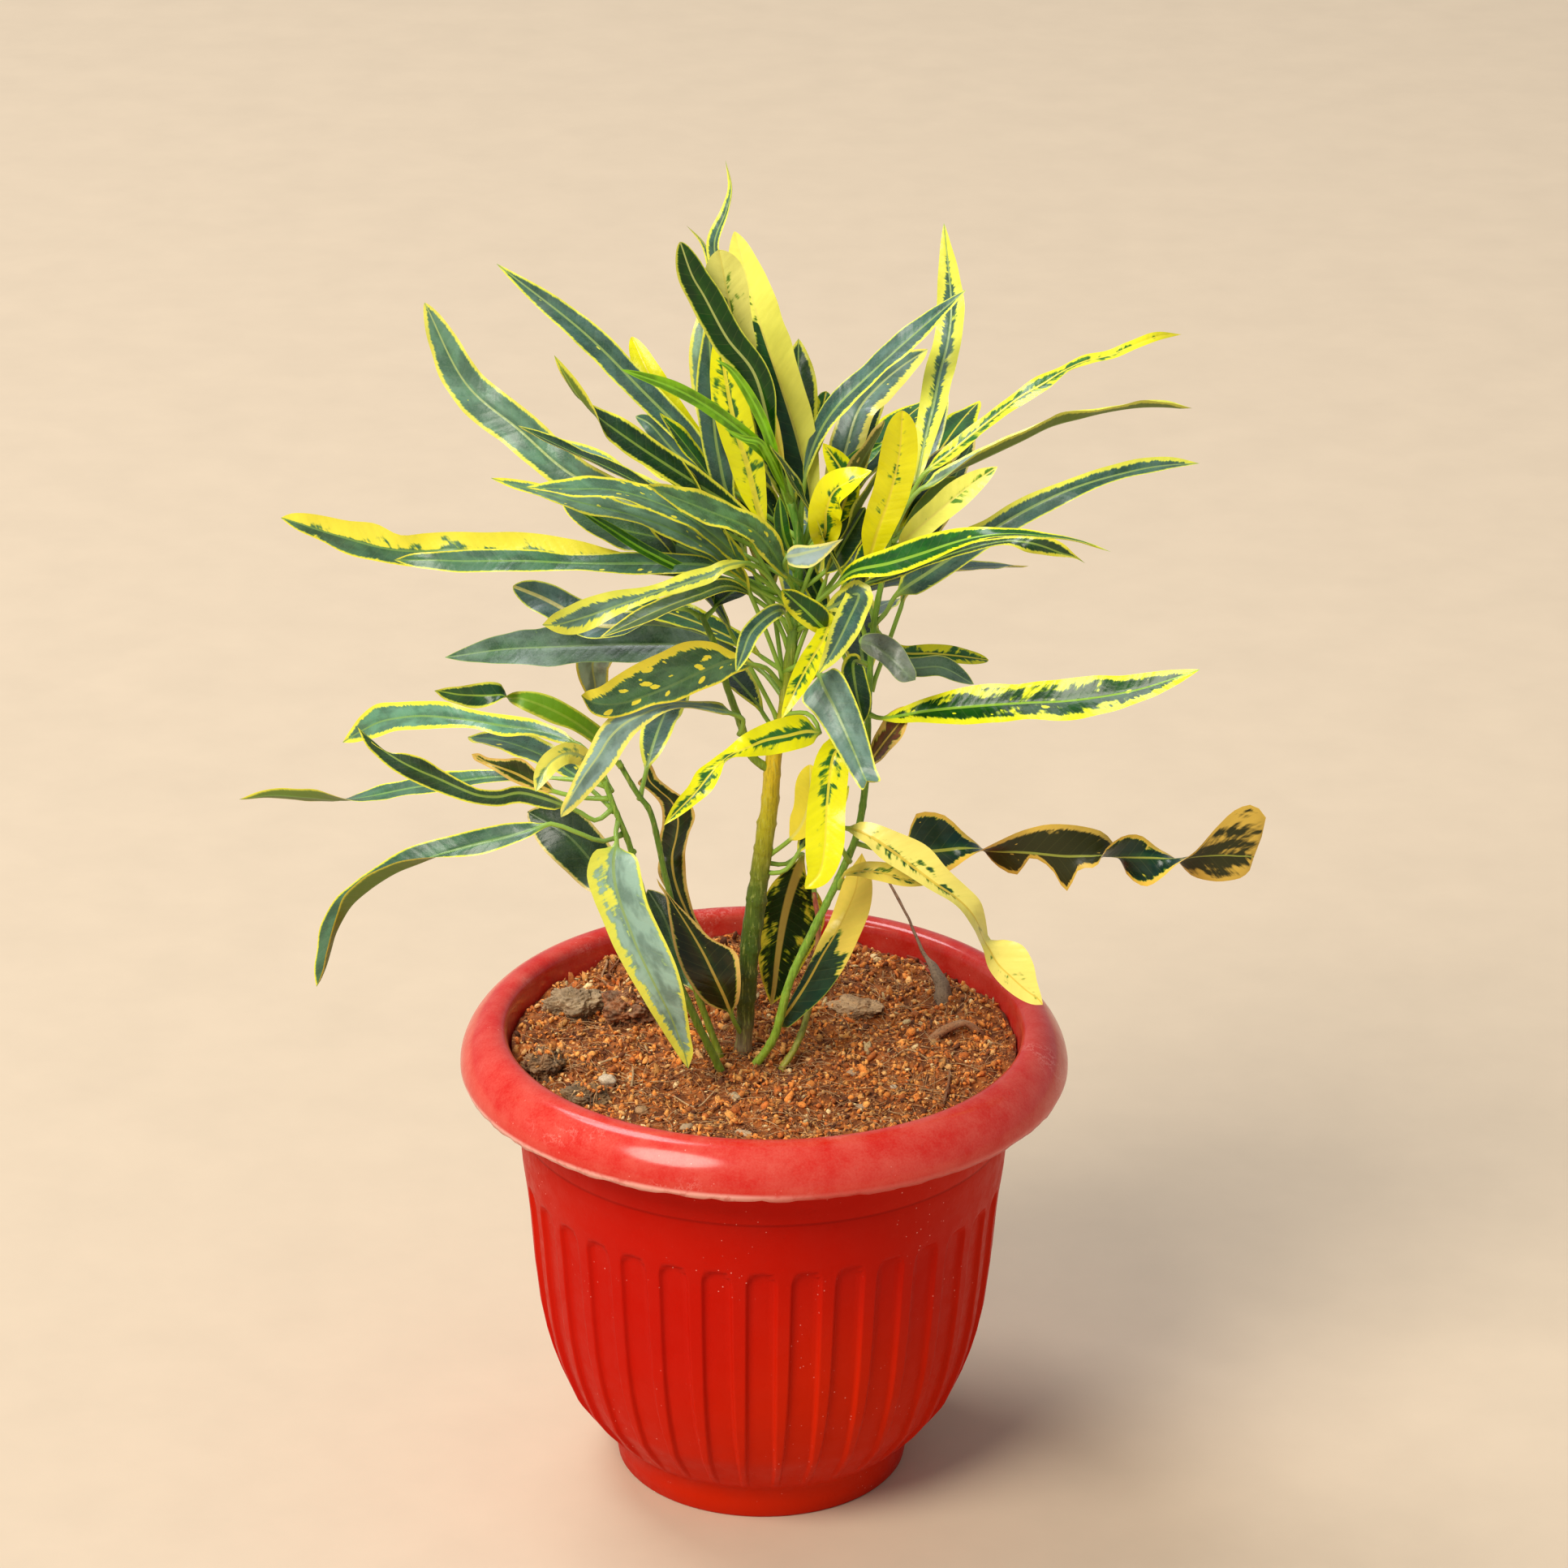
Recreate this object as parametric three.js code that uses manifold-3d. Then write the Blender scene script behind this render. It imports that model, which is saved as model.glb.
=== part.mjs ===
// A potted croton: a fluted red plastic pot filled with coir compost, five rooted leafy stems,
// and the few stones, clods and dry sticks that lie on the compost.
// Millimetres, +Z up, +Y away from the viewer, origin at the centre of the pot's underside.

import * as THREE from "three";
import Module from "manifold-3d";

const wasm = await Module();
wasm.setup();

// ---------------------------------------------------------------- driving dimensions

const rimWidth = 254; // across the lip, a ten inch nursery pot
const potHeight = 203.5;
const footWidth = 122;
const floorThickness = 5;
const fluteCount = 34;
const fluteDepth = 1.5;
const drainHoles = 5;
const drainWidth = 11;
const drainCircle = 38; // radius that the drain holes stand on

const soilLevel = 192;
const soilRelief = 1.6; // height of the crumbs' long waves
const fit = 0.3; // gap between pieces that touch

const bladeThickness = 0.75;
const ribThickness = 1.3;
const stalkWidth = 1.8;
const rootedDepth = 30; // how far a stem stands in the compost
const tipWidth = 1.5;
const depthSpread = 0.7; // how much further than noted a leaf's tip reaches to or from the viewer
const sunk = 0.7; // a stalk starts this far from the middle of its stem
const rowSpacing = 22; // length of blade to each row of facets
const stemSpacing = 26; // length of stem to each row of facets
const ribbedFold = 12; // a leaf folded less than this, in degrees, has no separate midrib row

// The photograph was taken from this place. It turns a point seen in the 1932 pixel picture,
// with its distance in front of the pot's axis, into a point of the part.
const photo = { range: 2200, pitch: 23, focal: 6620, roll: 0.5, aimHeight: 310, aside: 7.3, centre: 966 };

const radians = (degrees) => (degrees * Math.PI) / 180;
const pitch = radians(photo.pitch);
const roll = radians(photo.roll);
const eye = new THREE.Vector3(
  photo.aside,
  -photo.range * Math.cos(pitch),
  photo.aimHeight + photo.range * Math.sin(pitch),
);

function fromPhoto([x, y, front]) {
  const across = x - photo.centre;
  const down = y - photo.centre;
  const u = (across * Math.cos(roll) + down * Math.sin(roll)) / photo.focal;
  const v = (down * Math.cos(roll) - across * Math.sin(roll)) / photo.focal;
  const ray = new THREE.Vector3(
    u,
    Math.cos(pitch) - v * Math.sin(pitch),
    -Math.sin(pitch) - v * Math.cos(pitch),
  );
  return ray.multiplyScalar((-front - eye.y) / ray.y).add(eye);
}

// ---------------------------------------------------------------- solids from rings and sections

function toSolid(points, triangles) {
  const vertProperties = new Float32Array(points.flatMap((p) => [p.x, p.y, p.z]));
  return new wasm.Manifold(
    new wasm.Mesh({ numProp: 3, vertProperties, triVerts: new Uint32Array(triangles) }),
  );
}

function toGeometry(solid) {
  const mesh = solid.getMesh();
  const geometry = new THREE.BufferGeometry();
  geometry.setAttribute("position", new THREE.BufferAttribute(new Float32Array(mesh.vertProperties), 3));
  geometry.setIndex([...mesh.triVerts]);
  geometry.computeVertexNormals();
  return geometry;
}

const joined = (solids) => solids.reduce((whole, solid) => whole.add(solid));

// A round body given as rings from the middle of its underside, out, up and back to the axis.
// Each ring is a list of { angle, radius, z }; a ring of one point closes the body on the axis.
function ringSolid(rings) {
  const points = [];
  const triangles = [];
  const starts = rings.map((ring) => {
    const start = points.length;
    for (const { angle, radius, z } of ring) {
      points.push(new THREE.Vector3(radius * Math.cos(angle), radius * Math.sin(angle), z));
    }
    return start;
  });
  for (let k = 0; k + 1 < rings.length; k++) {
    stitch(rings[k], starts[k], rings[k + 1], starts[k + 1], triangles);
  }
  return toSolid(points, triangles);
}

// Fills the band between two rings, always stepping along the ring whose next point comes first.
function stitch(lower, lowerStart, upper, upperStart, triangles) {
  const stepsLower = lower.length > 1 ? lower.length : 0;
  const stepsUpper = upper.length > 1 ? upper.length : 0;
  const nextAngle = (ring, i) => {
    const turned = i + 1 >= ring.length ? 2 * Math.PI : 0;
    return ring[(i + 1) % ring.length].angle + turned;
  };
  let i = 0;
  let j = 0;
  while (i < stepsLower || j < stepsUpper) {
    const a = lowerStart + (i % lower.length);
    const b = upperStart + (j % upper.length);
    const takeLower = j >= stepsUpper || (i < stepsLower && nextAngle(lower, i) <= nextAngle(upper, j));
    if (takeLower) {
      triangles.push(a, lowerStart + ((i + 1) % lower.length), b);
      i += 1;
    } else {
      triangles.push(a, upperStart + ((j + 1) % upper.length), b);
      j += 1;
    }
  }
}

// Joins equal sections, each the same number of points in turn, into a closed body.
function sectionSolid(sections) {
  const n = sections[0].length;
  const points = sections.flat();
  const triangles = [];
  for (let k = 0; k + 1 < sections.length; k++) {
    for (let i = 0; i < n; i++) {
      const a = k * n + i;
      const b = k * n + ((i + 1) % n);
      triangles.push(a, b, b + n, a, b + n, a + n);
    }
  }
  const last = (sections.length - 1) * n;
  for (let i = 1; i + 1 < n; i++) {
    triangles.push(0, i + 1, i, last, last + i, last + i + 1);
  }
  return toSolid(points, triangles);
}

// ---------------------------------------------------------------- pot

// Points of one flute, as shares of its pitch: a fluted ring has the two rib edges with the groove
// between them, a plain ring only the rib edges, and a hidden ring one rib edge.
const flutedShares = [-0.34, -0.26, 0.26, 0.34];
const plainShares = [-0.34, 0.34];
const hiddenShares = [-0.34];

function fluteRing(radius, z, shares = plainShares) {
  const ring = [];
  for (let flute = 0; flute < fluteCount; flute++) {
    for (const share of shares) {
      const depth = Math.abs(share) < 0.3 ? fluteDepth : 0;
      ring.push({
        angle: ((flute + share) / fluteCount) * 2 * Math.PI - Math.PI / 2,
        radius: radius - depth,
        z,
      });
    }
  }
  return ring;
}

const axisPoint = (z) => [{ angle: 0, radius: 0, z }];

const footRadius = footWidth / 2;
const rimRadius = rimWidth / 2;

// Outer radius of the pot at each height, from the foot to the neck under the lip.
const body = [
  [footRadius + 3.3, 10.3], [70, 17], [81.6, 33],
  [85, 40, flutedShares], [91.6, 61, flutedShares], [97, 98, flutedShares], [100, 133, flutedShares],
  [100.5, 139], [104.6, 184],
];
const rim = [
  [108, 191.5], [117, 191], [rimRadius - 2.6, 183.6], [rimRadius - 0.6, 183.2],
  [rimRadius - 0.2, 188], [rimRadius - 4, 196.5], [rimRadius - 9, 201.8],
  [rimRadius - 14, potHeight], [rimRadius - 18.8, potHeight - 2.5],
];
const bore = [
  [rimRadius - 20.6, soilLevel], [101.2, 176, hiddenShares], [96.6, 135, hiddenShares],
  [90.6, 74, hiddenShares], [81.6, 42, hiddenShares], [66, 18, hiddenShares],
  [footRadius - 4, floorThickness, hiddenShares],
];

function makePot() {
  const rings = [
    axisPoint(0),
    fluteRing(footRadius - 0.6, 0),
    fluteRing(footRadius + 0.4, 9),
    ...[...body, ...rim, ...bore].map((ring) => fluteRing(...ring)),
    axisPoint(floorThickness),
  ];
  let pot = ringSolid(rings);
  for (let hole = 0; hole < drainHoles; hole++) {
    const turn = (hole / drainHoles) * 2 * Math.PI;
    const centre = new THREE.Vector3(drainCircle * Math.cos(turn), drainCircle * Math.sin(turn), -1);
    const top = centre.clone().setZ(floorThickness + 1);
    pot = pot.subtract(post(centre, top, drainWidth / 2, 8));
  }
  return pot;
}

// A straight round post between two points.
function post(from, to, radius, sides) {
  const along = to.clone().sub(from).normalize();
  const helper = Math.abs(along.z) > 0.9 ? new THREE.Vector3(1, 0, 0) : new THREE.Vector3(0, 0, 1);
  const across = helper.cross(along).normalize();
  const third = along.clone().cross(across);
  const section = (centre) => Array.from({ length: sides }, (_, i) => {
    const angle = (i / sides) * 2 * Math.PI;
    return centre.clone()
      .addScaledVector(across, radius * Math.cos(angle))
      .addScaledVector(third, radius * Math.sin(angle));
  });
  return sectionSolid([section(from), section(to)]);
}

// ---------------------------------------------------------------- compost and what lies on it

// Height of the compost: a low heap round the stems and long shallow waves.
function soilHeight(x, y) {
  const heap = 3 * Math.exp(-((x + 6) ** 2 + (y + 20) ** 2) / 900);
  const waves = Math.sin(x / 9 + 1.3) * Math.cos(y / 11 - 0.4) + 0.6 * Math.sin((x + y) / 6.2);
  return soilLevel + heap + soilRelief * waves;
}

const soilSides = [[65.4, 18], [81, 42], [90, 74], [96, 135], [100.5, 175]];
const soilTop = [105, 96, 82, 65, 47, 28, 10];

function makeSoil() {
  const even = (count, radius) => Array.from({ length: count }, (_, i) => {
    const angle = ((i + 0.5) / count) * 2 * Math.PI - Math.PI / 2;
    return { angle, radius, z: soilHeight(radius * Math.cos(angle), radius * Math.sin(angle)) };
  });
  const rings = [
    axisPoint(floorThickness + fit),
    fluteRing(footRadius - 4.6, floorThickness + fit, hiddenShares),
    ...soilSides.map(([radius, z]) => fluteRing(radius, z, hiddenShares)),
    fluteRing(soilTop[0], soilLevel - 2.5),
    ...soilTop.slice(1).map((radius) => even(radius > 50 ? 34 : 17, radius)),
    axisPoint(soilHeight(0, 0)),
  ];
  return ringSolid(rings);
}

// Stones and clods: where they lie in mm to the right of and behind the pot's axis; their length,
// depth and height in mm; and how far they are turned, in degrees.
const lumps = {
  stone_grey: { at: [-80, 31], size: [28, 20, 13], turn: 15, colour: 0x8e8873 },
  stone_tan: { at: [38, 32], size: [22, 15, 8], turn: -10, colour: 0x9a8468 },
  clod_brown: { at: [-55, 29], size: [22, 19, 15], turn: 40, colour: 0x6f4a2c },
  clod_dark: { at: [-90, -26], size: [16, 14, 10], turn: 70, colour: 0x54392a },
  clod_front: { at: [-72, -52], size: [17, 13, 9], turn: 0, colour: 0x4d3a26 },
};

function lumpSolid({ at, size, turn }, grown) {
  const ball = new THREE.IcosahedronGeometry(0.5, 1);
  const source = ball.getAttribute("position");
  const index = new Map();
  const points = [];
  const triangles = [];
  for (let i = 0; i < source.count; i++) {
    const unit = new THREE.Vector3().fromBufferAttribute(source, i);
    const key = unit.toArray().map((value) => value.toFixed(4)).join();
    if (!index.has(key)) {
      index.set(key, points.length);
      const dents = 0.14 * Math.sin(unit.x * 9 + turn) * Math.cos(unit.y * 8 - turn);
      const bump = 1 + dents + 0.1 * Math.sin(unit.z * 11);
      const scaled = new THREE.Vector3(...size.map((side) => side + 2 * grown));
      const point = unit.multiplyScalar(bump).multiply(scaled);
      point.applyAxisAngle(new THREE.Vector3(0, 0, 1), radians(turn));
      points.push(point.add(new THREE.Vector3(at[0], at[1], soilHeight(...at) + size[2] * 0.18)));
    }
    triangles.push(index.get(key));
  }
  return toSolid(points, triangles);
}

// Dry sticks on the compost: points in mm and radius at each end.
const sticks = {
  dry_twig: {
    path: [[78, 38, 186], [74, 48, 200], [67, 62, 207], [60, 74, 219], [52, 83, 231]],
    radius: [2.4, 0.8],
    colour: 0x9c8b7c,
  },
  brown_stick: {
    path: [[68, 4, 190.5], [76, 9, 195], [84, 13, 196], [90, 14, 192]],
    radius: [1.6, 1.3],
    colour: 0x7a3f22,
  },
};

// ---------------------------------------------------------------- stems

// Each stem: its centre line from the compost up, [photo x, photo y, mm in front of the pot's axis],
// and its radius at the root and at the tip. Twigs fork off it.
const stems = {
  main_stem: {
    path: [
      [915, 1305, 15], [919, 1240, 14], [925, 1160, 12], [936, 1080, 10], [947, 1000, 8], [955, 925, 6],
      [966, 880, 5], [972, 820, 4], [980, 760, 4], [984, 700, 4], [983, 655, 4], [975, 620, 4],
    ],
    radius: [3.5, 1.5],
    twigs: [
      {
        path: [[951, 950, 6], [925, 930, 9], [912, 890, 11], [897, 850, 11], [883, 800, 10], [864, 757, 8]],
        radius: [2, 1.2],
      },
    ],
  },
  right_stem: {
    path: [
      [925, 1320, 26], [953, 1279, 27], [974, 1207, 27], [1005, 1140, 26], [1032, 1085, 24],
      [1055, 1030, 20], [1066, 970, 17], [1070, 870, 14], [1076, 775, 13], [1090, 700, 12], [1104, 635, 12],
    ],
    radius: [2.5, 1.5],
    twigs: [],
  },
  left_shoot: {
    path: [
      [892, 1327, 32], [861, 1264, 34], [826, 1187, 35], [800, 1126, 35],
      [775, 1040, 34], [757, 995, 33], [745, 962, 31],
    ],
    radius: [2.1, 1.3],
    twigs: [],
  },
  left_twig: {
    path: [
      [890, 1308, 19], [866, 1243, 18], [840, 1160, 16], [820, 1080, 13],
      [800, 998, 10], [786, 979, 9], [762, 938, 8],
    ],
    radius: [1.8, 1.2],
    twigs: [],
  },
  low_shoot: {
    path: [
      [963, 1317, 26], [980, 1290, 21], [994, 1253, 14], [1004, 1200, 6],
      [1008, 1140, 0], [1003, 1100, -3],
    ],
    radius: [1.8, 1.1],
    twigs: [],
  },
};

// ---------------------------------------------------------------- leaves

// Each leaf: the stem it grows on; its midrib from the stem to the tip, [photo x, photo y, mm in front
// of the pot's axis]; its full width in mm; how far its face is turned from the viewer about the midrib,
// in degrees, at even steps from base to tip; stalk is the bare length in mm, fold how far the two halves
// rise towards each other in degrees, wave the height in mm of the waves along the edge,
// blunt 0 for a sharp tip to 1 for a round one.
const leaves = {
  // left side of the crown
  highLeft: {
    on: "main_stem", wide: 16, stalk: 32, fold: 8, wave: 0.8, blunt: 0,
    turn: [10, -10],
    path: [
      [982, 680, 2], [905, 610, -6], [880, 580, -8], [800, 500, -12], [720, 420, -16], [612, 325, -22],
    ],
  },
  farLeftHigh: {
    on: "main_stem", wide: 23, stalk: 38, fold: 6, wave: 1.2, blunt: 0.6,
    turn: [-10, 0, 5],
    path: [
      [980, 715, 2], [860, 650, -13], [780, 620, -21], [700, 585, -28], [640, 540, -33],
      [570, 465, -38], [523, 373, -42],
    ],
  },
  edgeOnLeft: {
    on: "main_stem", wide: 13, stalk: 34, fold: 10, wave: 0.5, blunt: 0.3,
    turn: [-72],
    path: [[981, 700, 4], [850, 630, 0], [760, 581, -5], [700, 554, -8], [638, 524, -11]],
  },
  greyBehindLeft: {
    on: "main_stem", wide: 15, stalk: 34, fold: 8, wave: 0.5, blunt: 0.2,
    turn: [-62],
    path: [[980, 690, 0], [850, 622, -7], [780, 590, -14], [740, 565, -18], [690, 540, -21]],
  },
  curledTipLeft: {
    on: "main_stem", wide: 16, stalk: 22, fold: 12, wave: 0.6, blunt: 0,
    turn: [-15, -15, -15, -15, -20, -80, -150, -175],
    path: [
      [983, 690, 6], [945, 650, 8], [900, 620, 10], [820, 576, 12], [742, 522, 14], [718, 494, 14],
      [706, 462, 13], [683, 438, 12],
    ],
  },
  topDark: {
    on: "main_stem", wide: 15, stalk: 30, fold: 6, wave: 0.5, blunt: 0.7,
    turn: [10, 0],
    path: [[980, 640, 5], [948, 540, 10], [930, 480, 12], [905, 425, 13], [880, 385, 14], [838, 297, 15]],
  },
  paleTip: {
    on: "main_stem", wide: 17, stalk: 34, fold: 4, wave: 0.4, blunt: 1,
    turn: [0],
    path: [[980, 650, 2], [956, 560, 2], [932, 470, 3], [908, 390, 6], [890, 308, 9]],
  },
  bigYellow: {
    on: "main_stem", wide: 21, stalk: 16, fold: 8, wave: 0.6, blunt: 0.4,
    turn: [10],
    path: [
      [983, 665, 0], [985, 600, -6], [968, 540, -9], [950, 460, -12], [932, 385, -15], [905, 285, -20],
    ],
  },
  topTwist: {
    on: "main_stem", wide: 9, stalk: 30, fold: 15, wave: 0.3, blunt: 0,
    turn: [0, 0, 20, 40, 60],
    path: [
      [980, 640, 0], [930, 500, -23], [888, 350, -31], [877, 300, -31], [892, 258, -31],
      [897, 232, -31], [891, 198, -31],
    ],
  },
  topCurl: {
    on: "main_stem", wide: 8, stalk: 30, fold: 15, wave: 0.2, blunt: 0,
    turn: [0, 0, 30, 70],
    path: [[981, 652, 0], [920, 480, -30], [880, 335, -38], [866, 300, -37], [846, 278, -35]],
  },
  paleBehind: {
    on: "main_stem", wide: 17, stalk: 34, fold: 6, wave: 0.6, blunt: 0.2,
    turn: [20],
    path: [[982, 675, 0], [890, 560, -24], [866, 500, -29], [858, 430, -31], [866, 365, -33]],
  },
  uprightGrey: {
    on: "main_stem", wide: 13, stalk: 30, fold: 5, wave: 0.4, blunt: 0.1,
    turn: [0],
    path: [[983, 690, 4], [905, 625, 2], [885, 560, 2], [878, 500, 1], [876, 450, 0], [872, 395, -1]],
  },
  uprightYellow: {
    on: "main_stem", wide: 15, stalk: 16, fold: 6, wave: 0.6, blunt: 0.2,
    turn: [10],
    path: [[983, 680, 6], [945, 650, 7], [920, 570, 6], [907, 530, 5], [894, 465, 4], [886, 405, 2]],
  },
  yellowTipBehind: {
    on: "main_stem", wide: 14, stalk: 36, fold: 5, wave: 0.4, blunt: 0.8,
    turn: [0],
    path: [[983, 680, -1], [880, 560, -26], [812, 470, -33], [778, 415, -35]],
  },
  youngGreen: {
    on: "main_stem", wide: 6, stalk: 10, fold: 10, wave: 0.3, blunt: 0.3,
    turn: [-15],
    path: [
      [978, 620, 6], [950, 568, 16], [930, 546, 19], [905, 525, 21], [870, 500, 23], [830, 478, 25],
      [765, 455, 27],
    ],
  },
  fanUpper: {
    on: "main_stem", wide: 17, stalk: 22, fold: 6, wave: 0.8, blunt: 0.2,
    turn: [-50, -56, -58],
    path: [
      [983, 745, 6], [925, 700, 14], [880, 660, 19], [840, 632, 22], [760, 604, 24], [700, 602, 25],
      [648, 600, 26],
    ],
  },
  fanLower: {
    on: "main_stem", wide: 17, stalk: 22, fold: 6, wave: 0.8, blunt: 0.1,
    turn: [-55],
    path: [[982, 750, 6], [920, 715, 10], [875, 677, 13], [800, 641, 15], [700, 615, 16], [605, 589, 17]],
  },
  fanFront: {
    on: "main_stem", wide: 15, stalk: 14, fold: 8, wave: 0.8, blunt: 0.1,
    turn: [-40],
    path: [[985, 735, 8], [965, 700, 20], [930, 655, 27], [870, 628, 32], [820, 608, 35], [798, 597, 36]],
  },
  broadDarkLeft: {
    on: "main_stem", wide: 21, stalk: 28, fold: 6, wave: 0.8, blunt: 0.3,
    turn: [-40],
    path: [[982, 740, 3], [875, 690, -2], [820, 665, -6], [760, 650, -10], [693, 620, -14]],
  },
  youngLeftA: {
    on: "main_stem", wide: 4.5, stalk: 20, fold: 10, wave: 0.2, blunt: 0.2,
    turn: [-20],
    path: [[982, 735, 6], [870, 712, 8], [795, 678, 9], [750, 650, 8], [705, 622, 7]],
  },
  longLeftYellow: {
    on: "main_stem", wide: 20, stalk: 26, fold: 16, wave: 1, blunt: 0.2,
    turn: [-50],
    path: [
      [981, 775, 4], [900, 712, -3], [760, 684, -8], [640, 677, -10], [500, 677, -12], [420, 662, -14],
      [346, 638, -16],
    ],
  },
  longLeftGrey: {
    on: "main_stem", wide: 17, stalk: 26, fold: 8, wave: 0.6, blunt: 0.1,
    turn: [-60],
    path: [[980, 780, 5], [890, 704, 8], [760, 695, 7], [640, 691, 6], [560, 690, 5], [485, 690, 4]],
  },
  variegatedLeft: {
    on: "main_stem", wide: 15, stalk: 22, fold: 8, wave: 0.8, blunt: 0.6,
    turn: [-35],
    path: [[983, 760, 6], [925, 696, 20], [860, 718, 27], [820, 732, 30], [740, 752, 33], [668, 768, 35]],
  },
  behindVariegated: {
    on: "main_stem", wide: 12, stalk: 20, fold: 8, wave: 0.4, blunt: 0,
    turn: [-55],
    path: [[981, 770, 5], [900, 722, 10], [860, 733, 12], [810, 752, 13], [738, 786, 14]],
  },
  wideTipLeft: {
    on: "main_stem", wide: 17, stalk: 10, fold: 5, wave: 0.6, blunt: 0.8,
    turn: [-30],
    path: [[864, 757, 8], [832, 738, 4], [780, 748, -3], [700, 748, -12], [660, 732, -16], [632, 722, -17]],
  },
  underCrown: {
    on: "main_stem", wide: 13, stalk: 6, fold: 5, wave: 0.4, blunt: 0.4,
    turn: [50],
    path: [[866, 760, 8], [886, 742, 4], [905, 728, -1], [940, 712, -8]],
  },
  greyWideLeft: {
    on: "main_stem", wide: 18, stalk: 18, fold: 5, wave: 0.6, blunt: 0,
    turn: [-32],
    path: [
      [967, 860, 5], [930, 818, -4], [860, 797, -9], [780, 794, -14], [680, 797, -20], [620, 800, -24],
      [548, 810, -28],
    ],
  },
  spottedLeft: {
    on: "main_stem", wide: 19, stalk: 20, fold: 8, wave: 0.8, blunt: 0.5,
    turn: [-28],
    path: [
      [968, 852, 5], [918, 820, 18], [870, 826, 22], [840, 840, 24], [800, 853, 26], [760, 865, 28],
      [716, 857, 30],
    ],
  },
  droopBehindLeft: {
    on: "main_stem", wide: 14, stalk: 30, fold: 5, wave: 0.4, blunt: 0.6,
    turn: [0],
    path: [[969, 850, 4], [880, 800, -26], [790, 800, -36], [742, 822, -40], [722, 852, -41]],
  },
  archFolded: {
    on: "main_stem", wide: 13.5, stalk: 10, fold: 14, wave: 0.8, blunt: 0.3,
    turn: [-70, -60, -40, -25, -15, -10],
    path: [
      [918, 905, 11], [920, 872, 16], [890, 868, 20], [850, 866, 24], [805, 878, 30], [765, 905, 36],
      [745, 935, 40], [715, 970, 44], [693, 1003, 47],
    ],
  },
  smallDarkCentre: {
    on: "main_stem", wide: 9, stalk: 20, fold: 8, wave: 0.3, blunt: 0.2,
    turn: [-10, 10],
    path: [[981, 780, 5], [962, 752, 24], [945, 760, 28], [925, 780, 31], [915, 805, 33], [907, 828, 34]],
  },
  whiteGlossy: {
    on: "main_stem", wide: 10, stalk: 14, fold: 12, wave: 0.5, blunt: 0,
    turn: [10, 20],
    path: [[984, 720, 6], [957, 698, 18], [960, 688, 24], [990, 682, 28], [1038, 663, 31]],
  },
  smallUpright: {
    on: "main_stem", wide: 6, stalk: 8, fold: 8, wave: 0.2, blunt: 0.1,
    turn: [0],
    path: [[984, 700, 6], [966, 660, 14], [960, 612, 16]],
  },
  // right side of the crown, on the main stem
  upperRightGrey: {
    on: "main_stem", wide: 14.5, stalk: 24, fold: 6, wave: 0.6, blunt: 0.1,
    turn: [42],
    path: [
      [983, 670, 2], [990, 600, -3], [1008, 540, -6], [1030, 505, -7], [1060, 475, -8],
      [1090, 447, -9], [1120, 420, -10], [1191, 358, -12],
    ],
  },
  upperRightVariegated: {
    on: "main_stem", wide: 16, stalk: 24, fold: 6, wave: 0.6, blunt: 0.2,
    turn: [20],
    path: [
      [984, 680, 0], [1020, 610, -14], [1037, 570, -18], [1058, 505, -25], [1080, 478, -28],
      [1110, 452, -31], [1143, 430, -34],
    ],
  },
  curledCentre: {
    on: "main_stem", wide: 15, stalk: 14, fold: 16, wave: 1, blunt: 0.4,
    turn: [0, -10, 10, 60],
    path: [
      [985, 700, 5], [1015, 662, 16], [1018, 630, 21], [1028, 605, 23], [1048, 592, 23],
      [1074, 580, 21],
    ],
  },
  curledFlap: {
    on: "main_stem", wide: 11, stalk: 20, fold: 10, wave: 0.8, blunt: 0.1,
    turn: [-20, 10],
    path: [[984, 690, 4], [1030, 640, 8], [1044, 604, 9], [1036, 578, 9], [1014, 546, 8]],
  },
  brightGreenSmall: {
    on: "main_stem", wide: 8, stalk: 24, fold: 8, wave: 0.3, blunt: 0.2,
    turn: [10],
    path: [[984, 690, 2], [1030, 610, -6], [1052, 572, -8], [1088, 546, -9]],
  },
  darkInnerRight: {
    on: "main_stem", wide: 12, stalk: 14, fold: 6, wave: 0.5, blunt: 0.3,
    turn: [10],
    path: [[984, 730, 5], [1020, 700, 8], [1045, 660, 9], [1066, 625, 8]],
  },
  frontRightGreen: {
    on: "main_stem", wide: 17, stalk: 20, fold: 6, wave: 0.7, blunt: 0,
    turn: [40, 50, 55, 62, 78, 80],
    path: [
      [983, 765, 6], [1015, 728, 24], [1050, 708, 31], [1100, 692, 36], [1150, 675, 39],
      [1200, 662, 42], [1260, 655, 43], [1320, 661, 43], [1369, 678, 42],
    ],
  },
  underRight: {
    on: "main_stem", wide: 14, stalk: 20, fold: 10, wave: 0.8, blunt: 0,
    turn: [68, 70, 75, 80],
    path: [
      [983, 770, 6], [1030, 738, 18], [1075, 724, 25], [1120, 710, 28], [1170, 692, 31],
      [1220, 676, 33], [1270, 673, 34], [1338, 692, 35],
    ],
  },
  frontVariegated: {
    on: "main_stem", wide: 12, stalk: 22, fold: 8, wave: 0.8, blunt: 0,
    turn: [0, 10],
    path: [
      [983, 775, 6], [1030, 745, 22], [1058, 733, 30], [1045, 765, 35], [1025, 805, 38],
      [1008, 830, 39],
    ],
  },
  yellowBlotched: {
    on: "main_stem", wide: 9, stalk: 12, fold: 8, wave: 0.5, blunt: 0.1,
    turn: [0],
    path: [
      [981, 780, 6], [1020, 765, 20], [1016, 785, 25], [1000, 812, 29], [985, 840, 32], [963, 885, 35],
    ],
  },
  smallGreenCentre: {
    on: "main_stem", wide: 11, stalk: 14, fold: 6, wave: 0.4, blunt: 0.6,
    turn: [10],
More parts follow.
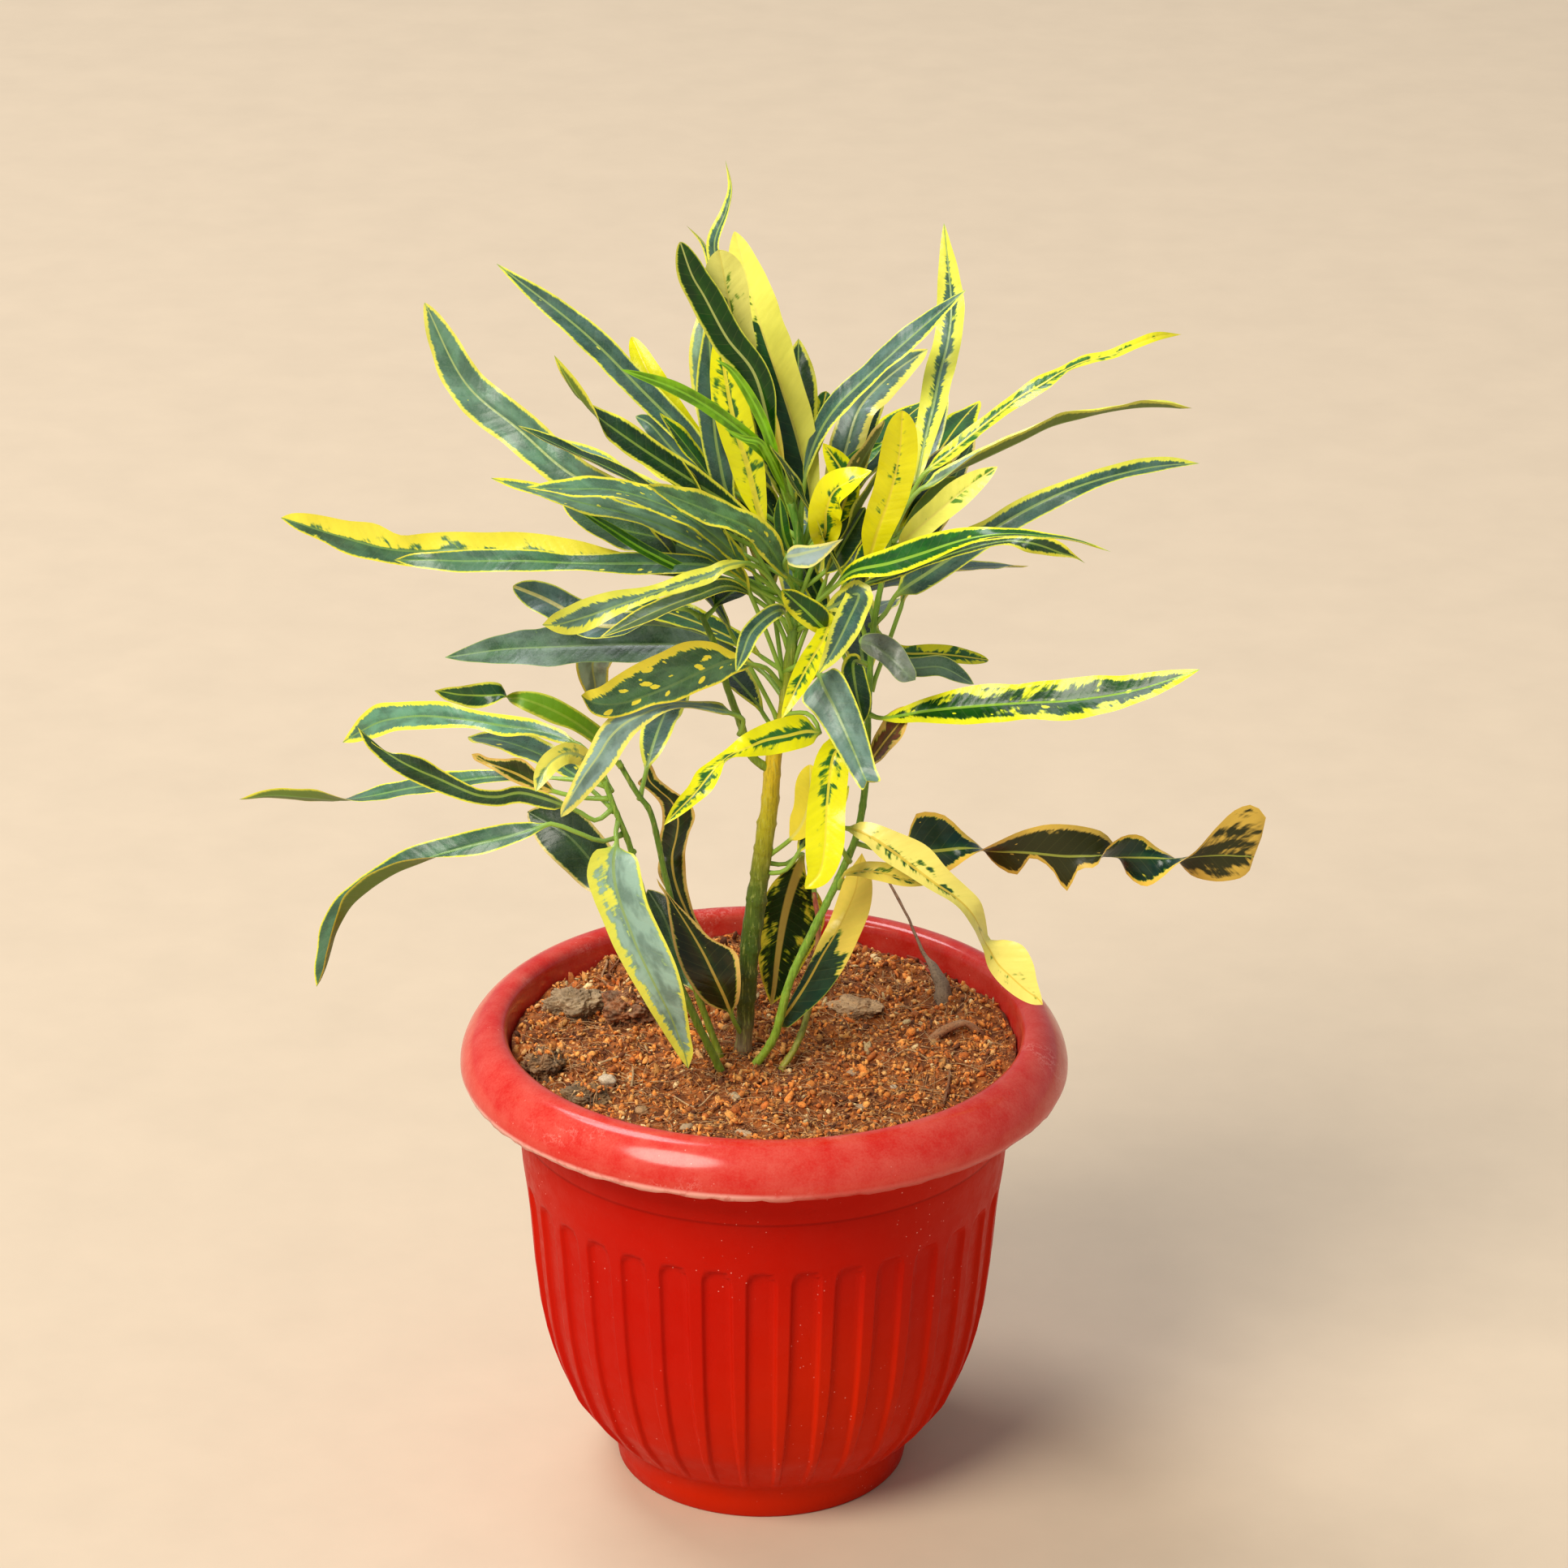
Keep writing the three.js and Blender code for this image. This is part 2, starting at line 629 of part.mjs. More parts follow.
    path: [[979, 830, 5], [1015, 800, 18], [1010, 780, 22], [990, 757, 24], [964, 732, 25]],
  },
  notchedGrey: {
    on: "main_stem", wide: 14.5, stalk: 14, fold: 5, wave: 0.4, blunt: 0.7,
    turn: [0],
    path: [[976, 850, 5], [1000, 828, 22], [1020, 850, 28], [1045, 910, 34], [1066, 965, 38]],
  },
  droopLeft: {
    on: "main_stem", wide: 13, stalk: 12, fold: 10, wave: 0.8, blunt: 0.1,
    turn: [-30, -30, -30, -60, -10, 0],
    path: [
      [972, 880, 5], [1000, 882, 18], [1008, 898, 24], [970, 906, 28], [930, 914, 32], [893, 934, 36],
      [860, 967, 40], [840, 990, 42], [818, 1017, 44],
    ],
  },
  // low leaves round the root of the main stem
  brownOlive: {
    on: "main_stem", wide: 20, stalk: 8, fold: 12, wave: 0.8, blunt: 0.1,
    turn: [10],
    path: [
      [915, 1282, 15], [903, 1270, 21], [897, 1250, 25], [885, 1213, 26], [868, 1168, 24],
      [845, 1125, 20], [808, 1082, 16],
    ],
  },
  twistedDark: {
    on: "main_stem", wide: 12.5, stalk: 14, fold: 16, wave: 1, blunt: 0,
    turn: [0, 0, 20, 20, 0, -30, -80],
    path: [
      [920, 1225, 14], [890, 1180, 2], [855, 1120, -3], [838, 1080, -4], [828, 1050, -4],
      [815, 1015, -4], [806, 975, -4], [798, 937, -4],
    ],
  },
  broadBehindTrunk: {
    on: "main_stem", wide: 22, stalk: 10, fold: 6, wave: 0.6, blunt: 0.3,
    turn: [0],
    path: [
      [921, 1215, 14], [940, 1200, 4], [955, 1170, -4], [962, 1130, -8], [973, 1090, -11],
      [990, 1056, -14],
    ],
  },
  yellowBehind: {
    on: "main_stem", wide: 13, stalk: 16, fold: 6, wave: 0.4, blunt: 0.6,
    turn: [15],
    path: [[941, 1060, 9], [984, 1022, 14], [997, 985, 12], [998, 942, 8]],
  },
  scarLeaf: {
    on: "main_stem", wide: 10, stalk: 20, fold: 6, wave: 0.4, blunt: 0.1,
    turn: [20],
    path: [[939, 1074, 9], [966, 1072, 13], [992, 1036, 12], [1022, 1000, 9], [1046, 968, 6]],
  },
  // right stem
  tallYellow: {
    on: "right_stem", wide: 12.5, stalk: 14, fold: 10, wave: 0.6, blunt: 0,
    turn: [15],
    path: [
      [1103, 640, 12], [1126, 600, 2], [1140, 540, -8], [1150, 500, -13], [1158, 460, -18],
      [1168, 420, -22], [1172, 380, -25], [1163, 275, -32],
    ],
  },
  frontPaddle: {
    on: "right_stem", wide: 17, stalk: 10, fold: 6, wave: 0.6, blunt: 1,
    turn: [0],
    path: [
      [1092, 700, 12], [1072, 700, 17], [1078, 665, 24], [1096, 612, 30], [1108, 560, 34],
      [1112, 506, 36],
    ],
  },
  rightYellowNarrow: {
    on: "right_stem", wide: 11, stalk: 14, fold: 8, wave: 0.6, blunt: 0,
    turn: [58],
    path: [
      [1102, 645, 12], [1140, 585, 9], [1170, 550, 6], [1210, 517, 2], [1250, 487, -2],
      [1330, 447, -8], [1410, 420, -14], [1455, 413, -18],
    ],
  },
  rightDarkNarrow: {
    on: "right_stem", wide: 13, stalk: 12, fold: 8, wave: 0.5, blunt: 0,
    turn: [60, 68, 68],
    path: [
      [1099, 660, 12], [1118, 612, 19], [1160, 586, 19], [1210, 560, 18], [1250, 540, 16],
      [1300, 517, 12], [1340, 509, 8], [1420, 496, 0], [1469, 503, -5],
    ],
  },
  longRightGrey: {
    on: "right_stem", wide: 19, stalk: 10, fold: 6, wave: 0.6, blunt: 0.1,
    turn: [55],
    path: [
      [1085, 725, 12], [1110, 733, 15], [1150, 705, 17], [1200, 675, 18], [1240, 648, 17],
      [1300, 618, 14], [1360, 592, 10], [1420, 575, 6], [1478, 570, 2],
    ],
  },
  rightYellowMid: {
    on: "right_stem", wide: 11.5, stalk: 8, fold: 6, wave: 0.4, blunt: 0.1,
    turn: [15],
    path: [[1095, 680, 12], [1118, 662, 22], [1150, 635, 24], [1190, 602, 23], [1229, 575, 22]],
  },
  oliveUnderRight: {
    on: "right_stem", wide: 8, stalk: 8, fold: 6, wave: 0.3, blunt: 0.3,
    turn: [145],
    path: [[1098, 668, 12], [1125, 640, 2], [1150, 612, -4], [1178, 588, -9]],
  },
  darkInner: {
    on: "right_stem", wide: 11, stalk: 6, fold: 5, wave: 0.3, blunt: 0.2,
    turn: [10],
    path: [[1073, 820, 13], [1052, 816, 20], [1054, 845, 22], [1064, 890, 23]],
  },
  greySatin: {
    on: "right_stem", wide: 14, stalk: 6, fold: 5, wave: 0.4, blunt: 0.2,
    turn: [35],
    path: [[1075, 790, 13], [1072, 786, 20], [1092, 800, 26], [1120, 818, 30], [1148, 836, 32]],
  },
  yellowDarkBack: {
    on: "right_stem", wide: 10, stalk: 8, fold: 5, wave: 0.5, blunt: 0.8,
    turn: [40],
    path: [[1077, 770, 13], [1110, 800, 2], [1150, 802, -2], [1190, 806, -4], [1218, 812, -5]],
  },
  greyGreenSmall: {
    on: "right_stem", wide: 13, stalk: 8, fold: 5, wave: 0.5, blunt: 0.2,
    turn: [50],
    path: [[1074, 800, 13], [1120, 822, 13], [1160, 822, 13], [1200, 843, 14]],
  },
  longRightVariegated: {
    on: "right_stem", wide: 19, stalk: 6, fold: 8, wave: 0.8, blunt: 0,
    turn: [30],
    path: [
      [1071, 878, 14], [1090, 884, 22], [1140, 876, 27], [1200, 870, 31], [1260, 866, 34],
      [1320, 863, 36], [1400, 850, 37], [1478, 825, 37],
    ],
  },
  brownUnder: {
    on: "right_stem", wide: 9, stalk: 6, fold: 8, wave: 0.6, blunt: 0,
    turn: [50],
    path: [[1068, 915, 15], [1078, 938, 18], [1100, 918, 22], [1132, 894, 26]],
  },
  centreYellow: {
    on: "right_stem", wide: 16, stalk: 10, fold: 8, wave: 0.8, blunt: 0.4,
    turn: [0],
    path: [
      [1066, 950, 16], [1048, 920, 24], [1030, 926, 27], [1019, 990, 33], [1016, 1045, 37],
      [1009, 1076, 38], [992, 1095, 38],
    ],
  },
  rightDroop: {
    on: "right_stem", wide: 17, stalk: 12, fold: 10, wave: 1, blunt: 0.1,
    turn: [10, 15, 20, 30, 60, 70, 30, 10],
    path: [
      [1042, 1062, 22], [1032, 1038, 27], [1040, 1018, 31], [1070, 1030, 36], [1110, 1055, 40],
      [1150, 1085, 42], [1190, 1112, 42], [1207, 1138, 41], [1222, 1170, 41], [1245, 1200, 42],
      [1283, 1233, 44],
    ],
  },
  lowYellowDark: {
    on: "right_stem", wide: 11, stalk: 6, fold: 8, wave: 0.6, blunt: 0.1,
    turn: [60, 40],
    path: [[1029, 1092, 24], [1042, 1076, 28], [1080, 1074, 31], [1110, 1082, 32], [1142, 1090, 32]],
  },
  longTwisted: {
    on: "right_stem", wide: 23, stalk: 12, fold: 6, wave: 0.6, blunt: 0.6,
    turn: [0, 0, 5, 85, 150, 175, 250, 340, 440, 510, 530],
    path: [
      [1053, 1040, 21], [1085, 1034, 19], [1150, 1040, 18], [1205, 1046, 18], [1250, 1048, 18],
      [1300, 1053, 18], [1355, 1057, 18], [1410, 1057, 18], [1455, 1055, 18], [1500, 1040, 18],
      [1552, 1030, 18],
    ],
  },
  greenToYellow: {
    on: "right_stem", wide: 21, stalk: 8, fold: 6, wave: 0.8, blunt: 0.4,
    turn: [25],
    path: [
      [950, 1284, 27], [960, 1262, 26], [985, 1225, 24], [1012, 1180, 22], [1036, 1130, 20],
      [1052, 1085, 18], [1062, 1045, 16],
    ],
  },
  // left shoot
  archingLeft: {
    on: "left_shoot", wide: 14, stalk: 24, fold: 22, wave: 0.4, blunt: 0,
    turn: [-30, -30, -30, -35, -30, -20],
    path: [
      [770, 1026, 34], [750, 1036, 38], [720, 1025, 42], [690, 1016, 44], [650, 1028, 45],
      [600, 1040, 45], [550, 1048, 44], [500, 1058, 42], [460, 1075, 40], [430, 1098, 38],
      [410, 1125, 36], [400, 1160, 34], [393, 1212, 32],
    ],
  },
  broadDarkLow: {
    on: "left_shoot", wide: 22, stalk: 8, fold: 5, wave: 0.8, blunt: 0.3,
    turn: [0],
    path: [[778, 1052, 34], [762, 1082, 26], [740, 1072, 22], [700, 1030, 20], [650, 1000, 16]],
  },
  frontLeftBroad: {
    on: "left_shoot", wide: 20.5, stalk: 6, fold: 6, wave: 0.8, blunt: 0.2,
    turn: [5],
    path: [
      [763, 1008, 33], [757, 1030, 42], [762, 1078, 50], [780, 1150, 54], [796, 1192, 54],
      [815, 1232, 52], [830, 1267, 50], [847, 1312, 47],
    ],
  },
  darkLeftLow: {
    on: "left_shoot", wide: 13, stalk: 10, fold: 10, wave: 1.2, blunt: 0,
    turn: [-40, -50, -60, -45, -35, -30, -20],
    path: [
      [757, 997, 33], [735, 1012, 37], [700, 1000, 39], [680, 990, 39], [640, 980, 38], [600, 977, 37],
      [560, 965, 36], [500, 942, 34], [440, 895, 32],
    ],
  },
  farLeftThin: {
    on: "left_shoot", wide: 11.5, stalk: 18, fold: 8, wave: 0.6, blunt: 0,
    turn: [-45, -45, -45, -45, -50, -100, -135, -130],
    path: [
      [746, 965, 31], [700, 958, 27], [655, 957, 23], [610, 957, 19], [560, 963, 15], [510, 970, 11],
      [430, 984, 5], [380, 981, 1], [330, 979, -3], [295, 985, -6],
    ],
  },
  lowerLeftPale: {
    on: "left_shoot", wide: 17, stalk: 18, fold: 6, wave: 1, blunt: 0.4,
    turn: [-48],
    path: [
      [750, 975, 32], [735, 940, 20], [705, 914, 10], [660, 905, 4], [620, 899, -2], [580, 893, -7],
      [540, 888, -11], [480, 886, -16], [422, 912, -20],
    ],
  },
  smallVariegatedLow: {
    on: "left_shoot", wide: 9, stalk: 8, fold: 6, wave: 0.5, blunt: 0.2,
    turn: [0],
    path: [[747, 966, 31], [722, 935, 38], [700, 928, 41], [680, 938, 43], [668, 955, 44], [660, 975, 45]],
  },
  peachCurl: {
    on: "left_shoot", wide: 9, stalk: 14, fold: 14, wave: 0.8, blunt: 0.2,
    turn: [-40],
    path: [[752, 985, 32], [700, 978, 30], [655, 967, 28], [625, 951, 27], [600, 937, 26], [586, 926, 26]],
  },
  // left twig
  oliveArch: {
    on: "left_twig", wide: 12, stalk: 6, fold: 8, wave: 0.6, blunt: 0,
    turn: [-150, -150, -145, -140, -100, -40, -20],
    path: [
      [764, 941, 8], [737, 914, 14], [710, 893, 17], [680, 872, 18], [650, 860, 18], [622, 858, 17],
      [580, 858, 16], [535, 851, 15],
    ],
  },
  darkBehindFront: {
    on: "left_twig", wide: 15, stalk: 6, fold: 5, wave: 0.5, blunt: 0.3,
    turn: [0],
    path: [[860, 1222, 18], [848, 1210, 10], [832, 1168, 4], [818, 1130, 1], [798, 1096, -2]],
  },
  // low shoot
  paleYoung: {
    on: "low_shoot", wide: 9, stalk: 5, fold: 8, wave: 0.4, blunt: 0.2,
    turn: [0],
    path: [[1004, 1108, -2], [1003, 1085, -4], [1009, 1050, -7], [1013, 1012, -11]],
  },
};

// Leaves on the far side, where the photograph does not reach: the stem and the photo point that
// they grow from, their bearing from straight back to the right, their rise and droop in degrees,
// their length and width in mm.
const farLeaves = [
  { on: "main_stem", from: [960, 905, 5], bearing: -28, rise: 22, droop: 40, long: 118, wide: 19 },
  { on: "main_stem", from: [967, 878, 5], bearing: 24, rise: 22, droop: 36, long: 122, wide: 20 },
  { on: "main_stem", from: [971, 828, 4], bearing: -48, rise: 16, droop: 30, long: 112, wide: 18 },
  { on: "main_stem", from: [976, 792, 4], bearing: 4, rise: 20, droop: 34, long: 134, wide: 21 },
  { on: "main_stem", from: [980, 760, 4], bearing: 60, rise: 14, droop: 26, long: 112, wide: 18 },
  { on: "main_stem", from: [982, 728, 4], bearing: -34, rise: 26, droop: 30, long: 130, wide: 20 },
  { on: "main_stem", from: [984, 695, 4], bearing: 28, rise: 32, droop: 30, long: 124, wide: 19 },
  { on: "main_stem", from: [983, 662, 4], bearing: -8, rise: 44, droop: 28, long: 116, wide: 18 },
  { on: "right_stem", from: [1070, 870, 14], bearing: -4, rise: 20, droop: 34, long: 116, wide: 19 },
  { on: "right_stem", from: [1078, 762, 13], bearing: -14, rise: 22, droop: 34, long: 118, wide: 18 },
  { on: "right_stem", from: [1092, 690, 12], bearing: 22, rise: 34, droop: 32, long: 112, wide: 17 },
  { on: "left_shoot", from: [757, 996, 33], bearing: -42, rise: 20, droop: 38, long: 96, wide: 17 },
  { on: "left_twig", from: [788, 982, 9], bearing: 10, rise: 30, droop: 44, long: 92, wide: 16 },
];

const farLeafShape = { facesUp: true, turn: [0, 12], stalk: 14, fold: 6, wave: 0.8, blunt: 0.2 };

const smooth = (points) => new THREE.CatmullRomCurve3(points, false, "centripetal");

// A leaf's midrib from its photo path, opened out in depth towards the tip.
function leafMidrib(path) {
  const root = path[0][2];
  return path.map(([x, y, front], i) => {
    const share = i / (path.length - 1);
    return fromPhoto([x, y, front + depthSpread * (front - root) * share]);
  });
}

// A far leaf's midrib: it leaves its stem at the rise, and bends down by the droop along its length.
function farMidrib({ from, bearing, rise, droop, long }) {
  const steps = 6;
  const points = [fromPhoto(from)];
  for (let i = 0; i < steps; i++) {
    const slope = radians(rise - (droop * (i + 0.5)) / steps);
    const level = (long / steps) * Math.cos(slope);
    points.push(points[i].clone().add(new THREE.Vector3(
      level * Math.sin(radians(bearing)),
      level * Math.cos(radians(bearing)),
      (long / steps) * Math.sin(slope),
    )));
  }
  return points;
}

// Value of an evenly spaced list at a share from 0 to 1.
function between(list, share) {
  const place = share * (list.length - 1);
  const low = Math.min(Math.floor(place), list.length - 1);
  const high = Math.min(low + 1, list.length - 1);
  return list[low] + (list[high] - list[low]) * (place - low);
}

// Half width of a blade at a share of its own length: a quick rise, long even sides, then the tip.
function bladeOutline(share, blunt) {
  const base = Math.sin((Math.PI / 2) * Math.min(1, share / 0.34)) ** 0.9;
  const past = Math.max(0, (share - 0.5) / 0.5);
  const tip = (1 - past ** (1.9 + 2.4 * blunt)) ** (1 - 0.35 * blunt);
  return base * tip;
}

function leafSolid(leaf, number) {
  const curve = smooth(leaf.points);
  const length = curve.getLength();
  const stalkShare = leaf.stalk / length;
  const twist = leaf.turn.slice(1).reduce((sum, turn, i) => sum + Math.abs(turn - leaf.turn[i]), 0);
  const bladeRows = Math.max(Math.round((length - leaf.stalk) / rowSpacing) + 1, Math.ceil(twist / 38) + 1);
  const shares = [sunk / length, stalkShare * 0.8];
  for (let row = 0; row <= bladeRows; row++) {
    shares.push(stalkShare + (1 - stalkShare) * ((row + 0.35) / (bladeRows + 0.35)));
  }
  const sections = shares.map((share) => {
    const point = curve.getPointAt(share);
    const along = curve.getTangentAt(share);
    const facing = leaf.facesUp ? new THREE.Vector3(0, 0, 1) : eye.clone().sub(point);
    const flatSide = along.clone().cross(facing).normalize();
    const flatNormal = flatSide.clone().cross(along);
    const turn = radians(between(leaf.turn, share));
    const side = flatSide.clone().applyAxisAngle(along, -turn);
    const normal = flatNormal.applyAxisAngle(along, -turn);
    const blade = Math.max(0, (share - stalkShare) / (1 - stalkShare));
    const outline = bladeOutline(blade, leaf.blunt);
    const half = Math.max((leaf.wide / 2) * outline, blade > 0 ? tipWidth / 2 : stalkWidth / 2);
    const fold = radians(leaf.fold) * Math.min(1, outline * 2);
    const ripple = leaf.wave * outline * Math.sin(number * 2.4 + (blade * length) / 7);
    const edge = (sign) => point.clone()
      .addScaledVector(side, sign * half * Math.cos(fold))
      .addScaledVector(normal, half * Math.sin(fold) + sign * ripple);
    const halfNormal = (sign) => normal.clone().multiplyScalar(Math.cos(fold))
      .addScaledVector(side, -sign * Math.sin(fold));
    const rim = blade > 0 ? bladeThickness : stalkWidth * 0.8;
    const middle = blade > 0 ? ribThickness : stalkWidth;
    const section = [
      edge(-1),
      point.clone(),
      edge(1),
      edge(1).addScaledVector(halfNormal(1), -rim),
      point.clone().addScaledVector(normal, -middle),
      edge(-1).addScaledVector(halfNormal(-1), -rim),
    ];
    return leaf.fold < ribbedFold ? section.filter((_, i) => i % 3 !== 1) : section;
  });
  return sectionSolid(sections);
}

// Evenly spaced points on the centre line of a stem or twig.
function stemCentres(path) {
  const curve = smooth(path.map(fromPhoto));
  const steps = Math.max(4, Math.round(curve.getLength() / stemSpacing));
  return Array.from({ length: steps + 1 }, (_, i) => curve.getPointAt(i / steps));
}

// The point of a stem, or of its twigs, that is nearest to a leaf's noted root.
function rootOn(name, point) {
  const lines = [stems[name].path, ...stems[name].twigs.map((twig) => twig.path)].map(stemCentres);
  let nearest = lines[0][0];
  for (const line of lines) {
    for (let i = 0; i + 1 < line.length; i++) {
      const chord = new THREE.Line3(line[i], line[i + 1]);
      const foot = chord.closestPointToPoint(point, true, new THREE.Vector3());
      if (foot.distanceTo(point) < nearest.distanceTo(point)) {
        nearest = foot;
      }
    }
  }
  return nearest;
}

// A round stem along its photo path, carried on straight down into the compost.
function stemSolid(path, radius, rooted, sides, grown) {
  const centres = stemCentres(path);
  const steps = centres.length - 1;
  const radii = centres.map((_, i) => radius[0] + (radius[1] - radius[0]) * (i / steps) + grown);
  if (rooted) {
    const root = centres[0].clone();
    root.z = soilLevel - rootedDepth - grown;
    centres.unshift(root);
    radii.unshift(radius[0] * 0.85 + grown);
  }
  return tubeSolid(centres, radii, sides);
}

function tubeSolid(centres, radii, sides) {
  const sections = centres.map((centre, i) => {
    const before = centres[Math.max(0, i - 1)];
    const after = centres[Math.min(centres.length - 1, i + 1)];
    const along = after.clone().sub(before).normalize();
    const across = new THREE.Vector3(0, 1, 0).cross(along).normalize();
    const third = along.clone().cross(across);
    return Array.from({ length: sides }, (_, k) => {
      const angle = (k / sides) * 2 * Math.PI;
      return centre.clone()
        .addScaledVector(across, radii[i] * Math.cos(angle))
        .addScaledVector(third, radii[i] * Math.sin(angle));
    });
  });
  return sectionSolid(sections);
}

// A stick through its points in mm, grown all round and at both ends by the given amount.
function stickSolid(path, radius, grown) {
  const centres = path.map((point) => new THREE.Vector3(...point));
  const last = centres.length - 1;
  const lengthen = (end, next) => end.add(end.clone().sub(next).setLength(grown));
  const radii = centres.map((_, i) => radius[0] + ((radius[1] - radius[0]) * i) / last + grown);
  if (grown > 0) {
    lengthen(centres[0], centres[1]);
    lengthen(centres[last], centres[last - 1]);
  }
  return tubeSolid(centres, radii, 6);
}

const allLeaves = [
  ...Object.values(leaves).map((leaf) => ({ ...leaf, points: leafMidrib(leaf.path) })),
  ...farLeaves.map((leaf) => ({ ...farLeafShape, ...leaf, points: farMidrib(leaf) })),
];
allLeaves.forEach((leaf) => leaf.points[0].copy(rootOn(leaf.on, leaf.points[0])));

function makePlant(name) {
  const stem = stems[name];
  const solids = [stemSolid(stem.path, stem.radius, true, 8, 0)];
  stem.twigs.forEach((twig) => solids.push(stemSolid(twig.path, twig.radius, false, 6, 0)));
  allLeaves.forEach((leaf, number) => {
    if (leaf.on === name) {
      solids.push(leafSolid(leaf, number));
    }
  });
  return joined(solids);
}

// ---------------------------------------------------------------- the whole part

function makeMaterial(colour, roughness) {
  return new THREE.MeshStandardMaterial({ color: colour, roughness, metalness: 0 });
}

const group = new THREE.Group();

function place(name, solid, colour, roughness) {
  const mesh = new THREE.Mesh(toGeometry(solid), makeMaterial(colour, roughness));
  mesh.name = name;
  group.add(mesh);
}

place("pot", makePot(), 0xc8261c, 0.38);

let soil = makeSoil();
for (const { path, radius } of Object.values(stems)) {
  soil = soil.subtract(stemSolid(path, radius, true, 8, fit));
}
for (const [name, lump] of Object.entries(lumps)) {
  soil = soil.subtract(lumpSolid(lump, fit));
  place(name, lumpSolid(lump, 0), lump.colour, 0.95);
}
for (const [name, { path, radius, colour }] of Object.entries(sticks)) {
  soil = soil.subtract(stickSolid(path, radius, fit));
  place(name, stickSolid(path, radius, 0), colour, 0.9);
}
place("soil", soil, 0x8a4a28, 0.95);

for (const name of Object.keys(stems)) {
  place(name, makePlant(name), 0x2f5a35, 0.45);
}

export default group;
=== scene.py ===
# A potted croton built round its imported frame: a fluted red pot, coir compost with its stones,
# crumbs and fibres, and five stems with their variegated leaves. Lengths are in millimetres, with
# +Z up and +Y away from the viewer, until makePiece turns them into metres.
import math
import bmesh
import bpy
import numpy as np
from mathutils import Matrix, Vector


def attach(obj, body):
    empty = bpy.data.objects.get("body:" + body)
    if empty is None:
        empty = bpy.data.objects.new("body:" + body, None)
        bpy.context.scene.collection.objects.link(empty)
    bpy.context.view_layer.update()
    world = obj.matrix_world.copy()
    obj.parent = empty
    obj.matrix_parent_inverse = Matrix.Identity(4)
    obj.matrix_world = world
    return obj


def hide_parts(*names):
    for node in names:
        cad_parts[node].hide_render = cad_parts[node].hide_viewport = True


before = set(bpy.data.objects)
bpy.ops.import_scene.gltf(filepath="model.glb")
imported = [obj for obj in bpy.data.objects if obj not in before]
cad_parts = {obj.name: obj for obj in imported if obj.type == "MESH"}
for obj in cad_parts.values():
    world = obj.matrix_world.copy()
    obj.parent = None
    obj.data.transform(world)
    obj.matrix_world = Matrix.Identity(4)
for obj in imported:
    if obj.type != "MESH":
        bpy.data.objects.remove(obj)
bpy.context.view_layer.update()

# Where the photograph was taken from. Places on the plant are given below as its pixels, with how
# many millimetres they lie in front of the pot's axis.
photo = dict(range=2200, pitch=23, focal=6620, roll=0.5, aimHeight=310, aside=7.3, centre=966, width=1932)
pitch = math.radians(photo["pitch"])
roll = math.radians(photo["roll"])
eye = np.array([photo["aside"], 0, photo["aimHeight"]])
eye += photo["range"] * np.array([0, -math.cos(pitch), math.sin(pitch)])


def makeCamera():
    lens = bpy.data.cameras.new("camera")
    lens.sensor_width = 36
    lens.lens = photo["focal"] / photo["width"] * lens.sensor_width
    camera = bpy.data.objects.new("camera", lens)
    turned = Matrix.Rotation(math.pi / 2 - pitch, 4, "X") @ Matrix.Rotation(roll, 4, "Z")
    camera.matrix_world = Matrix.Translation(Vector(eye / 1000)) @ turned
    bpy.context.scene.collection.objects.link(camera)
    bpy.context.scene.camera = camera


def fromPhoto(places):
    # the ray through each pixel, followed to the upright plane that lies the given depth in front
    x, y, front = np.array(places, float).T
    across, down = x - photo["centre"], y - photo["centre"]
    u = (across * math.cos(roll) + down * math.sin(roll)) / photo["focal"]
    v = (down * math.cos(roll) - across * math.sin(roll)) / photo["focal"]
    ray = np.stack([u, math.cos(pitch) - v * math.sin(pitch), -math.sin(pitch) - v * math.cos(pitch)], 1)
    return eye + ray * ((-front - eye[1]) / ray[:, 1])[:, None]


def smoothStep(low, high, value):
    # from 0 at low to 1 at high, level at both ends
    share = np.clip((value - low) / (high - low), 0, 1)
    return share * share * (3 - 2 * share)


def listValue(values, share):
    # an evenly spaced list read at shares from 0 to 1
    if len(values) == 1:
        return values[0] + 0 * share
    return np.interp(share, np.linspace(0, 1, len(values)), values)


def unit(vectors):
    return vectors / np.maximum(np.linalg.norm(vectors, axis=-1, keepdims=True), 1e-9)


def softNoise(points, seed):
    # random values from 0 to 1 on whole-number places, blended smoothly between their 8 neighbours
    lattice = np.random.default_rng(seed).random((32, 32, 32))
    low = np.floor(points).astype(int)
    share = points - low
    share = share * share * (3 - 2 * share)
    total = np.zeros(points.shape[:-1])
    for corner in np.ndindex(2, 2, 2):
        place = (low + corner) % 32
        weight = np.prod(np.where(np.array(corner) == 1, share, 1 - share), axis=-1)
        total += weight * lattice[place[..., 0], place[..., 1], place[..., 2]]
    return total


stepsPerPoint = 24


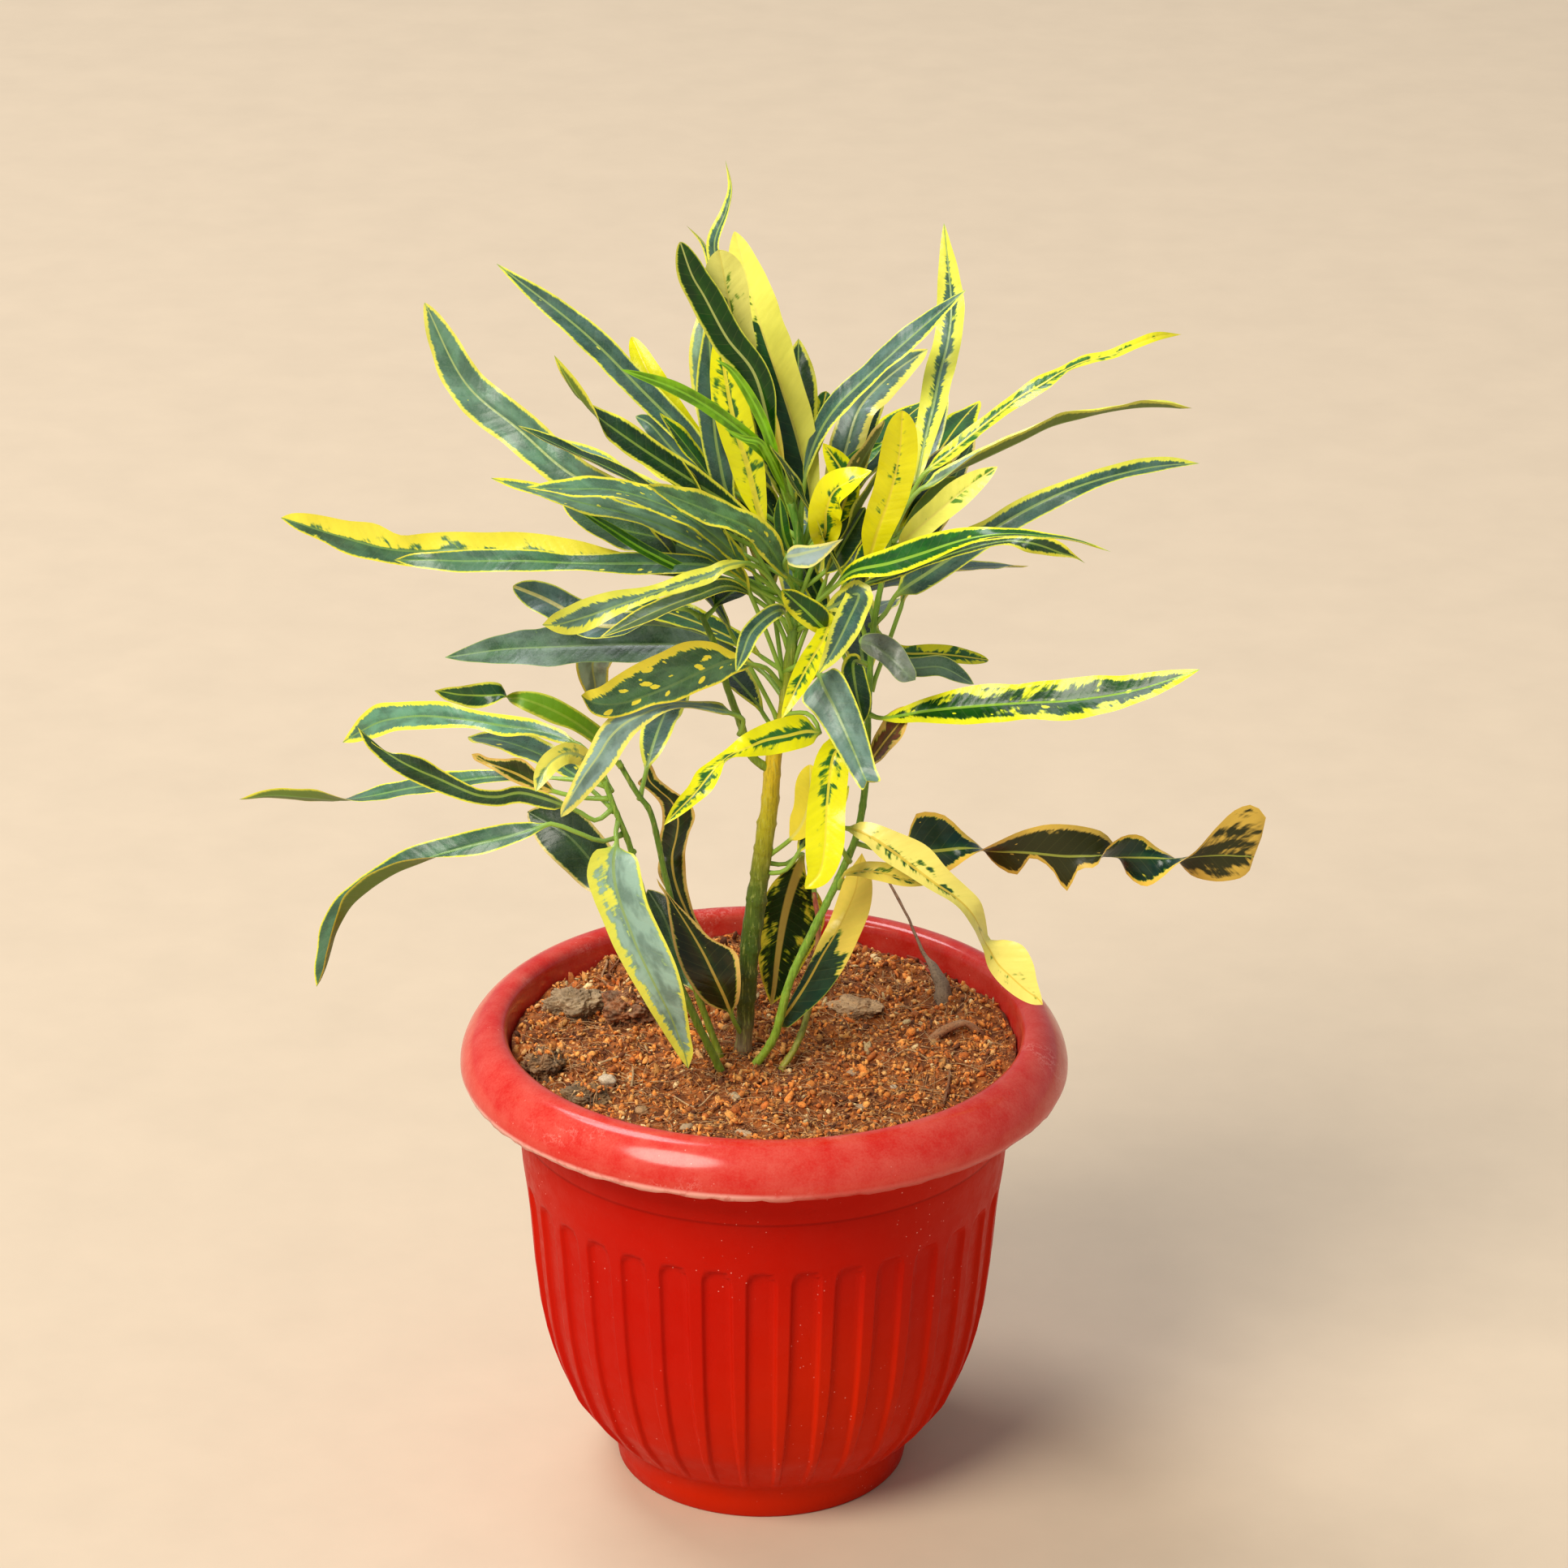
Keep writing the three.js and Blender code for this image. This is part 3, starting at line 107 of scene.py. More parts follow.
def curveSteps(points):
    # centripetal Catmull-Rom curve through the points in equal steps each, and the length reached
    points = np.asarray(points, float)
    padded = np.vstack([2 * points[0] - points[1], points, 2 * points[-1] - points[-2]])
    a, b, c, d = padded[:-3], padded[1:-2], padded[2:-1], padded[3:]
    before, middle, after = [
        np.maximum(np.sum((q - p) ** 2, axis=1) ** 0.25, 1e-3)[:, None]
        for p, q in ((a, b), (b, c), (c, d))]
    leave = middle * ((b - a) / before - (c - a) / (before + middle) + (c - b) / middle)
    arrive = middle * ((c - b) / middle - (d - b) / (middle + after) + (d - c) / after)
    t = np.linspace(0, 1, stepsPerPoint, endpoint=False)[:, None, None]
    square, cube = 3 * (c - b) - 2 * leave - arrive, 2 * (b - c) + leave + arrive
    fine = b + leave * t + square * t ** 2 + cube * t ** 3
    fine = np.vstack([fine.transpose(1, 0, 2).reshape(-1, 3), points[-1]])
    steps = np.linalg.norm(np.diff(fine, axis=0), axis=1)
    return fine, np.concatenate([[0], np.cumsum(steps)])


def readLine(line, places, wanted):
    return np.stack([np.interp(wanted, places, line[:, k]) for k in range(3)], 1)


def smoothLine(points, shares):
    # the curve and its tangent at shares of its length, and the length
    fine, reached = curveSteps(points)
    slopes = unit(np.gradient(fine, reached, axis=0))
    wanted = np.asarray(shares) * reached[-1]
    return readLine(fine, reached, wanted), unit(readLine(slopes, reached, wanted)), reached[-1]


def ringFaces(rows, columns):
    # quads between neighbouring rings; both ends are closed by fans round two further points
    row, column = np.meshgrid(np.arange(rows - 1), np.arange(columns), indexing="ij")
    a = (row * columns + column).ravel()
    b = (row * columns + (column + 1) % columns).ravel()
    quads = np.stack([a, b, b + columns, a + columns], 1)
    around = np.arange(columns)
    nextOne = (around + 1) % columns
    last = (rows - 1) * columns
    start, end = rows * columns, rows * columns + 1
    foot = np.stack([np.full(columns, start), nextOne, around], 1)
    top = np.stack([np.full(columns, end), last + around, last + nextOne], 1)
    return quads, np.vstack([foot, top])


def joinParts(parts):
    # several parts' points, faces and values per point made one, with the indices moved on
    starts = np.cumsum([0] + [len(part["points"]) for part in parts])
    whole = dict(
        points=np.vstack([part["points"] for part in parts]),
        quads=np.vstack([part["quads"] + start for part, start in zip(parts, starts)]),
        triangles=np.vstack([part["triangles"] + start for part, start in zip(parts, starts)]))
    for name in parts[0].get("values", {}):
        whole.setdefault("values", {})[name] = np.vstack([part["values"][name] for part in parts])
    return whole


def makePiece(name, part, material, nodes=(), sharp=None):
    # the part's points in metres, smooth shaded, riding with the pot and standing for its nodes
    mesh = bpy.data.meshes.new(name)
    faces = part["quads"].tolist() + part["triangles"].tolist()
    mesh.from_pydata((part["points"] / 1000).tolist(), [], faces)
    for label, values in part.get("values", {}).items():
        layer = mesh.attributes.new(label, "FLOAT_COLOR", "POINT")
        layer.data.foreach_set("color", np.ascontiguousarray(values, np.float32).ravel())
    if "bakeMap" in part:
        layer = mesh.uv_layers.new(name="OFBake")
        layer.data.foreach_set("uv", np.ascontiguousarray(part["bakeMap"], np.float32).ravel())
    if sharp is not None:
        ends = np.zeros(len(mesh.edges) * 2, np.int32)
        mesh.edges.foreach_get("vertices", ends)
        mesh.edges.foreach_set("use_edge_sharp", sharp[ends.reshape(-1, 2)].all(axis=1))
    mesh.shade_smooth()
    mesh.materials.append(material)
    mesh.update()
    piece = bpy.data.objects.new(name, mesh)
    bpy.context.scene.collection.objects.link(piece)
    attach(piece, "root")
    if nodes:
        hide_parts(*nodes)
    return piece


def tint(red, green, blue):
    # a colour as seen, 0 to 255, turned into the linear value that shaders take
    seen = np.array([red, green, blue]) / 255
    return np.where(seen < 0.04045, seen / 12.92, ((seen + 0.055) / 1.055) ** 2.4)


def rgba(colour):
    return (*[float(value) for value in tint(*colour)], 1.0)


class Wire:
    # a node's output; a sign between it and a number or another one adds a Math node
    def __init__(self, socket):
        self.socket = socket

    def __add__(self, other):
        return maths("ADD", self, other)

    def __radd__(self, other):
        return maths("ADD", other, self)

    def __sub__(self, other):
        return maths("SUBTRACT", self, other)

    def __rsub__(self, other):
        return maths("SUBTRACT", other, self)

    def __mul__(self, other):
        return maths("MULTIPLY", self, other)

    def __truediv__(self, other):
        return maths("DIVIDE", self, other)


def wires(node):
    return {socket.name: Wire(socket) for socket in node.outputs}


def feed(node, values):
    # wires are linked to the node's inputs, and numbers set on them
    for name, value in values.items():
        if isinstance(value, Wire):
            node.id_data.links.new(value.socket, node.inputs[name])
        else:
            node.inputs[name].default_value = value
    return node


def addNode(kind, values, **settings):
    # a node in the tree that its wires come from
    tree = next(value.socket.id_data for value in values.values() if isinstance(value, Wire))
    node = tree.nodes.new("ShaderNode" + kind)
    for name, value in settings.items():
        setattr(node, name, value)
    return feed(node, values)


def maths(operation, *values, clamp=False):
    node = addNode("Math", dict(enumerate(values)), operation=operation, use_clamp=clamp)
    return Wire(node.outputs[0])


def blend(share, *pair):
    # from the first to the second, each a wire or a colour as seen
    first, second = [value if isinstance(value, Wire) else rgba(value) for value in pair]
    node = addNode("Mix", {0: share, 6: first, 7: second}, data_type="RGBA", clamp_factor=True)
    return Wire(node.outputs[2])


def between(value, low, high, start=0, end=1):
    # start below low, end above high, and a smooth step from one to the other
    values = {0: value, 1: low, 2: high, 3: start, 4: end}
    return Wire(addNode("MapRange", values, interpolation_type="SMOOTHSTEP").outputs[0])


def vector(x, y, z):
    return Wire(addNode("CombineXYZ", {0: x, 1: y, 2: z}).outputs[0])


def split(place):
    return [Wire(socket) for socket in addNode("SeparateXYZ", {0: place}).outputs]


def scaled(place, scale):
    return Wire(addNode("Mapping", {"Vector": place, "Scale": scale}).outputs[0])


def noise(place, scale, detail=2, roughness=0.5):
    values = {"Vector": place, "Scale": scale, "Detail": detail, "Roughness": roughness}
    return wires(addNode("TexNoise", values))["Fac"]


def cells(place, scale):
    return wires(addNode("TexVoronoi", {"Vector": place, "Scale": scale}))


def readValues(tree, name):
    # a stored value of four numbers: its colour, the three numbers one by one, and the fourth
    stored = tree.nodes.new("ShaderNodeAttribute")
    stored.attribute_name = name
    found = wires(stored)
    return found["Color"], *split(found["Color"]), found["Alpha"]


def objectPlace(tree):
    # place on the object in millimetres
    return scaled(wires(tree.nodes.new("ShaderNodeTexCoord"))["Object"], (1000, 1000, 1000))


def newGroup(name, takes, gives):
    # an effect for several materials, with the kind of each named input and output
    group = bpy.data.node_groups.new(name, "ShaderNodeTree")
    for way, sockets in (("INPUT", takes), ("OUTPUT", gives)):
        for label, kind in sockets.items():
            group.interface.new_socket(label, in_out=way, socket_type="NodeSocket" + kind)
    return group, wires(group.nodes.new("NodeGroupInput")), group.nodes.new("NodeGroupOutput")


def makeDustAndSheen():
    # dusting and a painted sheen lie in soft patches, more where the surface faces up, and make it paler and
    # duller; the paler upward faces are in part real dusting and in part a painted sky sheen
    group, takes, gives = newGroup("dustAndSheen", {
        "Colour": "Color", "Roughness": "Float", "Amount": "Float", "Patch": "Float",
        "Dust And Sheen Colour": "Color"}, {"Colour": "Color", "Roughness": "Float"})
    place = objectPlace(group)
    patches = noise(place, takes["Patch"], 5, 0.65)
    speckles = noise(place, 1.1, 3, 0.7)
    facing = split(wires(group.nodes.new("ShaderNodeNewGeometry"))["Normal"])[2]
    upward = between(facing, -0.6, 0.8, 0.35, 1)
    mask = between(patches * 0.75 + speckles * 0.35, 0.35, 0.75) * upward
    mask = maths("MULTIPLY", mask, takes["Amount"], clamp=True)
    feed(gives, {
        "Colour": blend(mask, takes["Colour"], takes["Dust And Sheen Colour"]),
        "Roughness": maths("ADD", takes["Roughness"], mask * 0.35, clamp=True)})
    return group


def makeGrain():
    # fine uneven relief with small pits, from 0 to 1, for moulded, woody and earthy surfaces
    group, takes, gives = newGroup(
        "grain", {"Vector": "Vector", "Scale": "Float"}, {"Height": "Float", "Pits": "Float"})
    uneven = noise(takes["Vector"], takes["Scale"], 6, 0.7)
    unpitted = between(cells(takes["Vector"], takes["Scale"])["Distance"], 0.12, 0.3)
    feed(gives, {"Height": uneven * unpitted, "Pits": 1 - unpitted})
    return group


dustAndSheenGroup = makeDustAndSheen()
grainGroup = makeGrain()


def withDustAndSheen(colour, roughness, amount, patch, dustAndSheenColour):
    # what the shader takes when dusting and painted sheen lie on this colour and roughness
    found = wires(addNode("Group", {
        "Colour": colour, "Roughness": roughness, "Amount": amount, "Patch": patch,
        "Dust And Sheen Colour": rgba(dustAndSheenColour)}, node_tree=dustAndSheenGroup))
    return {"Base Color": found["Colour"], "Roughness": found["Roughness"]}


def grainAt(place, scale):
    return wires(addNode("Group", {"Vector": place, "Scale": scale}, node_tree=grainGroup))


def newMaterial(name):
    material = bpy.data.materials.new(name)
    material.use_nodes = True
    return material, material.node_tree, material.node_tree.nodes["Principled BSDF"]


def addBump(shader, height, millimetres):
    # a step of the height from 0 to 1 stands this many millimetres proud
    bump = addNode("Bump", {"Height": height, "Distance": millimetres / 1000, "Strength": 1.0})
    feed(shader, {"Normal": Wire(bump.outputs["Normal"])})


studio = dict(
    floor=(216, 196, 168), sky=(240, 245, 252), skyPower=0.36, aimHeight=0.28,
    lamps=dict(
        key=dict(place=(-4.4, -5.0, 7.0), size=4.9, power=830, colour=(255, 248, 236)),
        roof=dict(place=(-2.0, 1.7, 5.2), size=2.6, power=190, colour=(250, 250, 255))))


def makeFloor():
    # a wide flat sheet in metres at the pot's foot, slightly mottled
    squares, halfWidth = 24, 6
    side = np.linspace(-halfWidth, halfWidth, squares + 1)
    x, y = np.meshgrid(side, side)
    points = np.stack([x.ravel(), y.ravel(), 0 * x.ravel()], 1)
    row, column = np.meshgrid(np.arange(squares), np.arange(squares), indexing="ij")
    a = (row * (squares + 1) + column).ravel()
    faces = np.stack([a, a + 1, a + squares + 2, a + squares + 1], 1)
    mesh = bpy.data.meshes.new("floor")
    mesh.from_pydata(points.tolist(), [], faces.tolist())
    material, tree, shader = newMaterial("paleFloor")
    mottle = noise(objectPlace(tree), 0.02, 6, 0.6)
    darker = tuple(value * 0.94 for value in studio["floor"])
    feed(shader, {"Base Color": blend(mottle, studio["floor"], darker), "Roughness": 0.85})
    mesh.materials.append(material)
    floor = bpy.data.objects.new("floor", mesh)
    bpy.context.scene.collection.objects.link(floor)


def makeLight():
    bpy.context.scene.view_settings.view_transform = "Standard"
    world = bpy.data.worlds.new("softSky")
    bpy.context.scene.world = world
    world.use_nodes = True
    feed(world.node_tree.nodes["Background"], {"Color": rgba(studio["sky"]), "Strength": studio["skyPower"]})
    for name, lamp in studio["lamps"].items():
        data = bpy.data.lights.new(name, "AREA")
        data.shape = "DISK"
        data.size = lamp["size"]
        data.energy = lamp["power"]
        data.color = rgba(lamp["colour"])[:3]
        holder = bpy.data.objects.new(name, data)
        holder.location = lamp["place"]
        aim = Vector((0, 0, studio["aimHeight"])) - holder.location
        holder.rotation_euler = aim.to_track_quat("-Z", "Y").to_euler()
        bpy.context.scene.collection.objects.link(holder)


makeCamera()
makeFloor()
makeLight()
print("camera, floor and light are set")


# the pot's flutes, the fine line round its neck, its drain holes and its colours
pot = dict(
    flutes=34, fluteDepth=1.9, fluteTop=137, fluteFoot=16, fluteHalf=6.2, ringLine=160, ringDepth=0.45,
    lipEdge=183.6, drains=5, drainWidth=11, drainCircle=38, bodyRoughness=0.36, lipRoughness=0.3,
    bodyColour=(192, 16, 0), sunnyColour=(206, 36, 0), ringShadeColour=(96, 4, 2), lipColour=(208, 28, 16),
    scuffColour=(250, 176, 164), dustAndSheenColour=(240, 146, 124))
# where the mesh has its columns within one flute, closest together at the groove's soft sides
columnShares = [
    0, 0.14, 0.26, 0.31, 0.335, 0.36, 0.39, 0.42, 0.46, 0.5, 0.54, 0.58, 0.61, 0.64, 0.665, 0.69, 0.74, 0.86]

# radius and height of the pot's outline: along the underside, up the outside, over the lip, down the
# inside and along the floor
potUnderside = [(18, 0), (30, 0), (44, 0), (56, 0)]
potOutside = [
    (60.6, 0), (61.6, 1.2), (62.8, 8), (63.8, 14.6), (65.4, 16.6), (68.6, 19), (75.8, 27), (82.6, 36.6),
    (86.9, 47), (90.5, 57.6), (92.7, 66), (95.2, 79), (97.4, 99), (99, 120), (100, 130), (101.5, 142),
    (103, 160), (104.8, 183)]
potLip = [
    (105, 186), (108, 189.6), (114, 190), (121, 187.6), (124.2, 184.4), (125.8, 183.3), (126.8, 184.6),
    (126.9, 187.5), (125.8, 191.8), (123.6, 196), (120.8, 199.4), (117.6, 202), (114, 203.3),
    (110.4, 203), (108.2, 201.4), (107.2, 198)]
potInside = [
    (106.2, 190), (101.3, 172), (96.8, 133), (90.8, 74), (81.8, 42), (66, 18), (57.4, 6.4), (54, 5),
    (40, 5), (24, 5)]
wallHeights = np.concatenate([
    [z for _, z in potOutside[:6]], np.linspace(21, 118, 42), np.linspace(119.5, 142, 19),
    [148, 154, 158.6, 159.6, 160.4, 161.4, 166, 172, 178, 183]])


def wallRadius(height):
    # read off the outside's outline
    return np.interp(height, [z for _, z in potOutside], [r for r, _ in potOutside])


def grooveDepth(angle, height):
    # each groove is a flat-bottomed channel with soft sides and a round top, narrowing to its foot
    pitchAngle = 2 * np.pi / pot["flutes"]
    share = (angle + np.pi / 2) / pitchAngle
    across = np.abs(share - np.round(share))
    radius = wallRadius(height)
    offset = across * pitchAngle * radius
    halfWidth = np.minimum(pot["fluteHalf"], 0.41 * pitchAngle * radius)
    intoArch = np.clip(height - (pot["fluteTop"] - halfWidth), 0, halfWidth)
    halfWidth = np.sqrt(np.maximum(halfWidth ** 2 - intoArch ** 2, 0))
    wall = smoothStep(-0.3, 1.0, halfWidth - offset) * (height < pot["fluteTop"] + 2)
    fade = smoothStep(pot["fluteFoot"], pot["fluteFoot"] + 12, height)
    return pot["fluteDepth"] * wall * fade


def makePotMesh():
    # the outline turned about +Z column by column; the grooves are pressed in from outside
    flute = np.arange(pot["flutes"])[:, None] + np.array(columnShares)
    angle = flute.ravel() / pot["flutes"] * 2 * np.pi - np.pi / 2
    columns = len(angle)
    wall = np.stack([wallRadius(wallHeights), wallHeights], 1)
    lip = smoothLine(np.array([(r, z, 0) for r, z in potLip]), np.linspace(0, 1, 30))[0][:, :2]
    rows = np.vstack([potUnderside, wall, lip, potInside])
    radius, height = rows[:, :1] + 0 * angle, rows[:, 1:] + 0 * angle
    isWall = np.zeros((len(rows), 1), bool)
    isWall[len(potUnderside):len(potUnderside) + len(wall)] = True
    radius -= np.where(isWall, grooveDepth(angle + 0 * height, height), 0)
    radius -= np.where(isWall, pot["ringDepth"] * np.exp(-((height - pot["ringLine"]) / 0.7) ** 2), 0)
    # a little plastic stands ragged along the lip's lower edge, most of all at the left front
    flash = softNoise(np.stack([np.cos(angle) * 26, np.sin(angle) * 26, 0 * angle + 3], -1), 5)
    isEdge = smoothStep(2.2, 0, np.abs(height - pot["lipEdge"])) * (radius > 122)
    ragged = 1.2 + 1.6 * np.exp(-((angle + 2.1) / 0.5) ** 2)
    height -= isEdge * (flash - 0.35) * ragged
    points = np.stack([radius * np.cos(angle), radius * np.sin(angle), height], -1).reshape(-1, 3)
    points = np.vstack([points, [[0, 0, 0], [0, 0, 5]]])
    quads, fans = ringFaces(len(rows), columns)
    return dict(points=points, quads=quads, triangles=fans)


def plasticMaterial():
    # moulded red plastic: painted sunlit patches on the body, a painted shade line in the neck groove, paler
    # scuffs and swirls on the lip, chalky flash at its lower edge, and dusting that on the lip is in part a
    # painted highlight haze
    material, tree, shader = newMaterial("redPlastic")
    place = objectPlace(tree)
    x, y, height = split(place)
    # painted sunlit patches: broad noise patches where the body takes a lighter, sunlit copy of its colour
    sunny = between(noise(place, 0.006, 1, 0.5), 0.35, 0.7)
    colour = blend(sunny, pot["bodyColour"], pot["sunnyColour"])
    # painted shade in the groove round the neck: a dark red line along it
    fromRing = maths("ABSOLUTE", height - pot["ringLine"])
    colour = blend(between(fromRing, 0.2, 0.9, 0.3, 0), colour, pot["ringShadeColour"])
    onLip = between(height, 182, 184)
    colour = blend(onLip, colour, pot["lipColour"])
    swirls = noise(place, 0.11, 9, 0.7)
    bands = maths("ABSOLUTE", swirls - 0.5)
    rubbed = between(noise(place, 0.028, 2), 0.56, 0.66)
    scuffs = between(bands, 0, 0.03, 1, 0) * onLip * rubbed
    chalky = between(height, 185.2, 187, 1, 0) * onLip * between(swirls, 0.36, 0.5, 0.45, 1)
    leftFront = between(x, -20, 30, 1, 0.12) * between(y, -40, 0, 1, 0.12)
    chalky = chalky * leftFront
    specks = between(cells(place, 0.3)["Distance"], 0.05, 0.11, 0.8, 0)
    specks = specks * between(noise(place, 0.03, 2), 0.5, 0.66)
    worn = maths("MAXIMUM", maths("MAXIMUM", scuffs * 0.35, chalky), specks)
    colour = blend(worn, colour, pot["scuffColour"])
    smooth = between(onLip, 0, 1, pot["bodyRoughness"], pot["lipRoughness"])
    rough = smooth + between(swirls, 0.4, 0.6) * 0.14 + worn * 0.3
    # on the lip the dusting is in part a painted highlight haze, pale and pinkish
    feed(shader, withDustAndSheen(colour, rough, 0.02 + onLip * 0.26, 0.06, pot["dustAndSheenColour"]))
    feed(shader, {"Specular IOR Level": 0.06, "Coat Weight": onLip * 0.65, "Coat Roughness": 0.15})
    addBump(shader, grainAt(place, 0.25)["Height"] * 0.25 + noise(place, 0.04, 2), 0.35)
    return material


def drillDrains(piece):
    # upright posts cut the round drain holes through the floor, whose rims are kept crisp
    turn = np.arange(pot["drains"]) / pot["drains"] * 2 * np.pi
    centres = np.stack([np.cos(turn), np.sin(turn)], -1) * pot["drainCircle"] / 1000
    radius = pot["drainWidth"] / 2000
    postHeight, middle, near = 0.012, 0.0025, 0.0001
    shape = bmesh.new()
    for x, y in centres:
        bmesh.ops.create_cone(
            shape, cap_ends=True, segments=48, radius1=radius, radius2=radius, depth=postHeight,
            matrix=Matrix.Translation((x, y, middle)))
    posts = bpy.data.meshes.new("drainPosts")
    shape.to_mesh(posts)
    shape.free()
    cutter = bpy.data.objects.new("drainPosts", posts)
    bpy.context.scene.collection.objects.link(cutter)
    cut = piece.modifiers.new("drains", "BOOLEAN")
    cut.operation = "DIFFERENCE"
    cut.solver = "EXACT"
    cut.object = cutter
    bpy.context.view_layer.update()
    graph = bpy.context.evaluated_depsgraph_get()
    drilled = bpy.data.meshes.new_from_object(piece.evaluated_get(graph))
    piece.modifiers.clear()
    piece.data = drilled
    bpy.data.objects.remove(cutter)
    points = np.zeros(len(drilled.vertices) * 3)
    drilled.vertices.foreach_get("co", points)
    points = points.reshape(-1, 3)
    away = np.linalg.norm(points[:, None, :2] - centres, axis=2).min(axis=1)
    onRim = np.abs(away - radius) < near
    ends = np.zeros(len(drilled.edges) * 2, np.int32)
    drilled.edges.foreach_get("vertices", ends)
    ends = ends.reshape(-1, 2)
    level = np.abs(points[ends[:, 0], 2] - points[ends[:, 1], 2]) < near
    drilled.edges.foreach_set("use_edge_sharp", onRim[ends].all(axis=1) & level)


drillDrains(makePiece("fluted_pot", makePotMesh(), plasticMaterial(), ["pot"]))
print("the pot is turned")


# the compost in mm; its crumbs, how far out they lie, their usual size and its limits, their colours
# and the share of each colour; and its fibres
compost = dict(
    level=192, relief=1.6, edge=105.4, roughness=2.2, seed=11, crumbs=9800, crumbsOut=104, crumbSize=0.7,
    crumbLimits=(0.4, 2.2), fibres=1900,
    colours=[
        (242, 146, 58), (250, 172, 84), (210, 114, 42), (255, 220, 156), (112, 56, 20), (252, 190, 112)],
    shares=[0.32, 0.24, 0.2, 0.05, 0.1, 0.09],
    fibreColours=[(220, 176, 122), (170, 108, 62), (206, 150, 96)])
soilSides = [(57, 5.4), (65.4, 18), (81, 42), (90, 74), (96, 135), (100.4, 172), (104.8, 186)]


def soilHeight(x, y):
    # a low heap in front of the middle, on waves that cross
    heap = 3 * np.exp(-((x + 6) ** 2 + (y + 20) ** 2) / 900)
    waves = np.sin(x / 9 + 1.3) * np.cos(y / 11 - 0.4) + 0.6 * np.sin((x + y) / 6.2)
    return compost["level"] + heap + compost["relief"] * waves


def crumbledHeight(x, y):
    # the smooth heap with three sizes of noise on it
    rough = sum(
        share * (softNoise(np.stack([x / size, y / size, 0 * x + size], -1), 21) - 0.5)
        for size, share in ((7, 1.6), (3.4, 1.2), (1.7, 0.7)))
    return soilHeight(x, y) + compost["roughness"] * rough


def makeSoilMesh():
    # rings up the side, then over the crumbled top to the middle
    columns = 250
    angle = np.arange(columns) / columns * 2 * np.pi
    radii = np.concatenate([np.linspace(compost["edge"], 60, 28), 60 * (1 - np.linspace(0.03, 0.985, 30))])
    side = np.array(soilSides)
    sideRings = np.stack([
        side[:, :1] * np.cos(angle), side[:, :1] * np.sin(angle), side[:, 1:] + 0 * angle], -1)
    x, y = radii[:, None] * np.cos(angle), radii[:, None] * np.sin(angle)
    top = np.stack([x, y, crumbledHeight(x, y)], -1)
    rings = np.concatenate([sideRings, top])
    centre = [[0, 0, side[0, 1]], [0, 0, float(crumbledHeight(np.zeros(1), np.zeros(1))[0])]]
    quads, fans = ringFaces(len(rings), columns)
    points = np.vstack([rings.reshape(-1, 3), centre])
    return dict(points=points, quads=quads, triangles=fans)


# stones and clods that the frame holds: mm right of and behind the axis, size, degrees turned
lumps = {
    "stone_grey": dict(at=(-80, 30), size=(25, 19, 15), turn=15, colours=[(190, 162, 122), (122, 98, 68)]),
    "stone_tan": dict(at=(38, 32), size=(22, 15, 8), turn=-10, colours=[(214, 172, 122), (156, 118, 78)]),
    "clod_brown": dict(at=(-56, 24), size=(24, 22, 18), turn=40, colours=[(172, 96, 44), (84, 42, 18)]),
    "clod_dark": dict(at=(-91, -29), size=(16, 15, 14), turn=70, colours=[(140, 100, 58), (66, 44, 24)]),
    "clod_front": dict(at=(-72, -54), size=(17, 13, 11), turn=0, colours=[(126, 96, 54), (50, 36, 20)]),
}


def clodRise(x, y):
    # how far the crumbly clods lift what lies on them: the top of each one's ellipsoid
    rise = 0 * x
    for name in ("clod_brown", "clod_dark", "clod_front"):
        (long, deep, high), centre = lumps[name]["size"], lumps[name]["at"]
        angle = math.radians(lumps[name]["turn"])
        across, back = x - centre[0], y - centre[1]
        u = (across * math.cos(angle) + back * math.sin(angle)) * 2 / long
        v = (back * math.cos(angle) - across * math.sin(angle)) * 2 / deep
        top = high * (0.18 + 0.5 * np.sqrt(np.maximum(1 - u * u - v * v, 0)))
        rise = np.where(u * u + v * v < 1, top, rise)
    return rise


def icosphere(subdivisions):
    # a ball of radius 1 in even triangles
    shape = bmesh.new()
    bmesh.ops.create_icosphere(shape, subdivisions=subdivisions, radius=1)
    points = np.array([vertex.co[:] for vertex in shape.verts])
    faces = np.array([[vertex.index for vertex in face.verts] for face in shape.faces])
    shape.free()
    return points, faces


def randomTurns(draw, count):
    # turning matrices from random quaternions
    w, x, y, z = unit(draw.normal(size=(count, 4))).T
    return np.stack([
        np.stack([1 - 2 * (y * y + z * z), 2 * (x * y - z * w), 2 * (x * z + y * w)], 1),
        np.stack([2 * (x * y + z * w), 1 - 2 * (x * x + z * z), 2 * (y * z - x * w)], 1),
        np.stack([2 * (x * z - y * w), 2 * (y * z + x * w), 1 - 2 * (x * x + y * y)], 1)], 1)


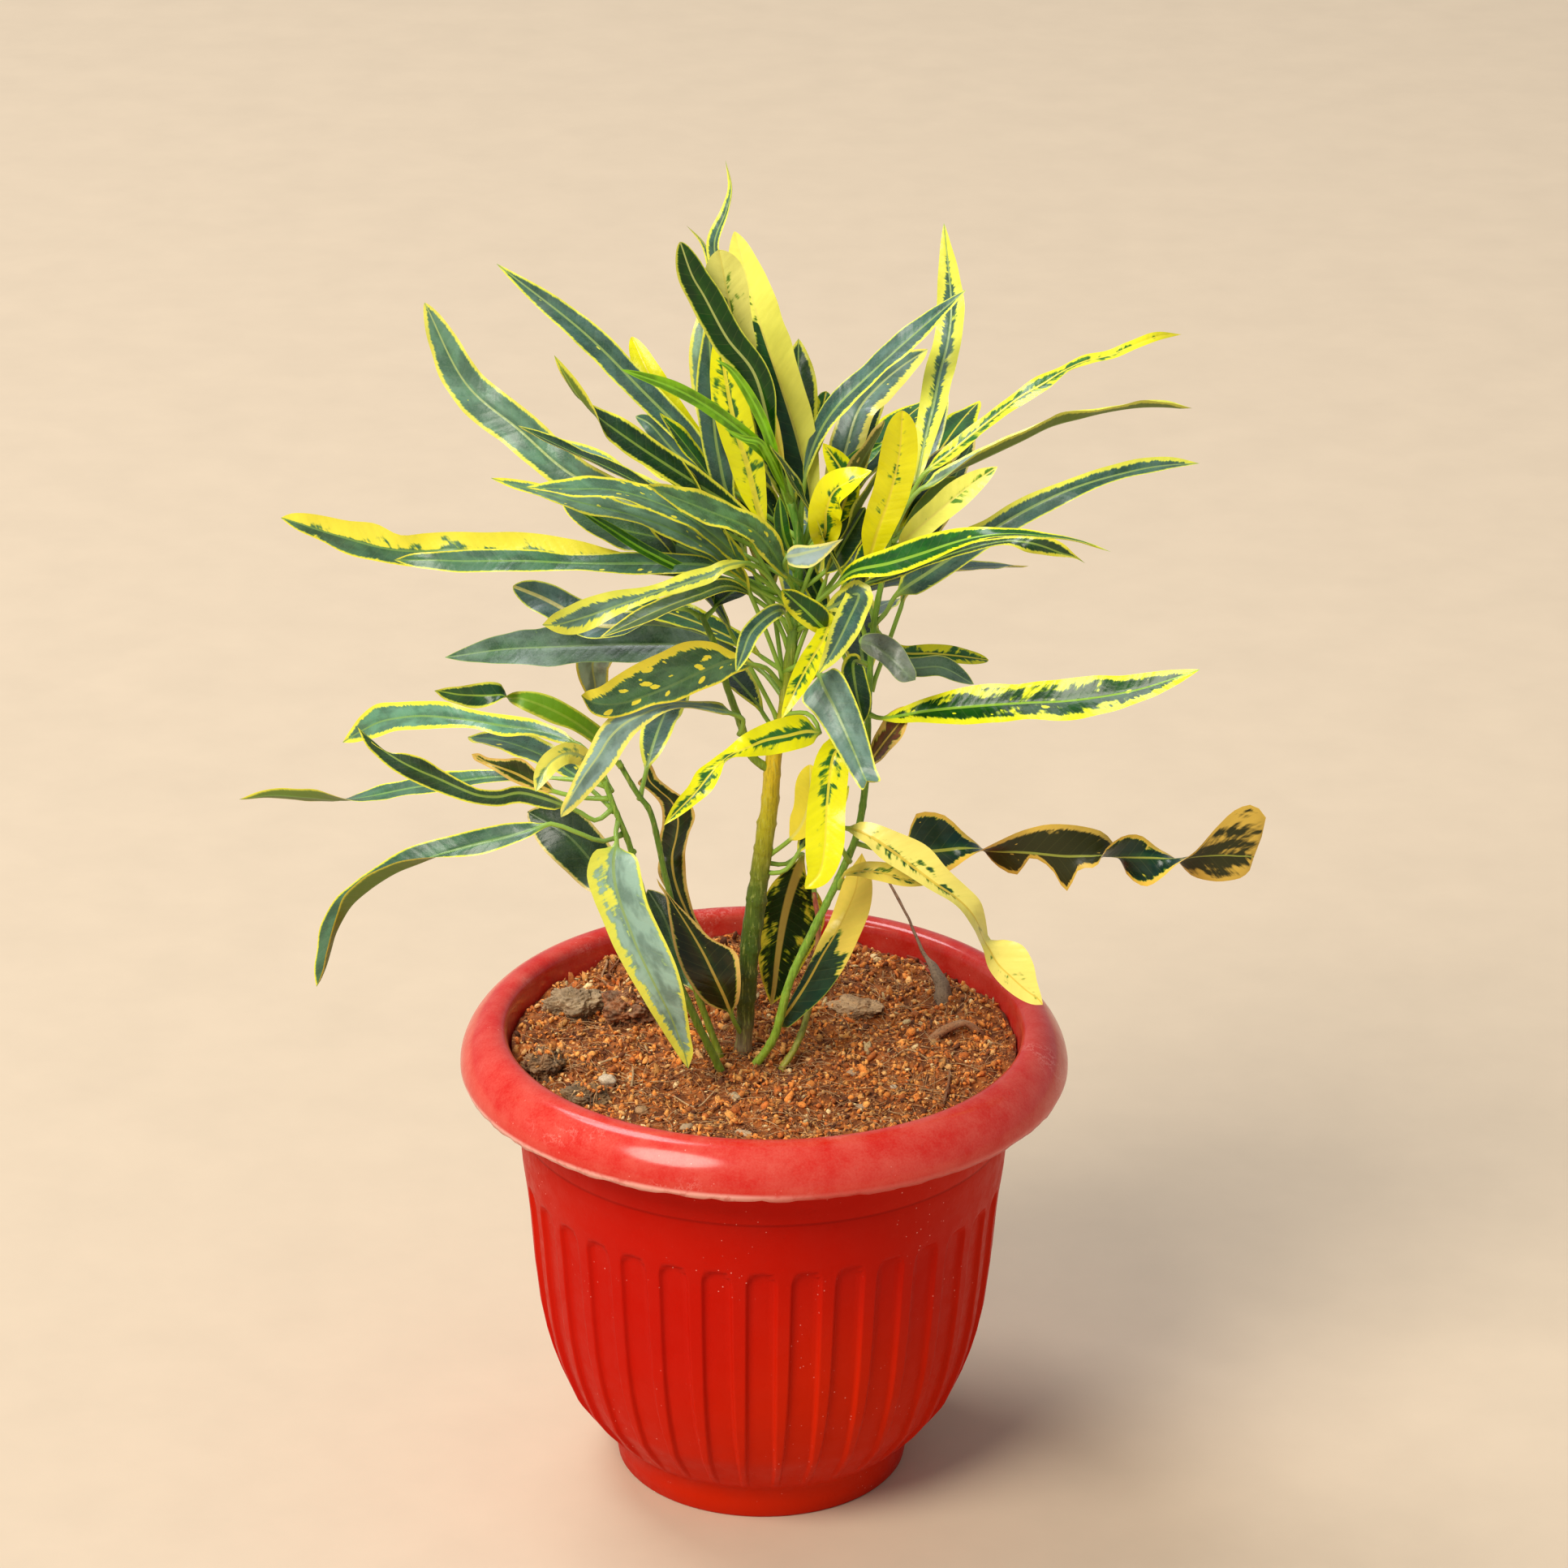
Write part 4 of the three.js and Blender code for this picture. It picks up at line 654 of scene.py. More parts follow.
def scatterCrumbs():
    # twenty-sided crumbs, dented at random, turned at random and pressed into the surface
    draw = np.random.default_rng(compost["seed"])
    count = compost["crumbs"]
    ball, faces = icosphere(1)
    radius = compost["crumbsOut"] * np.sqrt(draw.random(count))
    angle = draw.random(count) * 2 * np.pi
    x, y = radius * np.cos(angle), radius * np.sin(angle)
    size = np.clip(compost["crumbSize"] * np.exp(draw.normal(0, 0.42, count)), *compost["crumbLimits"])
    stretch = np.exp(draw.normal(0, 0.36, (count, 3))) * np.array([1.4, 0.95, 0.62])
    dents = draw.uniform(0.6, 1.2, (count, len(ball), 1))
    local = ball * dents * stretch[:, None] * size[:, None, None]
    local = np.einsum("nij,nkj->nki", randomTurns(draw, count), local)
    z = crumbledHeight(x, y) + clodRise(x, y) + size * draw.uniform(0.1, 1.0, count)
    centre = np.stack([x, y, z], 1)
    palette = np.array([tint(*colour) for colour in compost["colours"]])
    chosen = draw.choice(len(palette), count, p=compost["shares"])
    colour = palette[chosen] * draw.uniform(0.6, 1.35, (count, 1))
    colour = np.hstack([colour, np.ones((count, 1))])
    points = (local + centre[:, None]).reshape(-1, 3)
    triangles = (faces[None] + (np.arange(count) * len(ball))[:, None, None]).reshape(-1, 3)
    return dict(
        points=points, quads=np.zeros((0, 4), int), triangles=triangles,
        values=dict(tone=np.repeat(colour, len(ball), axis=0)))


def tube(line, radii, sides, ridges=0.0):
    # rings about the line, square to it; ridges roughens them by noise that runs along the tube
    points, along = line
    helper = np.where(np.abs(along[:, 1:2]) > 0.9, [[1.0, 0, 0]], [[0, 1.0, 0]])
    across = unit(np.cross(helper, along))
    third = np.cross(along, across)
    angle = np.arange(sides) / sides * 2 * np.pi
    reach = np.linalg.norm(np.diff(points, axis=0), axis=1)
    reach = np.concatenate([[0], np.cumsum(reach)])[:, None] + 0 * angle
    place = np.stack([reach / 5, np.cos(angle) * 1.8 + 0 * reach, np.sin(angle) * 1.8 + 0 * reach], -1)
    swell = 1 + ridges * (softNoise(place, 31) - 0.5)
    radius = (np.asarray(radii)[:, None] * swell)[..., None]
    rings = points[:, None] + radius * (
        across[:, None] * np.cos(angle)[None, :, None] + third[:, None] * np.sin(angle)[None, :, None])
    quads, fans = ringFaces(len(points), sides)
    ends = np.vstack([points[:1] - along[:1] * radii[0] * 0.4, points[-1:] + along[-1:] * radii[-1] * 0.4])
    return dict(points=np.vstack([rings.reshape(-1, 3), ends]), quads=quads, triangles=fans)


def paint(part, colours):
    # one colour for the whole part, or a list run from its first ring to its last
    count = len(part["points"])
    share = np.clip(np.arange(count) / (count - 3), 0, 1)
    palette = np.array([tint(*colour) for colour in colours])
    spread = np.stack([listValue(palette[:, k], share) for k in range(3)] + [np.ones(count)], 1)
    part["values"] = dict(tone=spread)
    return part


def scatterFibres():
    # short curled coir fibres: bent, arched lines a little above the surface, three-sided
    draw = np.random.default_rng(compost["seed"] + 1)
    spread, limit, steps, rings = 100, 101, 7, 8
    share, along = np.linspace(-0.5, 0.5, steps), np.linspace(0, 1, rings)
    parts = []
    for number in range(compost["fibres"]):
        radius, angle = spread * math.sqrt(draw.random()), draw.random() * 2 * math.pi
        heading, long, curl = draw.random() * 2 * math.pi, draw.uniform(5, 20), draw.normal(0, 1.1)
        turned = heading + curl * share
        x = radius * math.cos(angle) + np.cumsum(np.cos(turned)) * long / steps
        y = radius * math.sin(angle) + np.cumsum(np.sin(turned)) * long / steps
        shrink = np.minimum(1, limit / np.maximum(np.hypot(x, y), 1))
        x, y = x * shrink, y * shrink
        z = soilHeight(x, y) + clodRise(x, y) + draw.uniform(0.4, 1.8)
        z += 1.4 * (0.25 - share ** 2) * draw.uniform(0, 3)
        line = smoothLine(np.stack([x, y, z], 1), along)[:2]
        thin = draw.uniform(0.1, 0.26) * (1 - 0.5 * along)
        colour = compost["fibreColours"][number % len(compost["fibreColours"])]
        parts.append(paint(tube(line, thin, 3), [colour]))
    return joinParts(parts)


# strands that show one by one: photo pixels, radius in mm and colour
strands = [
    ([(1165, 1300), (1170, 1330), (1163, 1365)], 0.55, (150, 100, 66)),
    ([(740, 1310), (775, 1305), (780, 1320), (778, 1340)], 0.5, (196, 160, 112)),
    ([(736, 1168), (748, 1190), (742, 1206), (760, 1222)], 0.5, (186, 140, 96)),
    ([(752, 1170), (764, 1184), (752, 1200)], 0.4, (150, 96, 60)),
    ([(1118, 1180), (1132, 1186), (1146, 1202)], 0.6, (168, 60, 34)),
    ([(1048, 1166), (1064, 1170), (1082, 1176)], 0.5, (170, 70, 40)),
    ([(1100, 1306), (1118, 1300), (1140, 1308), (1150, 1322)], 0.35, (200, 156, 104)),
    ([(830, 1352), (858, 1362), (880, 1352)], 0.35, (210, 170, 120)),
]


def onSoil(x, y, lift=0.0):
    # the place where the ray through a pixel meets the compost's level
    ray = fromPhoto([(x, y, 0)])[0] - eye
    place = eye + ray * ((compost["level"] - eye[2]) / ray[2])
    return [place[0], place[1], float(soilHeight(place[0], place[1])) + lift]


def layStrands():
    parts = []
    rings = 22
    for path, radius, colour in strands:
        line = smoothLine([onSoil(x, y, lift=1.2) for x, y in path], np.linspace(0, 1, rings))[:2]
        parts.append(paint(tube(line, np.full(rings, radius), 6, ridges=0.5), [colour]))
    return joinParts(parts)


# small stones: photo pixel, length, depth and height in mm, colour
pebbles = [
    ((749, 1336), (7, 6, 6), (226, 206, 176)),
    ((846, 1392), (6, 4, 3), (190, 160, 122)),
    ((790, 1374), (6, 5, 4), (176, 132, 84)),
    ((905, 1357), (6, 4, 3), (196, 170, 130)),
    ((916, 1396), (8, 4, 3), (210, 176, 136)),
    ((1050, 1330), (5, 4, 3.4), (186, 156, 122)),
    ((1060, 1365), (6, 4, 3), (190, 160, 126)),
    ((928, 1330), (5, 4, 4), (160, 120, 70)),
    ((1102, 1342), (4, 3, 2.4), (196, 176, 146)),
    ((876, 1236), (5, 4, 3), (180, 160, 130)),
    ((1010, 1222), (6, 4, 3), (206, 176, 132)),
]


def lumpMesh(at, size, turn, subdivisions, rough, seed):
    # a ball with two long dents and a ripple, pulled to its size, then roughened by noise
    ball, faces = icosphere(subdivisions)
    half = ball * 0.5
    dents = 0.14 * np.sin(half[:, 0] * 9 + turn) * np.cos(half[:, 1] * 8 - turn)
    swell = 1 + dents + 0.1 * np.sin(half[:, 2] * 11)
    coarse = softNoise(ball * 2.6 + seed, 41) - 0.5
    fine = softNoise(ball * 7 + seed, 42) - 0.5
    finest = softNoise(ball * 16 + seed, 43) - 0.5
    swell += rough * (0.5 * coarse + 0.34 * fine + 0.24 * finest)
    shaped = half * swell[:, None] * np.array(size)
    angle = math.radians(turn)
    x = shaped[:, 0] * math.cos(angle) - shaped[:, 1] * math.sin(angle) + at[0]
    y = shaped[:, 0] * math.sin(angle) + shaped[:, 1] * math.cos(angle) + at[1]
    z = shaped[:, 2] + float(soilHeight(at[0], at[1])) + size[2] * 0.18
    return dict(points=np.stack([x, y, z], 1), quads=np.zeros((0, 4), int), triangles=faces)


def scatterPebbles():
    parts = []
    for number, (at, size, colour) in enumerate(pebbles):
        part = lumpMesh(onSoil(*at)[:2], size, number * 37, 3, 0.5, number * 3.1)
        parts.append(paint(part, [colour]))
    return joinParts(parts)


# dry sticks: centre line in mm, and radii and colours along it
sticks = {
    "dry_twig": dict(
        path=[(78, 38, 186), (74, 48, 200), (67, 62, 207), (60, 74, 219), (52, 83, 231)],
        radius=(3.2, 3.5, 2.4, 0.9, 0.65, 0.6, 0.55, 0.5),
        colours=[(128, 108, 86), (140, 116, 92), (150, 112, 84), (176, 132, 104)]),
    "brown_stick": dict(
        path=[(68, 4, 190.5), (76, 9, 195), (84, 13, 196), (90, 14, 192)], radius=(1.6, 1.8, 1.3),
        colours=[(166, 108, 66), (186, 128, 82)]),
}


def toneMaterial(name, roughness, grainScale, relief, dustAndSheen):
    # stored colour, darker in its pits, with grain and a little dust
    material, tree, shader = newMaterial(name)
    tone = readValues(tree, "tone")[0]
    grain = grainAt(objectPlace(tree), grainScale)["Height"]
    shaded = blend(between(grain, 0.25, 0.6), (60, 34, 20), tone)
    feed(shader, withDustAndSheen(blend(0.55, tone, shaded), roughness, dustAndSheen, 0.12, (204, 176, 140)))
    addBump(shader, grain, relief)
    return material


def earthMaterial():
    # reddish-brown coir: dark and mid-brown noise patches, dark in part as its own colour and in part as
    # painted shade in the gaps between the crumbs, and scattered pale grains
    material, tree, shader = newMaterial("coirCompost")
    place = objectPlace(tree)
    colour = blend(between(noise(place, 0.16, 6, 0.7), 0.35, 0.65), (96, 48, 16), (184, 104, 40))
    pale = between(cells(place, 0.55)["Distance"], 0.25, 0.4, 1, 0)
    pale = pale * between(noise(place, 0.4, 2), 0.5, 0.6)
    feed(shader, {"Base Color": blend(pale, colour, (224, 156, 92)), "Roughness": 0.92})
    addBump(shader, grainAt(place, 0.6)["Height"], 0.9)
    return material


def stoneMaterial(name, light, dark, roughness):
    # two tones in soft patches with dark pits and fine relief
    material, tree, shader = newMaterial(name)
    place = objectPlace(tree)
    colour = blend(between(noise(place, 0.18, 6, 0.65), 0.36, 0.64), dark, light)
    grain = grainAt(place, 0.8)
    colour = blend(grain["Pits"] * 0.6, colour, [value * 0.5 for value in dark])
    feed(shader, withDustAndSheen(colour, roughness, 0.45, 0.2, (196, 164, 128)))
    addBump(shader, grain["Height"], 0.5)
    return material


looseMaterial = toneMaterial("looseCoir", 0.9, 0.9, 0.3, 0.05)
makePiece("compost_bed", makeSoilMesh(), earthMaterial(), ["soil"])
makePiece("compost_crumbs", scatterCrumbs(), looseMaterial)
makePiece("compost_fibres", joinParts([scatterFibres(), layStrands()]), looseMaterial)
makePiece("compost_pebbles", scatterPebbles(), toneMaterial("pebbleStone", 0.8, 1.4, 0.2, 0.3))
for name, lump in lumps.items():
    isStone = name.startswith("stone")
    part = lumpMesh(lump["at"], lump["size"], lump["turn"], 6, 0.7 if isStone else 0.95, lump["turn"] * 0.1)
    finish = stoneMaterial(name + "Surface", *lump["colours"], 0.8 if isStone else 0.95)
    makePiece("fine_" + name, part, finish, [name])
dryMaterial = toneMaterial("dryBark", 0.85, 0.9, 0.5, 0.3)
for name, stick in sticks.items():
    line = smoothLine(stick["path"], np.linspace(0, 1, 60))[:2]
    radii = listValue(stick["radius"], np.linspace(0, 1, 60))
    part = paint(tube(line, radii, 14, ridges=0.8), stick["colours"])
    makePiece("fine_" + name, part, dryMaterial, [name])
print("the compost, stones and sticks are laid")


# each stem's branches: centre line from the compost up, and radii and colours on the way
stems = {
    "main_stem": [dict(
        path=[(915, 1305, 15), (919, 1240, 14), (925, 1160, 12), (936, 1080, 10), (947, 1000, 8),
            (955, 925, 6), (966, 880, 5), (972, 820, 4), (980, 760, 4), (984, 700, 4), (983, 655, 4),
            (975, 620, 4)],
        radius=(3.4, 3.9, 4.1, 3.9, 3.5, 2.8, 2.2, 1.8, 1.5),
        colours=[(184, 150, 122), (84, 96, 24), (66, 94, 12), (90, 112, 12), (190, 180, 14),
            (224, 190, 14), (160, 168, 30), (104, 142, 46), (96, 146, 48), (104, 156, 52)]), dict(
        path=[(951, 950, 6), (925, 930, 9), (912, 890, 11), (897, 850, 11), (883, 800, 10),
            (864, 757, 8)],
        radius=(1.8, 1.2), isFork=True, colours=[(138, 166, 48), (108, 148, 44)])],
    "right_stem": [dict(
        path=[(925, 1320, 26), (953, 1279, 27), (974, 1207, 27), (1005, 1140, 26), (1032, 1085, 24),
            (1055, 1030, 20), (1066, 970, 17), (1070, 870, 14), (1076, 775, 13), (1090, 700, 12),
            (1104, 635, 12)],
        radius=(1.8, 1.1),
        colours=[(152, 184, 50), (130, 172, 48), (112, 158, 44), (122, 168, 48), (130, 172, 52)])],
    "left_shoot": [dict(
        path=[(892, 1327, 32), (861, 1264, 34), (826, 1187, 35), (800, 1126, 35), (775, 1040, 34),
            (757, 995, 33), (745, 962, 31)],
        radius=(1.7, 1.1), colours=[(130, 160, 44), (118, 158, 44), (136, 178, 54)])],
    "left_twig": [dict(
        path=[(890, 1308, 19), (866, 1243, 18), (840, 1160, 16), (820, 1080, 13), (800, 998, 10),
            (786, 979, 9), (762, 938, 8)],
        radius=(1.5, 1.1), colours=[(158, 178, 50), (120, 160, 44), (110, 150, 44)])],
    "low_shoot": [dict(
        path=[(963, 1317, 26), (980, 1290, 21), (994, 1253, 14), (1004, 1200, 6), (1008, 1140, 0),
            (1003, 1100, -3)],
        radius=(1.5, 0.9), colours=[(172, 164, 48), (140, 150, 48), (150, 110, 60), (196, 92, 74)])]}
stemShape = dict(rootedDepth=30, scarSpacing=11, scarSwell=0.13, ringSpacing=1.6, sides=14, ridges=0.22)


def makeStem(stem):
    # a ridged tube with a slight swelling, a leaf scar, every few millimetres
    path = fromPhoto(stem["path"])
    _, _, length = smoothLine(path, [0, 1])
    share = np.linspace(0, 1, max(12, int(length / stemShape["ringSpacing"])))
    points, along, _ = smoothLine(path, share)
    radii = listValue(stem["radius"], share)
    fromScar = np.abs((share * length / stemShape["scarSpacing"]) % 1 - 0.5)
    radii *= 1 + stemShape["scarSwell"] * smoothStep(0.14, 0, fromScar)
    if not stem.get("isFork"):
        depth = points[0, 2] - (compost["level"] - stemShape["rootedDepth"])
        down = np.array([[0, 0, depth], [0, 0, depth * 0.5], [0, 0, depth * 0.1]])
        points = np.vstack([points[0] - down, points])
        along = np.vstack([[[0, 0, 1]] * 3, along])
        radii = np.concatenate([[radii[0] * 0.85, radii[0], radii[0]], radii])
    part = tube((points, along), radii, stemShape["sides"], stemShape["ridges"])
    return paint(part, stem["colours"])


def stemMaterial():
    # green to woody bark: stored colour, long pale and dark streaks, small corky dots
    material, tree, shader = newMaterial("stemBark")
    place = objectPlace(tree)
    tone = readValues(tree, "tone")[0]
    streaks = noise(scaled(place, (1, 1, 0.14)), 0.9, 5, 0.6)
    colour = blend(between(streaks, 0.35, 0.5), blend(0.3, tone, (30, 44, 14)), tone)
    colour = blend(between(streaks, 0.54, 0.66, 0, 0.45), colour, (196, 200, 96))
    corks = cells(place, 0.55)["Distance"]
    colour = blend(between(corks, 0.08, 0.16, 0.35, 0), colour, (196, 186, 130))
    feed(shader, {"Base Color": colour, "Roughness": 0.45})
    addBump(shader, streaks - corks * 0.3, 0.5)
    return material


barkMaterial = stemMaterial()
for name, branches in stems.items():
    part = joinParts([makeStem(stem) for stem in branches])
    makePiece("bark_" + name, part, barkMaterial, [name])
print("the stems stand")


# each kind of leaf: the colours of its body, of its pale margin and spots, underside and midrib, and
# how much dusting and painted sheen it takes. The paler blue-grey and whitish bodies are in part a
# painted sheen, the sky's bluish gloss on the leaf.
lookFields = ("body", "trim", "back", "rib", "dustAndSheen")
looks = dict(
    dark=((8, 54, 4), (240, 232, 66), (96, 118, 30), (140, 168, 60), 0.25),
    glossy=((6, 66, 2), (224, 222, 80), (92, 112, 34), (190, 200, 110), 0.1),
    grey=((62, 100, 88), (240, 238, 84), (104, 124, 40), (150, 176, 92), 0.6),
    dustySheen=((80, 112, 80), (220, 214, 110), (110, 124, 50), (130, 160, 96), 0.9),
    teal=((70, 114, 80), (248, 236, 66), (96, 120, 34), (120, 160, 74), 0.45),
    pale=((100, 142, 112), (244, 236, 96), (130, 146, 60), (176, 194, 110), 0.7),
    blue=((98, 128, 116), (246, 230, 104), (104, 120, 50), (186, 196, 120), 0.7),
    white=((170, 190, 194), (236, 226, 130), (130, 146, 84), (190, 200, 140), 1),
    plum=((50, 82, 44), (246, 224, 60), (92, 104, 36), (104, 136, 50), 0.4),
    satin=((112, 116, 100), (200, 190, 120), (100, 108, 60), (110, 126, 90), 0.8),
    charcoal=((46, 70, 40), (240, 214, 130), (88, 98, 40), (104, 130, 70), 0.3),
    bright=((14, 98, 2), (240, 238, 30), (112, 150, 34), (150, 196, 54), 0.15),
    young=((140, 202, 14), (160, 216, 40), (130, 190, 40), (150, 210, 50), 0.05),
    lime=((24, 70, 28), (216, 214, 70), (104, 150, 14), (140, 170, 50), 0.2),
    olive=((70, 96, 32), (244, 226, 70), (98, 130, 16), (160, 170, 64), 0.4),
    yellow=((40, 104, 26), (244, 240, 10), (212, 196, 54), (244, 228, 60), 0.15),
    cream=((90, 140, 40), (250, 246, 108), (216, 208, 90), (244, 234, 110), 0.1),
    ochre=((28, 66, 40), (250, 224, 92), (176, 140, 50), (232, 200, 70), 0.2),
    brown=((48, 46, 16), (240, 196, 104), (112, 78, 30), (224, 190, 80), 0.15),
    umber=((16, 52, 40), (238, 200, 110), (50, 42, 14), (170, 176, 70), 0.2))
leafShape = dict(
    stalkRadius=0.95, stalkRows=7, bladeRows=56, thick=0.5, ribHeight=0.75, ribGroove=0.25,
    leastHalf=0.12, longWave=7, shortWave=15, depthSpread=0.7, uneven=0.05, stalkColour=(152, 188, 70),
    mostInPiece=22)

# What a leaf has where its own record says nothing: its stem and look; its bare stalk and edge waves
# in mm; how far its halves fold up, in degrees; blunt 0 for a sharp tip to 1 for a round one; how far
# its face is turned from the viewer about the midrib, from base to tip; the width in mm of its pale
# margin and coloured midrib; how golden it is from base to tip, one row or left and right; and how
# spotted it is.
usualLeaf = dict(
    on="main_stem", look="grey", stalk=8, fold=6, wave=0.3, blunt=0.2, turn=[0], margin=0, ribWide=0.75,
    gold=[[0]], spots=0)

